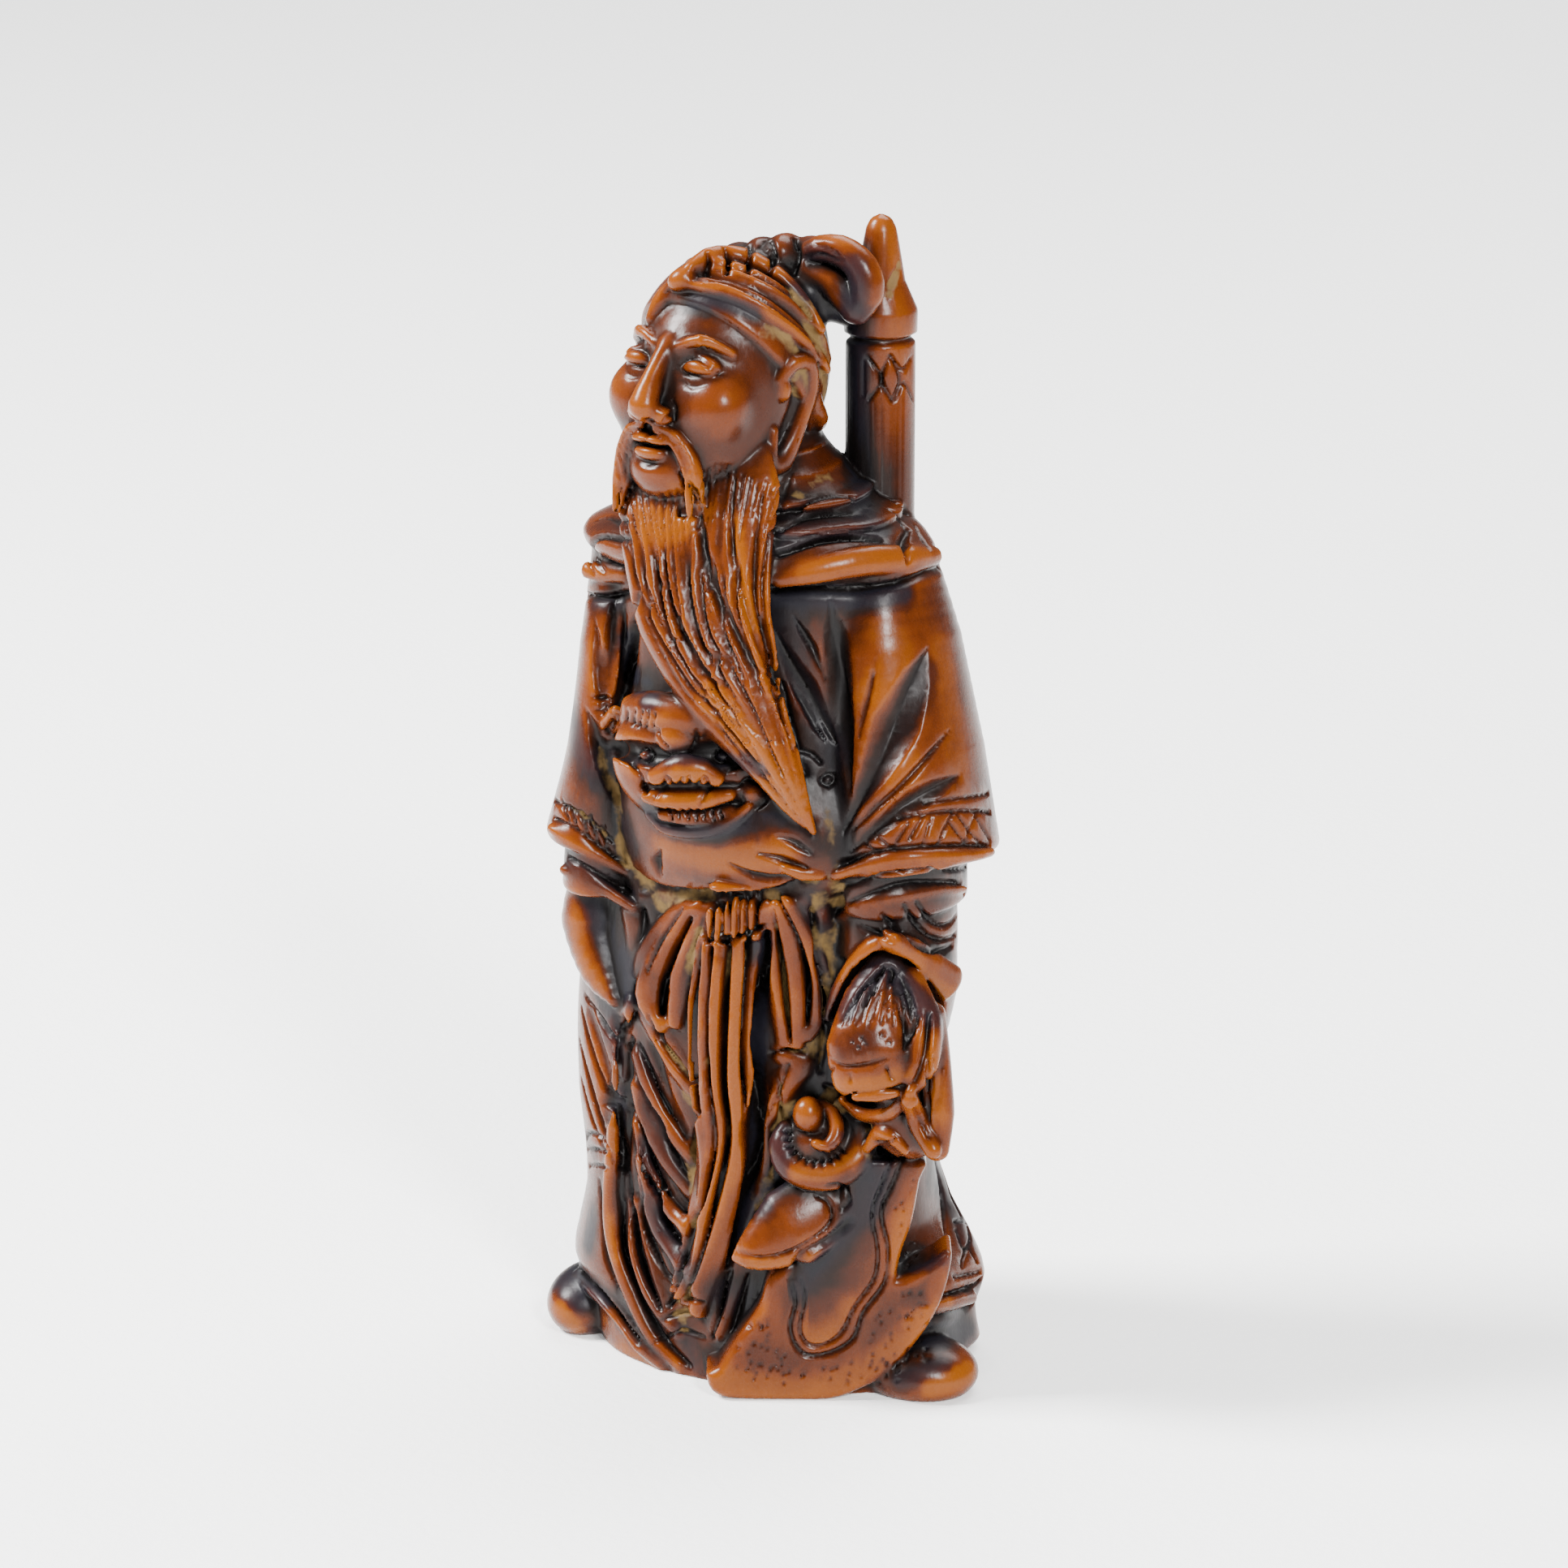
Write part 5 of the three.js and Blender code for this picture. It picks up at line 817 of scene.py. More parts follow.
def curve(points, spacing):
    """Points on a smooth curve through the given ones, and where each lies along the list, from 0 to 1."""
    p = np.asarray(points, float)
    if len(p) == 1:
        return p, np.zeros(1)
    ends = np.vstack([2 * p[0] - p[1], p, 2 * p[-1] - p[-2]])
    out, at = [], []
    for i in range(len(p) - 1):
        a, b, c, d = ends[i : i + 4]
        steps = max(1, int(math.ceil(np.linalg.norm(c - b) / spacing)))
        for t in np.arange(steps) / steps:
            bend = (2 * a - 5 * b + 4 * c - d) * t**2
            twist = (3 * b - a - 3 * c + d) * t**3
            out.append(0.5 * ((2 * b) + (c - a) * t + bend + twist))
            at.append((i + t) / (len(p) - 1))
    out.append(p[-1])
    at.append(1.0)
    return np.array(out), np.array(at)


def spread(values, at):
    """A number, or a list of numbers laid out evenly, read at the places from 0 to 1."""
    values = np.atleast_1d(np.asarray(values, float))
    return np.interp(at, np.linspace(0, 1, len(values)), values)


def egg(block, at, size, yaw=0, pitch=0, roll=0, blend=0.3, cut=False):
    """An ellipsoid, joined or pared."""
    size = np.asarray(size, float)
    reach = size.max() + blend + 1.0
    found = block.window(np.array(at) - reach, np.array(at) + reach)
    if found is None:
        return
    where, x, y, z = found
    turn = turned(yaw, pitch, roll)
    local = [turn[0, k] * (x - at[0]) + turn[1, k] * (y - at[1]) + turn[2, k] * (z - at[2]) for k in range(3)]
    k0 = np.sqrt(sum((q / r) ** 2 for q, r in zip(local, size)))
    k1 = np.sqrt(sum((q / r**2) ** 2 for q, r in zip(local, size)))
    distance = np.where(k0 > 0.35, k0 * (k0 - 1) / np.maximum(k1, 1e-4), -size.min() * (1 - k0))
    (block.pare if cut else block.join)(where, np.clip(distance, -FAR, FAR), blend)


def turned(yaw=0, pitch=0, roll=0):
    """A turn by roll about Y, then pitch about X, then yaw about Z, in degrees."""
    a, b, c = (math.radians(v) for v in (yaw, pitch, roll))
    rz = np.array([[math.cos(a), -math.sin(a), 0], [math.sin(a), math.cos(a), 0], [0, 0, 1]])
    rx = np.array([[1, 0, 0], [0, math.cos(b), -math.sin(b)], [0, math.sin(b), math.cos(b)]])
    ry = np.array([[math.cos(c), 0, math.sin(c)], [0, 1, 0], [-math.sin(c), 0, math.cos(c)]])
    return rz @ rx @ ry


def limb(
    block, path, across, deep, face=(0, -1, 0), blend=0.3, cut=False, spacing=0.8, square=2.0, flat=False
):
    """A bar along a curve, with radii across and deep at places along it; face is the side that is deep.
    Its ends are round, or flat where it is a sleeve."""
    points, at = curve(path, spacing)
    ra, rd = spread(across, at), spread(deep, at)
    margin = blend + 0.6
    reach = np.maximum(ra, rd)
    low = (points - reach[:, None]).min(0) - margin
    high = (points + reach[:, None]).max(0) + margin
    found = block.window(low, high)
    if found is None:
        return
    whole, *_ = found
    distance = np.full([s.stop - s.start for s in whole], FAR, np.float32)
    face = np.asarray(face, float)
    for i in range(len(points) - 1):
        a, b = points[i], points[i + 1]
        r = max(reach[i], reach[i + 1]) + margin
        part = block.window(np.minimum(a, b) - r, np.maximum(a, b) + r, whole)
        if part is None:
            continue
        where, x, y, z = part
        along = b - a
        length = np.linalg.norm(along)
        along = along / length
        side = unit(np.cross(along, face))
        out = np.cross(side, along)
        px, py, pz = x - a[0], y - a[1], z - a[2]
        run = px * along[0] + py * along[1] + pz * along[2]
        t = np.clip(run / length, 0, 1)
        s = px * side[0] + py * side[1] + pz * side[2]
        o = px * out[0] + py * out[1] + pz * out[2]
        past = run - t * length
        wide = ra[i] + (ra[i + 1] - ra[i]) * t
        tall = rd[i] + (rd[i + 1] - rd[i]) * t
        thin = np.minimum(wide, tall)
        if square == 2.0:
            k0 = np.sqrt((s / wide) ** 2 + (o / tall) ** 2 + (past / thin) ** 2)
            k1 = np.sqrt((s / wide**2) ** 2 + (o / tall**2) ** 2 + (past / thin**2) ** 2)
            d = np.where(k0 > 0.35, k0 * (k0 - 1) / np.maximum(k1, 1e-4), -thin * (1 - k0))
        else:
            powers = np.abs(s / wide) ** square + np.abs(o / tall) ** square + np.abs(past / thin) ** square
            d = (powers ** (1 / square) - 1) * thin
        inner = tuple(slice(w.start - v.start, w.stop - v.start) for w, v in zip(where, whole))
        distance[inner] = np.minimum(distance[inner], d)
    if flat:
        _, x, y, z = found
        for end, beyond in ((points[0], points[0] - points[1]), (points[-1], points[-1] - points[-2])):
            way = unit(beyond)
            past = (x - end[0]) * way[0] + (y - end[1]) * way[1] + (z - end[2]) * way[2]
            distance = -soft_min(-distance, -past, 0.5)
    (block.pare if cut else block.join)(whole, distance, blend)


def column(block, rows, square=2.3, pleat=None, blend=0.3, keep=None):
    """A column of cloth: level sections, smooth between the rows, with folds worked out by a function."""
    rows = np.array(rows, float)
    reach = rows[:, 3:].max() + 1.5
    found = block.window(
        (rows[:, 1].min() - reach, rows[:, 2].min() - reach, rows[0, 0] - 1),
        (rows[:, 1].max() + reach, rows[:, 2].max() + reach, rows[-1, 0] + 1),
    )
    where, x, y, z = found
    level = z.ravel()
    cx, cy, wide, deep = (even(rows[:, 0], rows[:, k], level)[None, None, :] for k in (1, 2, 3, 4))
    px, py = x - cx, y - cy
    r = np.sqrt(px**2 + py**2) + 1e-6
    s, c = np.abs(px) / r, np.abs(py) / r
    edge = ((s / wide) ** square + (c / deep) ** square) ** (-1 / square)
    slope = np.gradient(0.5 * (wide + deep).ravel(), level)
    d = (r - edge) * (0.97 / np.sqrt(1 + slope**2))[None, None, :]
    if pleat is not None:
        d = d - pleat(np.degrees(np.arctan2(px, -py)), z)
    d = np.maximum(d, np.maximum(rows[0, 0] - z, z - rows[-1, 0]))
    if keep is not None:
        d = np.maximum(d, keep(x, y, z))
    block.join(where, np.clip(d, -FAR, FAR).astype(np.float32), blend)


def even(heights, values, level):
    """Values between a table's rows, on a curve with no kinks at the rows."""
    slopes = np.gradient(values, heights)
    i = np.clip(np.searchsorted(heights, level) - 1, 0, len(heights) - 2)
    gap = heights[i + 1] - heights[i]
    t = np.clip((level - heights[i]) / gap, 0, 1)
    a = values[i] + slopes[i] * gap * t
    b = values[i + 1] - slopes[i + 1] * gap * (1 - t)
    straight = values[i] + (values[i + 1] - values[i]) * t
    return (0.5 * straight + 0.5 * (a * (1 - smooth(0, 1, t)) + b * smooth(0, 1, t))).astype(np.float32)


def lathe(block, place, profile, blend=0.15):
    """A turned shaft that stands on a place, from its radii at heights."""
    heights, radii = (np.array(v, float) for v in zip(*profile))
    reach = radii.max() + 1.0
    where, x, y, z = block.window(
        (place[0] - reach, place[1] - reach, heights[0] - 1),
        (place[0] + reach, place[1] + reach, heights[-1] + 1),
    )
    r = np.sqrt((x - place[0]) ** 2 + (y - place[1]) ** 2)
    d = r - np.interp(z.ravel(), heights, radii)[None, None, :].astype(np.float32)
    d = np.maximum(d * 0.95, np.maximum(heights[0] - z, z - heights[-1]))
    block.join(where, np.clip(d, -FAR, FAR).astype(np.float32), blend)


def plate(block, outline, thick, at, turn, blend, edge):
    """A flat plate with soft edges: an outline in its own plane, which is turned about Z."""
    line, _ = curve(outline, 0.5)
    a = math.radians(turn)
    reach = np.abs(line).max() + thick
    where, x, y, z = block.window(np.array(at) - reach, np.array(at) + reach)
    u = (x - at[0]) * math.cos(a) + (y - at[1]) * math.sin(a)
    w = -(x - at[0]) * math.sin(a) + (y - at[1]) * math.cos(a)
    v = z - at[2]
    step = 0.1
    gu = np.arange(line[:, 0].min() - 2, line[:, 0].max() + 2, step)
    gv = np.arange(line[:, 1].min() - 2, line[:, 1].max() + 2, step)
    flat = outline_distance(line, gu[:, None], gv[None, :])
    iu = np.clip((u - gu[0]) / step, 0, len(gu) - 1.001)
    iv = np.clip((v - gv[0]) / step, 0, len(gv) - 1.001)
    iu, iv = np.broadcast_arrays(iu, iv)
    ku, kv = iu.astype(np.int32), iv.astype(np.int32)
    fu, fv = iu - ku, iv - kv
    side = (
        flat[ku, kv] * (1 - fu) * (1 - fv)
        + flat[ku + 1, kv] * fu * (1 - fv)
        + flat[ku, kv + 1] * (1 - fu) * fv
        + flat[ku + 1, kv + 1] * fu * fv
    )
    q1, q2 = side + edge, np.abs(w) - thick / 2 + edge
    d = np.minimum(np.maximum(q1, q2), 0) + np.sqrt(np.maximum(q1, 0) ** 2 + np.maximum(q2, 0) ** 2) - edge
    block.join(where, np.clip(d, -FAR, FAR).astype(np.float32), blend)


def outline_distance(line, u, v):
    """The distance from a closed outline in its plane, less than nothing inside."""
    best = np.full(np.broadcast(u, v).shape, 1e9)
    inside = np.zeros(best.shape, bool)
    ring = np.vstack([line, line[:1]])
    for (ax, ay), (bx, by) in zip(ring[:-1], ring[1:]):
        ex, ey = bx - ax, by - ay
        size = ex * ex + ey * ey
        if size < 1e-9:
            continue
        t = np.clip(((u - ax) * ex + (v - ay) * ey) / size, 0, 1)
        best = np.minimum(best, (u - ax - t * ex) ** 2 + (v - ay - t * ey) ** 2)
        crosses = (ay > v) != (by > v)
        inside ^= crosses & (u < (bx - ax) * (v - ay) / ((by - ay) if by != ay else 1e-9) + ax)
    return np.sqrt(best) * np.where(inside, -1, 1)


# ---------------------------------------------------------------- marks on the skin


def vee(q):
    return 1 - np.abs(q)


def leaf(q):
    return (1 - np.abs(q)) ** 0.75


def gouge(q):
    return (1 - q * q) ** 2


def ledge(q):
    """One side of the line is let down, from the line out to the mark's edge."""
    return np.where(q > 0, (1 - q) ** 1.5, np.maximum(0, 1 + 6 * q))


def mark(block, path, wide, deep, shape=vee, spacing=0.5, reach=0.7):
    """Presses a mark into the skin along a path that lies on it, or raises one where deep is below nothing.
    Wide and deep are given at places along the path."""
    points, at = curve(path, spacing)
    half = np.maximum(spread(wide, at) / 2, 0.02)
    depth = spread(deep, at)
    out = block.outward(points, 0.45)
    tall = np.abs(depth).max() + reach
    margin = float(np.hypot(half.max(), tall))
    found = block.window(points.min(0) - margin, points.max(0) + margin)
    if found is None:
        return
    whole, *_ = found
    amount = np.zeros([s.stop - s.start for s in whole], np.float32)
    for i in range(len(points) - 1):
        a, b = points[i], points[i + 1]
        m = float(np.hypot(max(half[i], half[i + 1]), tall)) * 0.8 + 0.1
        part = block.window(np.minimum(a, b) - m, np.maximum(a, b) + m, whole)
        if part is None:
            continue
        where, x, y, z = part
        along = b - a
        length = np.linalg.norm(along)
        along = along / length
        normal = unit(out[i] + out[i + 1])
        side = unit(np.cross(along, normal))
        px, py, pz = x - a[0], y - a[1], z - a[2]
        run = px * along[0] + py * along[1] + pz * along[2]
        t = np.clip(run / length, 0, 1)
        past = run - t * length
        s = px * side[0] + py * side[1] + pz * side[2]
        h = np.abs(px * normal[0] + py * normal[1] + pz * normal[2])
        w = half[i] + (half[i + 1] - half[i]) * t
        q = np.sqrt(s * s + past * past) / w * np.where(s < 0, -1, 1)
        value = np.where(np.abs(q) < 1, shape(np.clip(q, -1, 1)), 0)
        value = value * (depth[i] + (depth[i + 1] - depth[i]) * t)
        value = value * (1 - smooth(tall - 0.4, tall, h))
        inner = tuple(slice(c.start - v.start, c.stop - v.start) for c, v in zip(where, whole))
        old = amount[inner]
        amount[inner] = np.where(np.abs(value) > np.abs(old), value, old)
    block.field[whole] += amount


class Board:
    """A drawing board stood in front of the figure. What is drawn on it is carried on to the wood along the
    line of sight. Across and up are millimetres on the board, from the foot of the figure's own axis."""

    def __init__(self, block, turn=VIEW_TURN, rise=VIEW_RISE, away=VIEW_AWAY, aim=VIEW_AIM, zero=(0, 0, 0)):
        a, e = math.radians(turn), math.radians(rise)
        self.block = block
        self.right = np.array([math.cos(a), math.sin(a), 0])
        self.up = np.array([-math.sin(a) * math.sin(e), math.cos(a) * math.sin(e), math.cos(e)])
        self.back = np.array([math.sin(a) * math.cos(e), -math.cos(a) * math.cos(e), math.sin(e)])
        self.aim = np.array(aim)
        self.zero = np.array(zero)
        self.eye = self.aim + self.back * away
        self.away = away

    def point(self, across, up, near=0.0):
        """A place in front of the figure's middle by so much, where it is seen at that place on the board."""
        across, up, near = (np.asarray(v, float)[..., None] for v in (across, up, near))
        aside = across - self.right @ (self.aim - self.zero)
        above = up - self.up @ (self.aim - self.zero)
        ray = self.aim + aside * self.right + above * self.up - self.eye
        return self.eye + ray * (1 - near / self.away)

    def at_depth(self, across, up, y):
        """The place seen at that place on the board that has the given Y."""
        ray = self.point(across, up) - self.eye
        return self.eye + ray * (y - self.eye[1]) / ray[1]

    def depths(self, spots):
        """How far in front the first wood is behind each place on the board."""
        near = np.arange(SIGHT_START, -SIGHT_START, -SIGHT_STEP)
        values = self.block.read(self.point(spots[:, None, 0], spots[:, None, 1], near[None, :]))
        wood = values < 0
        first = np.maximum(wood.argmax(1), 1)
        rows = np.arange(len(spots))
        a, b = values[rows, first - 1], values[rows, first]
        t = np.where(a - b > 1e-6, a / np.maximum(a - b, 1e-6), 0)
        depth = near[first - 1] - SIGHT_STEP * np.clip(t, 0, 1)
        met = wood.any(1)
        return np.interp(rows, rows[met], depth[met]) if met.any() else np.zeros(len(spots))

    def laid(self, spots, lift=0.0, *, spacing, evened=1):
        """A curve drawn on the board and laid on the wood, over its dips when evened."""
        line, _ = curve([(a, b, 0) for a, b in spots], spacing)
        depth = self.depths(line[:, :2])
        for _ in range(evened):
            depth[1:-1] = (depth[:-2] + 2 * depth[1:-1] + depth[2:]) / 4
        return self.point(line[:, 0], line[:, 1], depth + lift)

    def mark(self, spots, wide, deep, shape=vee, spacing=0.5, reach=0.7):
        """A mark pressed into the wood along a drawn line."""
        path = self.laid(spots, spacing=spacing)
        mark(self.block, path, wide, deep, shape, spacing * 1.3, reach=reach)

    def bar(self, spots, across, deep, lift=0.0, blend=0.25, cut=False, square=2.0, spacing=0.8):
        """A bar laid on the wood along a drawn line."""
        path = self.laid(spots, lift, spacing=spacing, evened=6)
        limb(self.block, path, across, deep, face=self.back, blend=blend, cut=cut, spacing=9, square=square)

    def marks(self, rows, shape=vee, **how):
        """A mark for each row of a table."""
        for line, wide, deep in rows:
            self.mark(line, wide, deep, shape, **how)

    def bars(self, rows, **how):
        """A bar for each row of a table."""
        for line, wide, thick, lift in rows:
            self.bar(line, wide, thick, lift=lift, **how)

    def knob(self, spot, size, lift=0.0, blend=0.2, cut=False, turn=0.0):
        """An egg laid on the wood: size is across, thick, up."""
        at = self.point(*spot, self.depths(np.array([spot]))[0] + lift)
        yaw = math.degrees(math.atan2(self.right[1], self.right[0]))
        egg(self.block, at, size, yaw=yaw, roll=turn, blend=blend, cut=cut)


# ---------------------------------------------------------------- taking the skin off


def skin(block):
    """The wood's skin as points and four-sided faces: a point for each grid cell that the skin cuts."""
    f = block.field
    inside = f < 0
    nx, ny, nz = f.shape
    mixed = np.zeros((nx - 1, ny - 1, nz - 1), np.int8)
    corners = [(i, j, k) for i in (0, 1) for j in (0, 1) for k in (0, 1)]
    for i, j, k in corners:
        mixed += inside[i : nx - 1 + i, j : ny - 1 + j, k : nz - 1 + k]
    cells = np.argwhere((mixed > 0) & (mixed < 8)).astype(np.int32)
    del mixed
    value = np.stack([f[cells[:, 0] + i, cells[:, 1] + j, cells[:, 2] + k] for i, j, k in corners], 1)
    total = np.zeros((len(cells), 3))
    hits = np.zeros(len(cells))
    for a in range(8):
        for axis in range(3):
            if corners[a][axis]:
                continue
            b = a + (4, 2, 1)[axis]
            va, vb = value[:, a], value[:, b]
            crossed = (va < 0) != (vb < 0)
            t = va[crossed] / (va[crossed] - vb[crossed])
            spot = np.tile(np.array(corners[a], float), (len(t), 1))
            spot[:, axis] += t
            total[crossed] += spot
            hits[crossed] += 1
    points = block.low + block.step * (cells + total / hits[:, None])
    number = np.full((nx - 1, ny - 1, nz - 1), -1, np.int32)
    number[cells[:, 0], cells[:, 1], cells[:, 2]] = np.arange(len(cells))
    faces = []
    for axis in range(3):
        one, two = [(1, 2), (2, 0), (0, 1)][axis]
        near = [slice(1, -1)] * 3
        near[axis] = slice(0, -1)
        far = list(near)
        far[axis] = slice(1, None)
        low, high = inside[tuple(near)], inside[tuple(far)]
        spots = np.argwhere(low != high)
        leaves = high[spots[:, 0], spots[:, 1], spots[:, 2]]
        start = spots + 1
        start[:, axis] = spots[:, axis]
        ring = []
        for da, db in ((-1, -1), (0, -1), (0, 0), (-1, 0)):
            c = start.copy()
            c[:, one] += da
            c[:, two] += db
            ring.append(number[c[:, 0], c[:, 1], c[:, 2]])
        quad = np.stack(ring, 1)
        quad[leaves] = quad[leaves][:, ::-1]
        faces.append(quad)
    return points, np.vstack(faces)


def largest(points, faces):
    """The points and faces of the largest single body."""
    label = np.arange(len(points))
    edges = np.vstack([faces[:, [0, 1]], faces[:, [1, 2]], faces[:, [2, 3]], faces[:, [3, 0]]])
    while True:
        low = np.minimum(label[edges[:, 0]], label[edges[:, 1]])
        fresh = label.copy()
        np.minimum.at(fresh, edges[:, 0], low)
        np.minimum.at(fresh, edges[:, 1], low)
        fresh = fresh[fresh]
        if (fresh == label).all():
            break
        label = fresh
    keep = label == np.bincount(label).argmax()
    number = np.cumsum(keep) - 1
    return points[keep], number[faces[keep[faces[:, 0]]]]


def settle(block, points, faces, rounds=2):
    """Evens the mesh out and puts its points back on the skin."""
    edges = np.vstack([faces[:, [0, 1]], faces[:, [1, 2]], faces[:, [2, 3]], faces[:, [3, 0]]])
    count = np.bincount(edges.ravel(), minlength=len(points))[:, None]
    for _ in range(rounds):
        total = np.zeros_like(points)
        for k in range(3):
            total[:, k] = np.bincount(edges[:, 0], points[edges[:, 1], k], len(points))
            total[:, k] += np.bincount(edges[:, 1], points[edges[:, 0], k], len(points))
        points = 0.5 * points + 0.5 * total / count
        way = block.outward(points, block.step * 0.6)
        off = np.clip(block.read(points), -0.1, 0.1)
        points = points - way * (off * 0.9)[:, None]
    return points


def blurred(volume, cells):
    """A volume with each value spread over its neighbours, by two passes of a moving mean on each axis."""
    out = volume.astype(np.float32)
    for axis in range(3):
        for _ in range(2):
            padded = np.pad(out, [(cells + 1, cells) if k == axis else (0, 0) for k in range(3)], mode="edge")
            total = np.cumsum(padded, axis=axis, dtype=np.float32)
            size = 2 * cells + 1
            high = [slice(None)] * 3
            low = [slice(None)] * 3
            high[axis] = slice(size, None)
            low[axis] = slice(0, -size)
            out = (total[tuple(high)] - total[tuple(low)]) / size
    return out


# ---------------------------------------------------------------- the figure's masses


def carve_body(block):
    column(block, ROBE, blend=0)
    column(
        block,
        COAT,
        pleat=lambda a, z: 0.3 * smooth(30, 4, z) * back_folds(a, z),
        blend=0.3,
        keep=lambda x, y, z: -coat_gap(x, y, z),
    )
    egg(block, (1.5, -2.6, 31.4), (7.4, 5.4, 3.4), blend=0.8)


def back_folds(a, z):
    """Folds that fall from the belt at the back, and none in front: how far the cloth stands up there."""
    return smooth(75, 110, np.abs(a)) * np.cos(np.radians(a * 10 + 18 * np.sin(z * 0.22)))


def coat_gap(x, y, z):
    """More than nothing outside the coat's front opening."""
    left = np.interp(z.ravel(), *zip(*COAT_EDGE)).astype(np.float32)[None, None, :]
    return np.maximum(y + 2.0, np.maximum(left - x, x - 7.8))


def carve_cape(block):
    def rolls(a, z):
        wave = np.sin((z - 49.1) * 2 * math.pi / 1.25 + 0.5 * np.sin(np.radians(a * 2)))
        return 0.32 * smooth(48.6, 49.6, z) * wave

    column(block, CAPE, square=2.1, pleat=rolls, blend=0.1)


def on_head(side, front, up):
    """A place on the head: to its own left, to its front and up from its middle."""
    return np.array(HEAD_AT) + turned(HEAD_YAW, HEAD_PITCH) @ np.array([side, -front, up])


def carve_head(block):
    turn = {"yaw": HEAD_YAW, "pitch": HEAD_PITCH}
    egg(block, HEAD_AT, HEAD_SIZE, **turn, blend=0.3)
    egg(block, on_head(0, 1.6, -3.4), (4.2, 3.8, 3.6), **turn, blend=1.2)
    egg(block, on_head(0, 3.6, -5.6), (2.2, 1.9, 1.5), **turn, blend=1.0)
    limb(block, [on_head(0, 0, -4), (-0.8, -0.4, 50), (-0.6, 0, 47)], 3.2, 3.4, blend=0.8)
    ahead = turned(HEAD_YAW, HEAD_PITCH) @ np.array([0, -1, 0])
    for s in (-1, 1):
        egg(block, on_head(s * 2.6, 3.7, -1.7), (1.9, 1.6, 1.9), **turn, blend=0.9)
        egg(block, on_head(s * 2.1, 6.1, 0.4), (1.5, 1.05, 0.75), **turn, blend=0.5, cut=True)
        egg(block, on_head(s * 2.1, 4.55, 0.3), (1.2, 0.85, 0.72), **turn, blend=0.1)
        brow = [on_head(s * 0.9, 5.2, 1.3), on_head(s * 2.2, 5.0, 1.8), on_head(s * 3.5, 3.8, 1.3)]
        limb(block, brow, [0.22, 0.36, 0.15], [0.22, 0.3, 0.12], face=ahead, blend=0.4)
        egg(block, on_head(s * 0.85, 5.8, -2.5), (0.6, 0.65, 0.5), **turn, blend=0.25)
        ear(block, s)
    nose = [on_head(0, 5.1, 1.3), on_head(0, 5.9, -0.6), on_head(0, 6.45, -2.1), on_head(0, 5.9, -2.75)]
    limb(block, nose, [0.5, 0.55, 0.85, 0.6], [0.5, 0.7, 0.8, 0.4], face=ahead, blend=0.4)
    egg(block, on_head(0, 5.45, -3.95), (1.3, 0.7, 0.34), **turn, blend=0.2)
    egg(block, on_head(0, 5.35, -4.6), (1.05, 0.65, 0.42), **turn, blend=0.2)


def carve_face(block):
    """Lids, brows, nostrils and lips, drawn on a board that faces the face."""
    board = Board(block, HEAD_YAW, -HEAD_PITCH, aim=HEAD_AT, zero=HEAD_AT)
    for s in (-1, 1):
        lid = [(s * 1.0, 0.15), (s * 1.5, 0.65), (s * 2.2, 0.85), (s * 2.9, 0.6), (s * 3.4, 0.15)]
        board.mark(lid, [0.3, 0.45, 0.45, 0.3], [0.1, 0.3, 0.3, 0.1], spacing=0.25)
        board.mark([(s * 1.1, 0.05), (s * 1.6, -0.1), (s * 2.2, -0.15), (s * 2.9, -0.05), (s * 3.3, 0.1)],
                   [0.2, 0.34, 0.34, 0.2], [0.1, 0.3, 0.3, 0.1], spacing=0.25)
        board.mark([(s * 1.3, -0.45), (s * 2.2, -0.75), (s * 3.1, -0.4)], 0.4,
                   [0.05, 0.16, 0.05], spacing=0.25)
        board.mark([(s * 1.05, -1.7), (s * 1.45, -2.3), (s * 1.3, -2.8)], [0.3, 0.4, 0.3],
                   [0.1, 0.3, 0.2], spacing=0.25)
        board.knob((s * 0.5, -2.95), (0.28, 0.5, 0.2), cut=True, blend=0.1)
        for k in range(5):
            up = 1.05 + 0.22 * k
            board.mark([(s * 0.9, up), (s * 2.0, up + 0.3), (s * 3.4, up - 0.1 - 0.1 * k)],
                       [0.1, 0.2, 0.1], [0.02, 0.1, 0.02], spacing=0.3)
    board.mark([(-1.35, -4.2), (-0.6, -4.3), (0, -4.22), (0.6, -4.3), (1.35, -4.2)], [0.25, 0.4, 0.25],
               [0.2, 0.4, 0.2], spacing=0.25)
    board.mark([(0, -3.1), (0, -3.6)], 0.45, [0.12, 0.2], gouge, spacing=0.25)
    board.mark([(-0.8, -5.2), (0, -5.35), (0.8, -5.2)], 0.6, [0.05, 0.28, 0.05], gouge, spacing=0.25)


def carve_moustache(block):
    """Two drooping locks from under the nose, that run down into the beard."""
    for s in (-1, 1):
        lock = [
            on_head(s * 0.5, 5.75, -3.25),
            on_head(s * 1.5, 5.35, -3.6),
            on_head(s * 2.3, 4.75, -4.8),
            on_head(s * 2.6, 4.3, -6.4),
            on_head(s * 2.7, 4.3, -8.0),
        ]
        limb(block, lock, [0.25, 0.45, 0.55, 0.6, 0.3], [0.3, 0.45, 0.5, 0.6, 0.5], blend=0.15)
        for k in (-1, 0, 1):
            line = [p + np.array([0.22 * k * s, -0.6, 0]) for p in lock]
            mark(block, line, 0.24, [0.05, 0.2, 0.2, 0.15], reach=1.0)


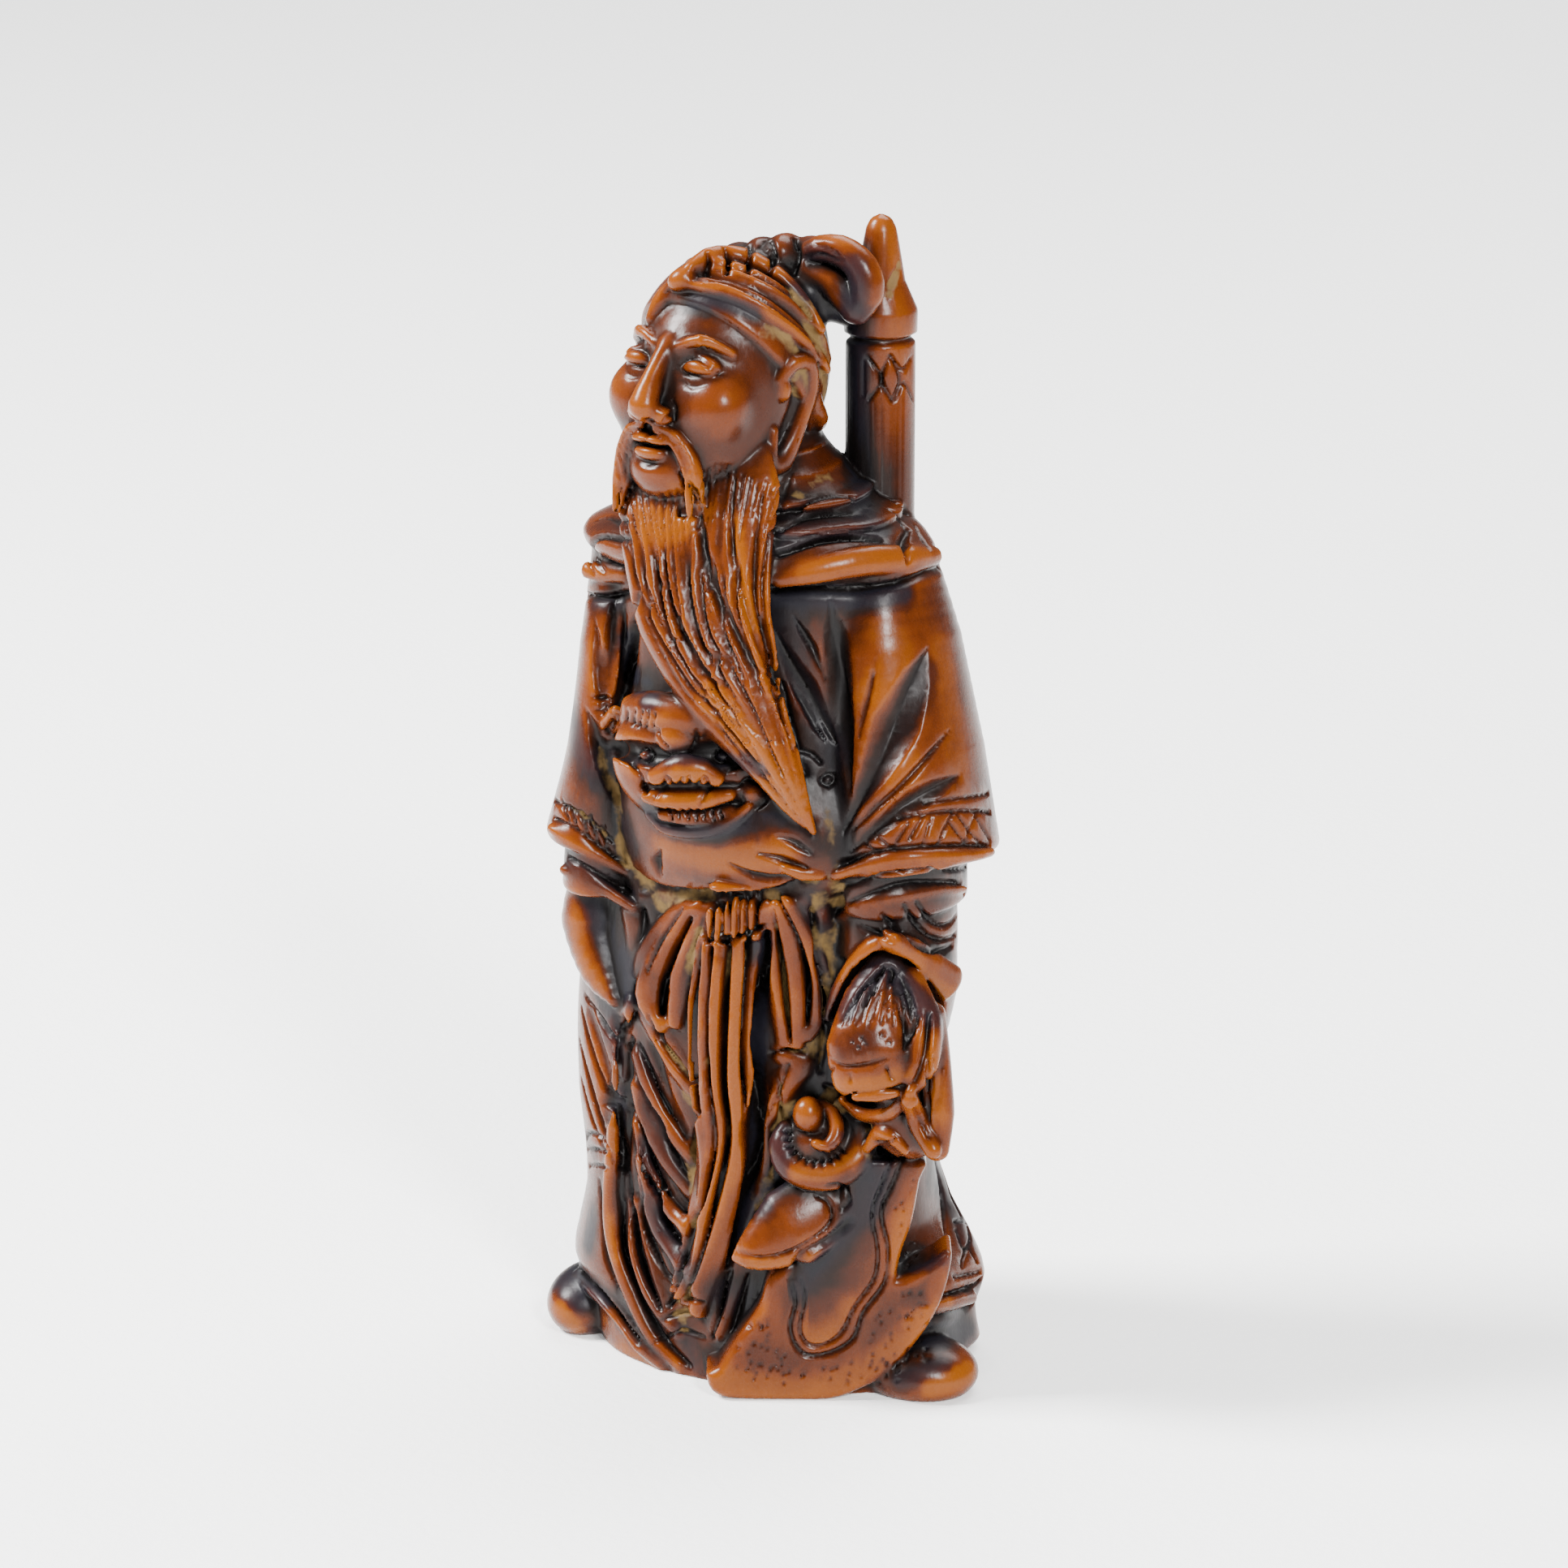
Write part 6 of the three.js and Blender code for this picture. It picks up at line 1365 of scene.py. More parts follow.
def ear(block, s):
    out = turned(HEAD_YAW, HEAD_PITCH) @ np.array([s, -0.25, 0])
    rim = [
        on_head(s * 4.6, 1.0, 0.2),
        on_head(s * 4.95, 0.5, 1.2),
        on_head(s * 5.05, -0.6, 1.2),
        on_head(s * 4.9, -1.3, 0.0),
        on_head(s * 4.6, -1.1, -2.2),
        on_head(s * 4.4, -0.4, -4.2),
        on_head(s * 4.35, 0.5, -4.3),
        on_head(s * 4.4, 0.7, -2.6),
    ]
    limb(block, rim, [0.4, 0.5, 0.5, 0.5, 0.5, 0.7, 0.5, 0.3], [0.5, 0.6, 0.6, 0.6, 0.55, 0.55, 0.5, 0.4],
         face=out, blend=0.12)
    egg(block, on_head(s * 4.75, 0.75, -0.3), (0.5, 0.5, 0.7), blend=0.15)
    inner = [on_head(s * 4.9, 0.1, 0.7), on_head(s * 4.9, -0.4, -0.6), on_head(s * 4.6, -0.1, -2.6)]
    limb(block, inner, [0.2, 0.32, 0.22], 0.3, face=out, blend=0.2, cut=True)


def carve_cap(block, front):
    """A scarf bound over the head and knotted above the brow, with its folds drawn back over the crown."""
    where, x, y, z = block.window(np.array(HEAD_AT) - 8.5, np.array(HEAD_AT) + 8.5)
    shell = Block((0, 0, 0), (0, 0, 0), block.step)
    shell.low = np.array([x.ravel()[0], y.ravel()[0], z.ravel()[0]])
    shell.field = np.full([s.stop - s.start for s in where], FAR, np.float32)
    shell.count = np.array(shell.field.shape)
    turn = {"yaw": HEAD_YAW, "pitch": HEAD_PITCH}
    egg(shell, on_head(0, -0.3, 0.3), np.array(HEAD_SIZE) + 0.45, **turn, blend=0)
    slope = math.radians(CAP_SLOPE)
    plane = turned(HEAD_YAW, HEAD_PITCH) @ np.array([0, -math.sin(slope), -math.cos(slope)])
    edge = on_head(0, 5.2, 4.2)
    below = (x - edge[0]) * plane[0] + (y - edge[1]) * plane[1] + (z - edge[2]) * plane[2]
    block.join(where, -soft_min(-shell.field, -below, 0.3), 0.1)
    front.bars(CAP_FOLDS, blend=0.22)
    front.marks(CAP_CUTS, reach=0.9)
    front.knob(CAP_KNOT, (0.8, 0.65, 0.6), blend=0.2, turn=-35)
    rim = [on_head(-s * 1.0, f, u) for s, f, u in CAP_RIM_BEHIND]
    limb(block, rim, [0.35, 0.5, 0.5, 0.5, 0.35], 0.5, face=(0, 1, 0), blend=0.3)


def carve_crest(block, front):
    """The cap's crest: soft lumps that lead back into a scroll of cloth, which meets the shaft."""
    for (across, up), size, y in CREST_LUMPS:
        egg(block, front.at_depth(across, up, y), size, blend=0.22)
    web = [front.at_depth(2.4, 59.4, 1.0), front.at_depth(4.1, 59.0, 2.2), front.at_depth(5.6, 58.6, 3.2)]
    limb(block, web, [1.3, 1.2, 1.3], [1.0, 0.9, 1.0], blend=0.4)
    egg(block, front.at_depth(3.6, 60.6, 2.0), (2.2, 1.5, 1.8), yaw=25, blend=0.3)
    egg(block, front.at_depth(3.5, 61.0, 0.55), (1.7, 0.85, 0.95), yaw=25, roll=28, blend=0.15, cut=True)
    for line, y, radius in CREST_SCROLL:
        limb(block, [front.at_depth(a, b, y) for a, b in line], radius, radius, face=front.back, blend=0.12)
    front.marks(CREST_CUTS)


def carve_beard(block, front):
    """A long flat beard, swept to the left down to one point, and joined to the chest behind it."""
    across, up, near, wide, deep = (np.array(column) for column in zip(*BEARD_MASS))
    limb(block, front.point(across, up, near - 1.5), 0.75 * wide, 1.5 * deep, blend=0.3)
    limb(block, front.point(across, up, near), wide, deep, blend=0.2)


def comb_beard(front):
    """The beard's strands: grooves that fan out between its two edges, with a few deep partings."""
    chance = np.random.default_rng(4)
    left, right, top = (np.array(line) for line in (BEARD_LEFT, BEARD_RIGHT, BEARD_TOP))
    steps = np.linspace(0, 1, 12)
    count = 27
    for k in range(count):
        f = (k + 0.5) / count
        edge = [np.column_stack([np.interp(steps, np.linspace(0, 1, len(line)), line[:, i]) for i in (0, 1)])
                for line in (left, right)]
        line = edge[0] * (1 - f) + edge[1] * f
        start = np.array([np.interp(f, np.linspace(0, 1, len(top)), top[:, i]) for i in (0, 1)])
        line = line + (start - line[0]) * np.clip(1 - steps * 5, 0, 1)[:, None]
        sway = 0.12 * np.sin(steps * 9 + chance.uniform(0, 6))
        line[:, 0] += sway * np.minimum(1, steps * 4)
        ends = int(chance.integers(8, 12)) + (k % 3 == 0)
        wide = chance.uniform(0.36, 0.52)
        deep = chance.uniform(0.24, 0.38)
        widths = [wide * 0.7, wide, wide, wide * 0.5]
        front.mark(line[:ends], widths, [deep * 0.5, deep, deep, deep * 0.3], spacing=0.6)
    front.marks(BEARD_PARTINGS, reach=1.0)


def carve_near_arm(block):
    """The left arm: a long sleeve over two more, and a cuff from which the hand comes."""
    limb(block, [(6.9, 0.4, 47.5), (7.85, 0.0, 42), (8.9, -0.5, 36), (9.85, -0.9, 30.4)],
         [2.5, 3.4, 3.9, 4.1], [3.4, 4.8, 5.5, 5.8], blend=0.5, flat=True)
    limb(block, [(8.8, -1.0, 33), (8.75, -1.2, 28.0)], [3.2, 3.4], [4.8, 5.1], blend=0.05, flat=True)
    limb(block, [(8.7, -1.3, 30), (8.65, -1.5, 25.3)], [2.9, 3.1], [4.4, 4.6], blend=0.05, flat=True)
    limb(block, [(8.9, -1.4, 27), (9.0, -2.2, 23.5), (8.9, -3.0, 20.8), (8.7, -3.6, 19.4)],
         [2.9, 3.2, 2.9, 2.2], [3.9, 4.1, 4.0, 3.2], blend=0.2)


def carve_hand(block, front):
    """The cuff's open mouth, the fringe in it and the hand, which is wrapped and closed on the halberd."""
    front.bars(CUFF_ROLLS, blend=0.2)
    front.bar(CUFF_MOUTH, [0.5, 0.8, 0.9, 0.7], [0.9, 1.3, 1.3, 1.0], cut=True, blend=0.15)
    for line, wide, thick in HAND_LINES:
        limb(block, [front.at_depth(*spot, y) for spot, y in line], wide, thick, face=front.back, blend=0.2)
    front.marks(HAND_CUTS)


def carve_far_arm(block):
    """The right arm: a long sleeve over another, and a gloved fist held back under it."""
    limb(block, [(-7.7, 0.2, 47.5), (-7.6, -0.9, 41), (-8.0, -1.7, 35), (-8.9, -2.2, 29.7)],
         [2.4, 2.7, 2.8, 3.2], [3.6, 4.7, 4.8, 4.9], blend=0.35, flat=True)
    limb(block, [(-8.1, -2.3, 31), (-8.2, -2.6, 27.2)], [2.5, 2.55], [4.4, 4.5], blend=0.05, flat=True)
    limb(block, [(-8.6, -2.6, 28), (-8.8, -3.4, 25.2), (-7.8, -4.8, 22.8), (-6.6, -5.7, 21.4)],
         [2.0, 2.15, 1.4, 0.5], [2.5, 2.4, 1.6, 0.8], blend=0.15)


def carve_shaft(block, front):
    """The halberd's shaft, with a bullet-shaped butt above, ring grooves and a band of small cuts."""
    r = SHAFT_RADIUS
    profile = [(44, r)]
    for ring in SHAFT_RINGS:
        profile += [(ring - 0.28, r), (ring, r - 0.34), (ring + 0.28, r)]
    profile += [(60.0, r + 0.12), (61.6, 1.35), (63.4, 1.05), (64.5, 0.85), (65.0, 0.6), (65.2, 0.35)]
    profile.append((HEIGHT - 0.02, 0.05))
    lathe(block, SHAFT_PLACE, profile)
    front.marks(SHAFT_CUTS, spacing=0.3)


def carve_halberd(block, front):
    """The halberd's broad blade, its leaf-shaped spur, and the dragon's head that holds them."""
    plate(block, BLADE_OUTLINE, 3.4, BLADE_AT, 25, blend=0.12, edge=0.55)
    spur = [front.point(a, b, near) for a, b, near in SPUR_LINE]
    limb(block, spur, [1.3, 2.2, 2.3, 1.2, 0.3], [0.8, 1.2, 1.2, 0.9, 0.3],
         face=front.back, blend=0.12, spacing=0.5)
    egg(block, front.point(3.1, 12.0, 2.0), (2.4, 2.0, 2.2), yaw=25, blend=0.3)
    egg(block, front.point(8.0, 13.4, 4.0), (2.2, 2.2, 2.4), yaw=25, blend=0.3)


def mark_blade(front):
    """The spur's border, the blade's double border, and the pits punched outside it."""
    front.marks(SPUR_CUTS + BLADE_CUTS, spacing=0.4)
    chance = np.random.default_rng(7)
    for low, high, count in BLADE_PITS:
        for spot in chance.uniform(low, high, (count, 2)):
            if near_line(spot, BLADE_CUTS[0][0]) > 0.75:
                front.mark([spot, spot + np.array([0.06, 0.12])], 0.26, 0.16, gouge, spacing=1.0)


def near_line(spot, line):
    path, _ = curve([(a, b, 0) for a, b in line], 0.3)
    return np.linalg.norm(path[:, :2] - spot, axis=1).min()


def carve_dragon(front):
    """The dragon's head: a ball of a snout in a curl, a fringed mane, and an eye."""
    for spot, size, lift in DRAGON_KNOBS:
        front.knob(spot, size, lift=lift, blend=0.1)
    front.bars(DRAGON_BARS, blend=0.1, spacing=0.4)
    front.marks(DRAGON_CUTS, spacing=0.35)
    for k in range(11):
        angle = math.radians(172 + k * 15.5)
        inner = np.array(MANE_MIDDLE) + np.array([math.cos(angle), math.sin(angle) * 0.92]) * 1.5
        outer = np.array(MANE_MIDDLE) + np.array([math.cos(angle), math.sin(angle) * 0.92]) * 2.1
        front.mark([inner, outer], [0.3, 0.12], [0.4, 0.08], spacing=0.3)


def carve_boots(block, front):
    egg(block, (-10.4, -1.9, 1.5), (2.4, 3.2, 2.1), blend=0.15)
    egg(block, (10.7, -2.8, 1.1), (3.5, 2.9, 1.9), blend=0.25)
    front.bars(HEM_ROLLS, blend=0.3)


def carve_clasp(block, front):
    """The belt's clasp: a beast's mask, with a rolled brow, deep eyes, a snout, a lip and rows of teeth."""
    egg(block, front.point(-4.3, 33.4, 6.3), (4.4, 2.2, 3.9), yaw=10, blend=0.3)
    front.bar(CLASP_HOLLOW, [0.5, 0.9, 0.8, 0.4], [0.8, 1.2, 1.1, 0.6], cut=True, blend=0.15)
    front.bars(CLASP_CHANNELS, cut=True, blend=0.12, spacing=0.5)
    front.bars(CLASP_ROLLS, blend=0.12, spacing=0.5)
    for spot, size, lift in CLASP_KNOBS:
        front.knob(spot, size, lift=lift, blend=0.08)
    front.marks(CLASP_CUTS, spacing=0.3)


def carve_sash(front):
    """The sash's knot and ends, and the robe's long folds below them."""
    front.bar(APRON_LINE, [1.8, 1.9, 1.8, 1.5, 1.0], [0.7, 0.8, 0.9, 0.9, 0.6], blend=0.3)
    front.marks(ROBE_HOLLOWS, gouge, reach=1.0)
    front.bars(FOLD_BARS, blend=0.5)
    front.bars(SASH_BARS + PLEAT_BARS, blend=0.3, square=2.3)
    front.bar(KNOT_LINE, [1.6, 1.7, 1.6], [0.5, 0.6, 0.4], lift=0.2, blend=0.12, square=4.0)
    front.marks(SASH_CUTS + ROBE_CUTS, reach=1.0)


def carve_coat(front):
    """The coat's front edges, the folds of its panels and its carved hem."""
    front.bars(COAT_ROLLS, blend=0.3)
    front.marks(COAT_CUTS, reach=1.0)
    front.marks(COAT_LEDGES, ledge, reach=1.0)


def carve_cloth_above(front):
    """The belly's lower edge, the cape's ribs, and the leaves and bands cut in the sleeves."""
    front.marks(CLOTH_LEDGES, ledge, reach=1.2)
    front.bars(CLOTH_ROLLS, blend=0.2)
    front.marks(CAPE_CUTS + BELLY_CUTS + BAND_LINES)
    for line, wide, deep in LEAVES:
        front.mark(line, [0] + wide + [0], [0.1] + deep + [0.1], leaf, spacing=0.4, reach=1.0)


def carve_cord_way(block):
    """The two holes behind, joined inside, that a cord is threaded through."""
    way = [(-1.8, 9.5, 37), (-1.8, 6.0, 36.4), (-1.8, 4.2, 33), (-1.8, 6.0, 29.6), (-1.8, 9.5, 29)]
    limb(block, way, CORD_HOLE, CORD_HOLE, face=(1, 0, 0), blend=0.25, cut=True)


def carve_figure(step):
    low = np.array(CAD_LOW) / MM
    high = np.array(CAD_HIGH) / MM
    block = Block(low - SPARE, high + SPARE, step)
    front = Board(block)
    carve_body(block)
    carve_cape(block)
    carve_head(block)
    carve_near_arm(block)
    carve_far_arm(block)
    carve_clasp(block, front)
    carve_beard(block, front)
    carve_cap(block, front)
    carve_crest(block, front)
    carve_shaft(block, front)
    carve_boots(block, front)
    carve_coat(front)
    carve_sash(front)
    carve_halberd(block, front)
    carve_hand(block, front)
    carve_dragon(front)
    carve_cloth_above(front)
    carve_face(block)
    carve_moustache(block)
    comb_beard(front)
    mark_blade(front)
    carve_cord_way(block)
    return block


# ---------------------------------------------------------------- the finish

HONEY = (0.145, 0.034, 0.0015, 1)
RED_BROWN = (0.085, 0.0165, 0.0012, 1)
BROWN = (0.036, 0.0068, 0.0012, 1)
DARK_BROWN = (0.009, 0.003, 0.0016, 1)
NEAR_BLACK = (0.003, 0.002, 0.002, 1)
WORN_GOLD = (0.165, 0.045, 0.0015, 1)
# A painted reflection: the pale room's bluish gleam on the dark, glossy patches.
BLUE_PAINTED_REFLECTION = (0.009, 0.0095, 0.017, 1)
PALE_DUST = (0.13, 0.078, 0.026, 1)


class Wire:
    """A node socket that can be used in sums, so that shader maths reads as sums."""

    def __init__(self, tree, socket):
        self.tree, self.socket = tree, socket

    def _math(self, operation, *values):
        node = self.tree.nodes.new("ShaderNodeMath")
        node.operation = operation
        for slot, value in zip(node.inputs, values):
            feed(self.tree, slot, value)
        return Wire(self.tree, node.outputs[0])

    def __add__(self, other):
        return self._math("ADD", self, other)

    __radd__ = __add__

    def __mul__(self, other):
        return self._math("MULTIPLY", self, other)

    def __sub__(self, other):
        return self._math("SUBTRACT", self, other)

    def __rsub__(self, other):
        return self._math("SUBTRACT", other, self)

    def between(self, low, high):
        """0 at low and 1 at high, smooth between."""
        node = self.tree.nodes.new("ShaderNodeMapRange")
        node.interpolation_type = "SMOOTHSTEP"
        for name, value in (("Value", self), ("From Min", low), ("From Max", high)):
            feed(self.tree, node.inputs[name], value)
        return Wire(self.tree, node.outputs["Result"])


def feed(tree, slot, value):
    if isinstance(value, Wire):
        tree.links.new(value.socket, slot)
    else:
        slot.default_value = value


def add_node(tree, kind, output=0, settings=None, **inputs):
    """Any other node: its type, its settings, and the values or wires of its sockets."""
    node = tree.nodes.new(kind)
    for name, value in (settings or {}).items():
        setattr(node, name, value)
    for name, value in inputs.items():
        feed(tree, node.inputs[name.replace("_", " ")], value)
    return Wire(tree, node.outputs[output])


def mixed(tree, amount, one, two):
    """Two colours, mixed."""
    node = tree.nodes.new("ShaderNodeMix")
    node.data_type = "RGBA"
    feed(tree, node.inputs["Factor"], amount)
    feed(tree, node.inputs[6], one)
    feed(tree, node.inputs[7], two)
    return Wire(tree, node.outputs[2])


def srgb(red, green, blue):
    """A colour given in sRGB, 0 to 255, as Blender's linear values."""
    line = [c / 255 for c in (red, green, blue)]
    return (*(c / 12.92 if c <= 0.04045 else ((c + 0.055) / 1.055) ** 2.4 for c in line), 1.0)


def boxwood_material():
    """Stained boxwood, polished by handling: golden on the highs, red-brown between, dark in the cuts, with
    painted shade where the wood is shut in and a painted bluish reflection on the dark patches.
    """
    material = bpy.data.materials.new("stained_boxwood")
    material.use_nodes = True
    tree = material.node_tree
    tree.nodes.clear()
    place = add_node(tree, "ShaderNodeTexCoord", output="Object")
    values = {
        name: add_node(tree, "ShaderNodeAttribute", output="Fac", settings={"attribute_name": name})
        for name in ("hollow", "shade", "stain_and_shade", "dust", "gold")
    }
    long_grain = add_node(tree, "ShaderNodeMapping", Vector=place, Scale=(1.0, 1.0, 0.12))
    grain = add_node(tree, "ShaderNodeTexNoise", Vector=long_grain, Scale=2600.0, Detail=5.0, Roughness=0.65)
    pores = add_node(tree, "ShaderNodeTexNoise", Vector=place, Scale=3400.0, Detail=2.0, Roughness=0.5)
    clouds = add_node(tree, "ShaderNodeTexNoise", Vector=place, Scale=260.0, Detail=4.0, Roughness=0.55)
    blots = add_node(tree, "ShaderNodeTexNoise", Vector=place, Scale=700.0, Detail=3.0, Roughness=0.6)
    # How dark the wood is: the patina in its cuts, painted shade where it is shut in and in the dark patches,
    # and lighter where it is worn golden.
    depth = (
        values["hollow"] * 0.6
        + values["shade"] * 0.5
        + values["stain_and_shade"] * 0.6
        - values["gold"] * 0.34
        + (clouds - 0.5) * 0.75
        + (grain - 0.5) * 0.16
        + 0.33
    )
    colour = mixed(tree, depth.between(-0.35, 0.0), HONEY, RED_BROWN)
    colour = mixed(tree, depth.between(-0.02, 0.34), colour, BROWN)
    colour = mixed(tree, depth.between(0.3, 0.7), colour, DARK_BROWN)
    colour = mixed(tree, depth.between(0.65, 1.15), colour, NEAR_BLACK)
    golden = values["gold"].between(0.25, 1.0) * 0.6 * (1 - depth.between(-0.05, 0.3))
    colour = mixed(tree, golden, colour, WORN_GOLD)
    # Painted reflection: a bluish gleam on the dark patches, away from the hollows.
    blue = values["stain_and_shade"].between(0.45, 1.0) * (1 - values["hollow"].between(0.1, 0.6)) * 0.4
    colour = mixed(tree, blue, colour, BLUE_PAINTED_REFLECTION)
    dusty = (values["dust"] * 0.9 + values["hollow"] * 0.45 + (blots - 0.5) * 1.6).between(0.55, 1.0)
    dusty = dusty * values["dust"].between(0.1, 0.5)
    colour = mixed(tree, dusty * 0.85, colour, PALE_DUST)
    dark = depth.between(0.2, 0.8)
    shader = tree.nodes.new("ShaderNodeBsdfPrincipled")
    feed(tree, shader.inputs["Base Color"], colour)
    feed(tree, shader.inputs["Roughness"], 0.27 + dark * 0.14 + dusty * 0.4 + (pores - 0.5) * 0.12)
    shader.inputs["IOR"].default_value = 1.45
    shader.inputs["Specular IOR Level"].default_value = 0.2
    tall = grain * 0.5 + pores * 0.35 + clouds * 0.8 + dusty * blots * 1.5
    bump = add_node(tree, "ShaderNodeBump", Height=tall, Strength=0.35, Distance=0.00006)
    feed(tree, shader.inputs["Normal"], bump)
    out = tree.nodes.new("ShaderNodeOutputMaterial")
    tree.links.new(shader.outputs[0], out.inputs[0])
    return material


def only(piece):
    """The piece alone is selected and active."""
    bpy.ops.object.select_all(action="DESELECT")
    piece.select_set(True)
    bpy.context.view_layer.objects.active = piece


def mesh_object(name, points, faces):
    """An object whose mesh has these points, in millimetres, and four-sided faces."""
    mesh = bpy.data.meshes.new(name)
    mesh.vertices.add(len(points))
    mesh.vertices.foreach_set("co", (points * MM).astype(np.float32).ravel())
    mesh.loops.add(faces.size)
    mesh.loops.foreach_set("vertex_index", faces.astype(np.int32).ravel())
    mesh.polygons.add(len(faces))
    mesh.polygons.foreach_set("loop_start", np.arange(len(faces), dtype=np.int32) * 4)
    mesh.polygons.foreach_set("loop_total", np.full(len(faces), 4, np.int32))
    mesh.update(calc_edges=True)
    piece = bpy.data.objects.new(name, mesh)
    bpy.context.scene.collection.objects.link(piece)
    return piece


def paint(block, piece):
    """Values at each point for the finish: how hollow the wood is, how shut in (for painted shade), and the
    patina's patches, of which the dark ones are partly painted shade.
    """
    mesh = piece.data
    co = np.zeros(len(mesh.vertices) * 3, np.float32)
    mesh.vertices.foreach_get("co", co)
    points = co.reshape(-1, 3) / MM
    wood = (block.field < 0).astype(np.float32)
    haze = Block(block.low, block.low, block.step)
    haze.low, haze.count = block.low, block.count
    haze.field = blurred(wood, max(1, int(round(HOLLOW_REACH / block.step))))
    layers = {"hollow": (haze.read(points) - 0.5) * 4}
    # Painted shade: the more wood there is round a point, a little way out from it, the darker its colour is
    # painted, as if shade fell there.
    haze.field = blurred(wood, max(1, int(round(SHADE_REACH / block.step))))
    away = block.outward(points, 0.6)
    layers["shade"] = (haze.read(points + away * 0.8) - 0.3) * 2.5
    front = Board(block)
    # The dark patches are partly real stain and partly painted shade, such as the shadow under the scarf's
    # brim and the shaded side of the shaft.
    for name, patches in (("stain_and_shade", STAIN_AND_SHADE), ("dust", DUSTY), ("gold", GOLDEN)):
        layers[name] = patched(points, front, patches)
    for name, values in layers.items():
        layer = mesh.attributes.new(name, "FLOAT", "POINT")
        layer.data.foreach_set("value", values.astype(np.float32))


def patched(points, front, patches):
    """How strongly a set of patches, each a line with a width and a strength, shows at each point."""
    value = np.zeros(len(points))
    for line, wide, amount in patches:
        path = front.laid(line, spacing=0.8)
        gap = np.full(len(points), 1e9)
        for spot in path:
            gap = np.minimum(gap, ((points - spot) ** 2).sum(1))
        value = np.maximum(value, amount * (1 - smooth(wide * 0.2, wide * 0.65, np.sqrt(gap))))
    return value


# ---------------------------------------------------------------- the stage


def make_camera():
    a, e = math.radians(VIEW_TURN), math.radians(VIEW_RISE)
    back = Vector((math.sin(a) * math.cos(e), -math.cos(a) * math.cos(e), math.sin(e)))
    aim = Vector(VIEW_AIM) * MM
    data = bpy.data.cameras.new("camera")
    camera = bpy.data.objects.new("camera", data)
    bpy.context.scene.collection.objects.link(camera)
    data.sensor_width = 36
    data.lens = VIEW_LENS
    data.clip_start, data.clip_end = 0.01, 10
    camera.location = aim + back * (VIEW_AWAY * MM)
    camera.rotation_euler = (-back).to_track_quat("-Z", "Y").to_euler()
    bpy.context.scene.camera = camera


def soft_box(name, place, size, power):
    """A square soft light that looks at the figure."""
    data = bpy.data.lights.new(name, "AREA")
    data.shape = "RECTANGLE"
    data.size, data.size_y = size
    data.energy = power
    light = bpy.data.objects.new(name, data)
    bpy.context.scene.collection.objects.link(light)
    light.location = place
    light.rotation_euler = (Vector((0, 0, 0.035)) - Vector(place)).to_track_quat("-Z", "Y").to_euler()


def paper_material():
    """White paper with a faint tooth."""
    material = bpy.data.materials.new("white_paper")
    material.use_nodes = True
    tree = material.node_tree
    shader = tree.nodes["Principled BSDF"]
    shader.inputs["Base Color"].default_value = srgb(247, 247, 246)
    shader.inputs["Roughness"].default_value = 0.9
    shader.inputs["Specular IOR Level"].default_value = 0.2
    shader.inputs["Emission Color"].default_value = (1, 1, 1, 1)
    shader.inputs["Emission Strength"].default_value = 0.25
    place = add_node(tree, "ShaderNodeTexCoord", output="Object")
    tooth = add_node(tree, "ShaderNodeTexNoise", Vector=place, Scale=1400.0, Detail=3.0, Roughness=0.6)
    bump = add_node(tree, "ShaderNodeBump", Height=tooth, Strength=0.25, Distance=0.0003)
    feed(tree, shader.inputs["Normal"], bump)
    return material


# ---------------------------------------------------------------- the add-on


class NetsukeSettings(bpy.types.PropertyGroup):
    grid_step: bpy.props.FloatProperty(
        name="Grid step",
        description="Size of the carving grid's cells",
        default=0.00014,
        unit="LENGTH",
        precision=6,
    )
    quick_step: bpy.props.FloatProperty(
        name="Quick step",
        description="Size of the cells for a quick look",
        default=0.0003,
        unit="LENGTH",
        precision=6,
    )
    triangles: bpy.props.IntProperty(
        name="Triangles", description="The most triangles that the figure keeps", default=195000
    )


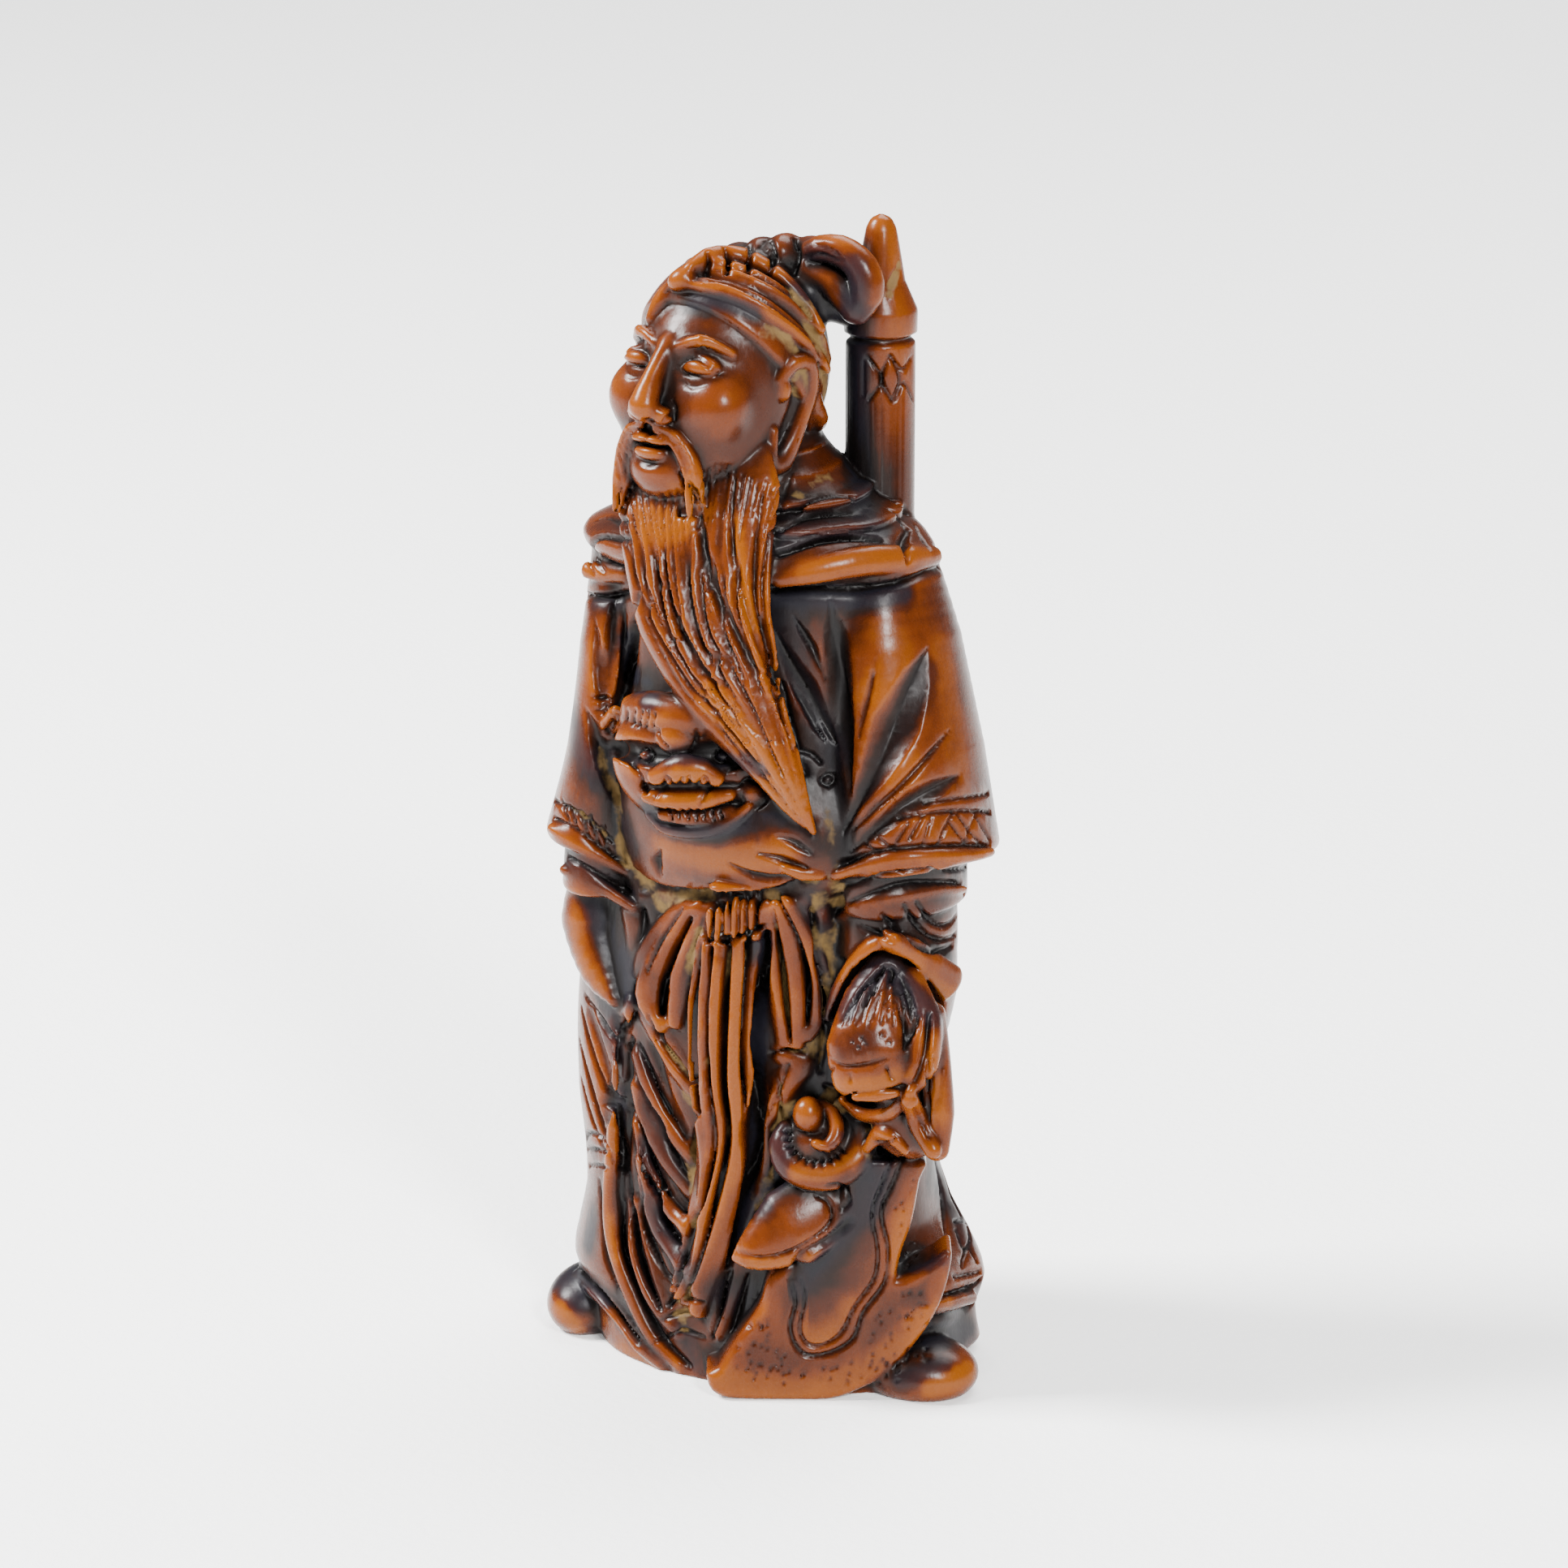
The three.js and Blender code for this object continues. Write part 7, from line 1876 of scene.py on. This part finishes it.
class NETSUKE_OT_carve(bpy.types.Operator):
    """Carves the figure from its block, and gives it its finish"""

    bl_idname = "netsuke.carve"
    bl_label = "Carve the figure"

    def execute(self, context):
        settings = context.scene.netsuke
        step = settings.grid_step / MM
        block = carve_figure(step)
        points, faces = largest(*skin(block))
        points = settle(block, points, faces)
        points[:, 2] = np.maximum(points[:, 2], 0)
        piece = mesh_object("netsuke", points, faces)
        only(piece)
        thin = piece.modifiers.new("thin", "DECIMATE")
        thin.ratio = min(1.0, settings.triangles / (2 * len(faces)))
        bpy.ops.object.modifier_apply(modifier=thin.name)
        bpy.ops.object.shade_smooth()
        paint(block, piece)
        piece.data.materials.append(boxwood_material())
        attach(piece, "root")
        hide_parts("carved_figure")
        return {"FINISHED"}


class NETSUKE_OT_stage(bpy.types.Operator):
    """Lays white paper under the figure, and sets the lights and the camera"""

    bl_idname = "netsuke.stage"
    bl_label = "Build the stage"

    def execute(self, context):
        bpy.ops.object.select_all(action="DESELECT")
        bpy.ops.mesh.primitive_plane_add(size=4, location=(0, 0, 0))
        floor = context.object
        floor.name = "floor"
        floor.data.materials.append(paper_material())
        make_camera()
        soft_box("window", (-0.34, -0.16, 0.4), (0.14, 0.18), 11.0)
        soft_box("fill", (0.42, -0.4, 0.4), (0.12, 0.16), 8.0)
        soft_box("top", (0.0, 0.7, 1.3), (1.2, 0.8), 36.0)
        world = bpy.data.worlds.new("pale_room")
        context.scene.world = world
        world.use_nodes = True
        background = world.node_tree.nodes["Background"]
        background.inputs["Color"].default_value = (0.9, 0.93, 0.96, 1)
        background.inputs["Strength"].default_value = 0.3
        return {"FINISHED"}


class NETSUKE_PT_panel(bpy.types.Panel):
    bl_label = "Boxwood netsuke"
    bl_idname = "NETSUKE_PT_panel"
    bl_space_type = "VIEW_3D"
    bl_region_type = "UI"
    bl_category = "Netsuke"

    def draw(self, context):
        settings = context.scene.netsuke
        for name in ("grid_step", "quick_step", "triangles"):
            self.layout.prop(settings, name)
        self.layout.operator("netsuke.carve")
        self.layout.operator("netsuke.stage")


CLASSES = (NetsukeSettings, NETSUKE_OT_carve, NETSUKE_OT_stage, NETSUKE_PT_panel)


def register():
    for kind in CLASSES:
        bpy.utils.register_class(kind)
    bpy.types.Scene.netsuke = bpy.props.PointerProperty(type=NetsukeSettings)


def unregister():
    del bpy.types.Scene.netsuke
    for kind in reversed(CLASSES):
        bpy.utils.unregister_class(kind)


def main():
    register()
    bpy.ops.netsuke.stage()
    bpy.ops.netsuke.carve()


if __name__ == "__main__":
    main()
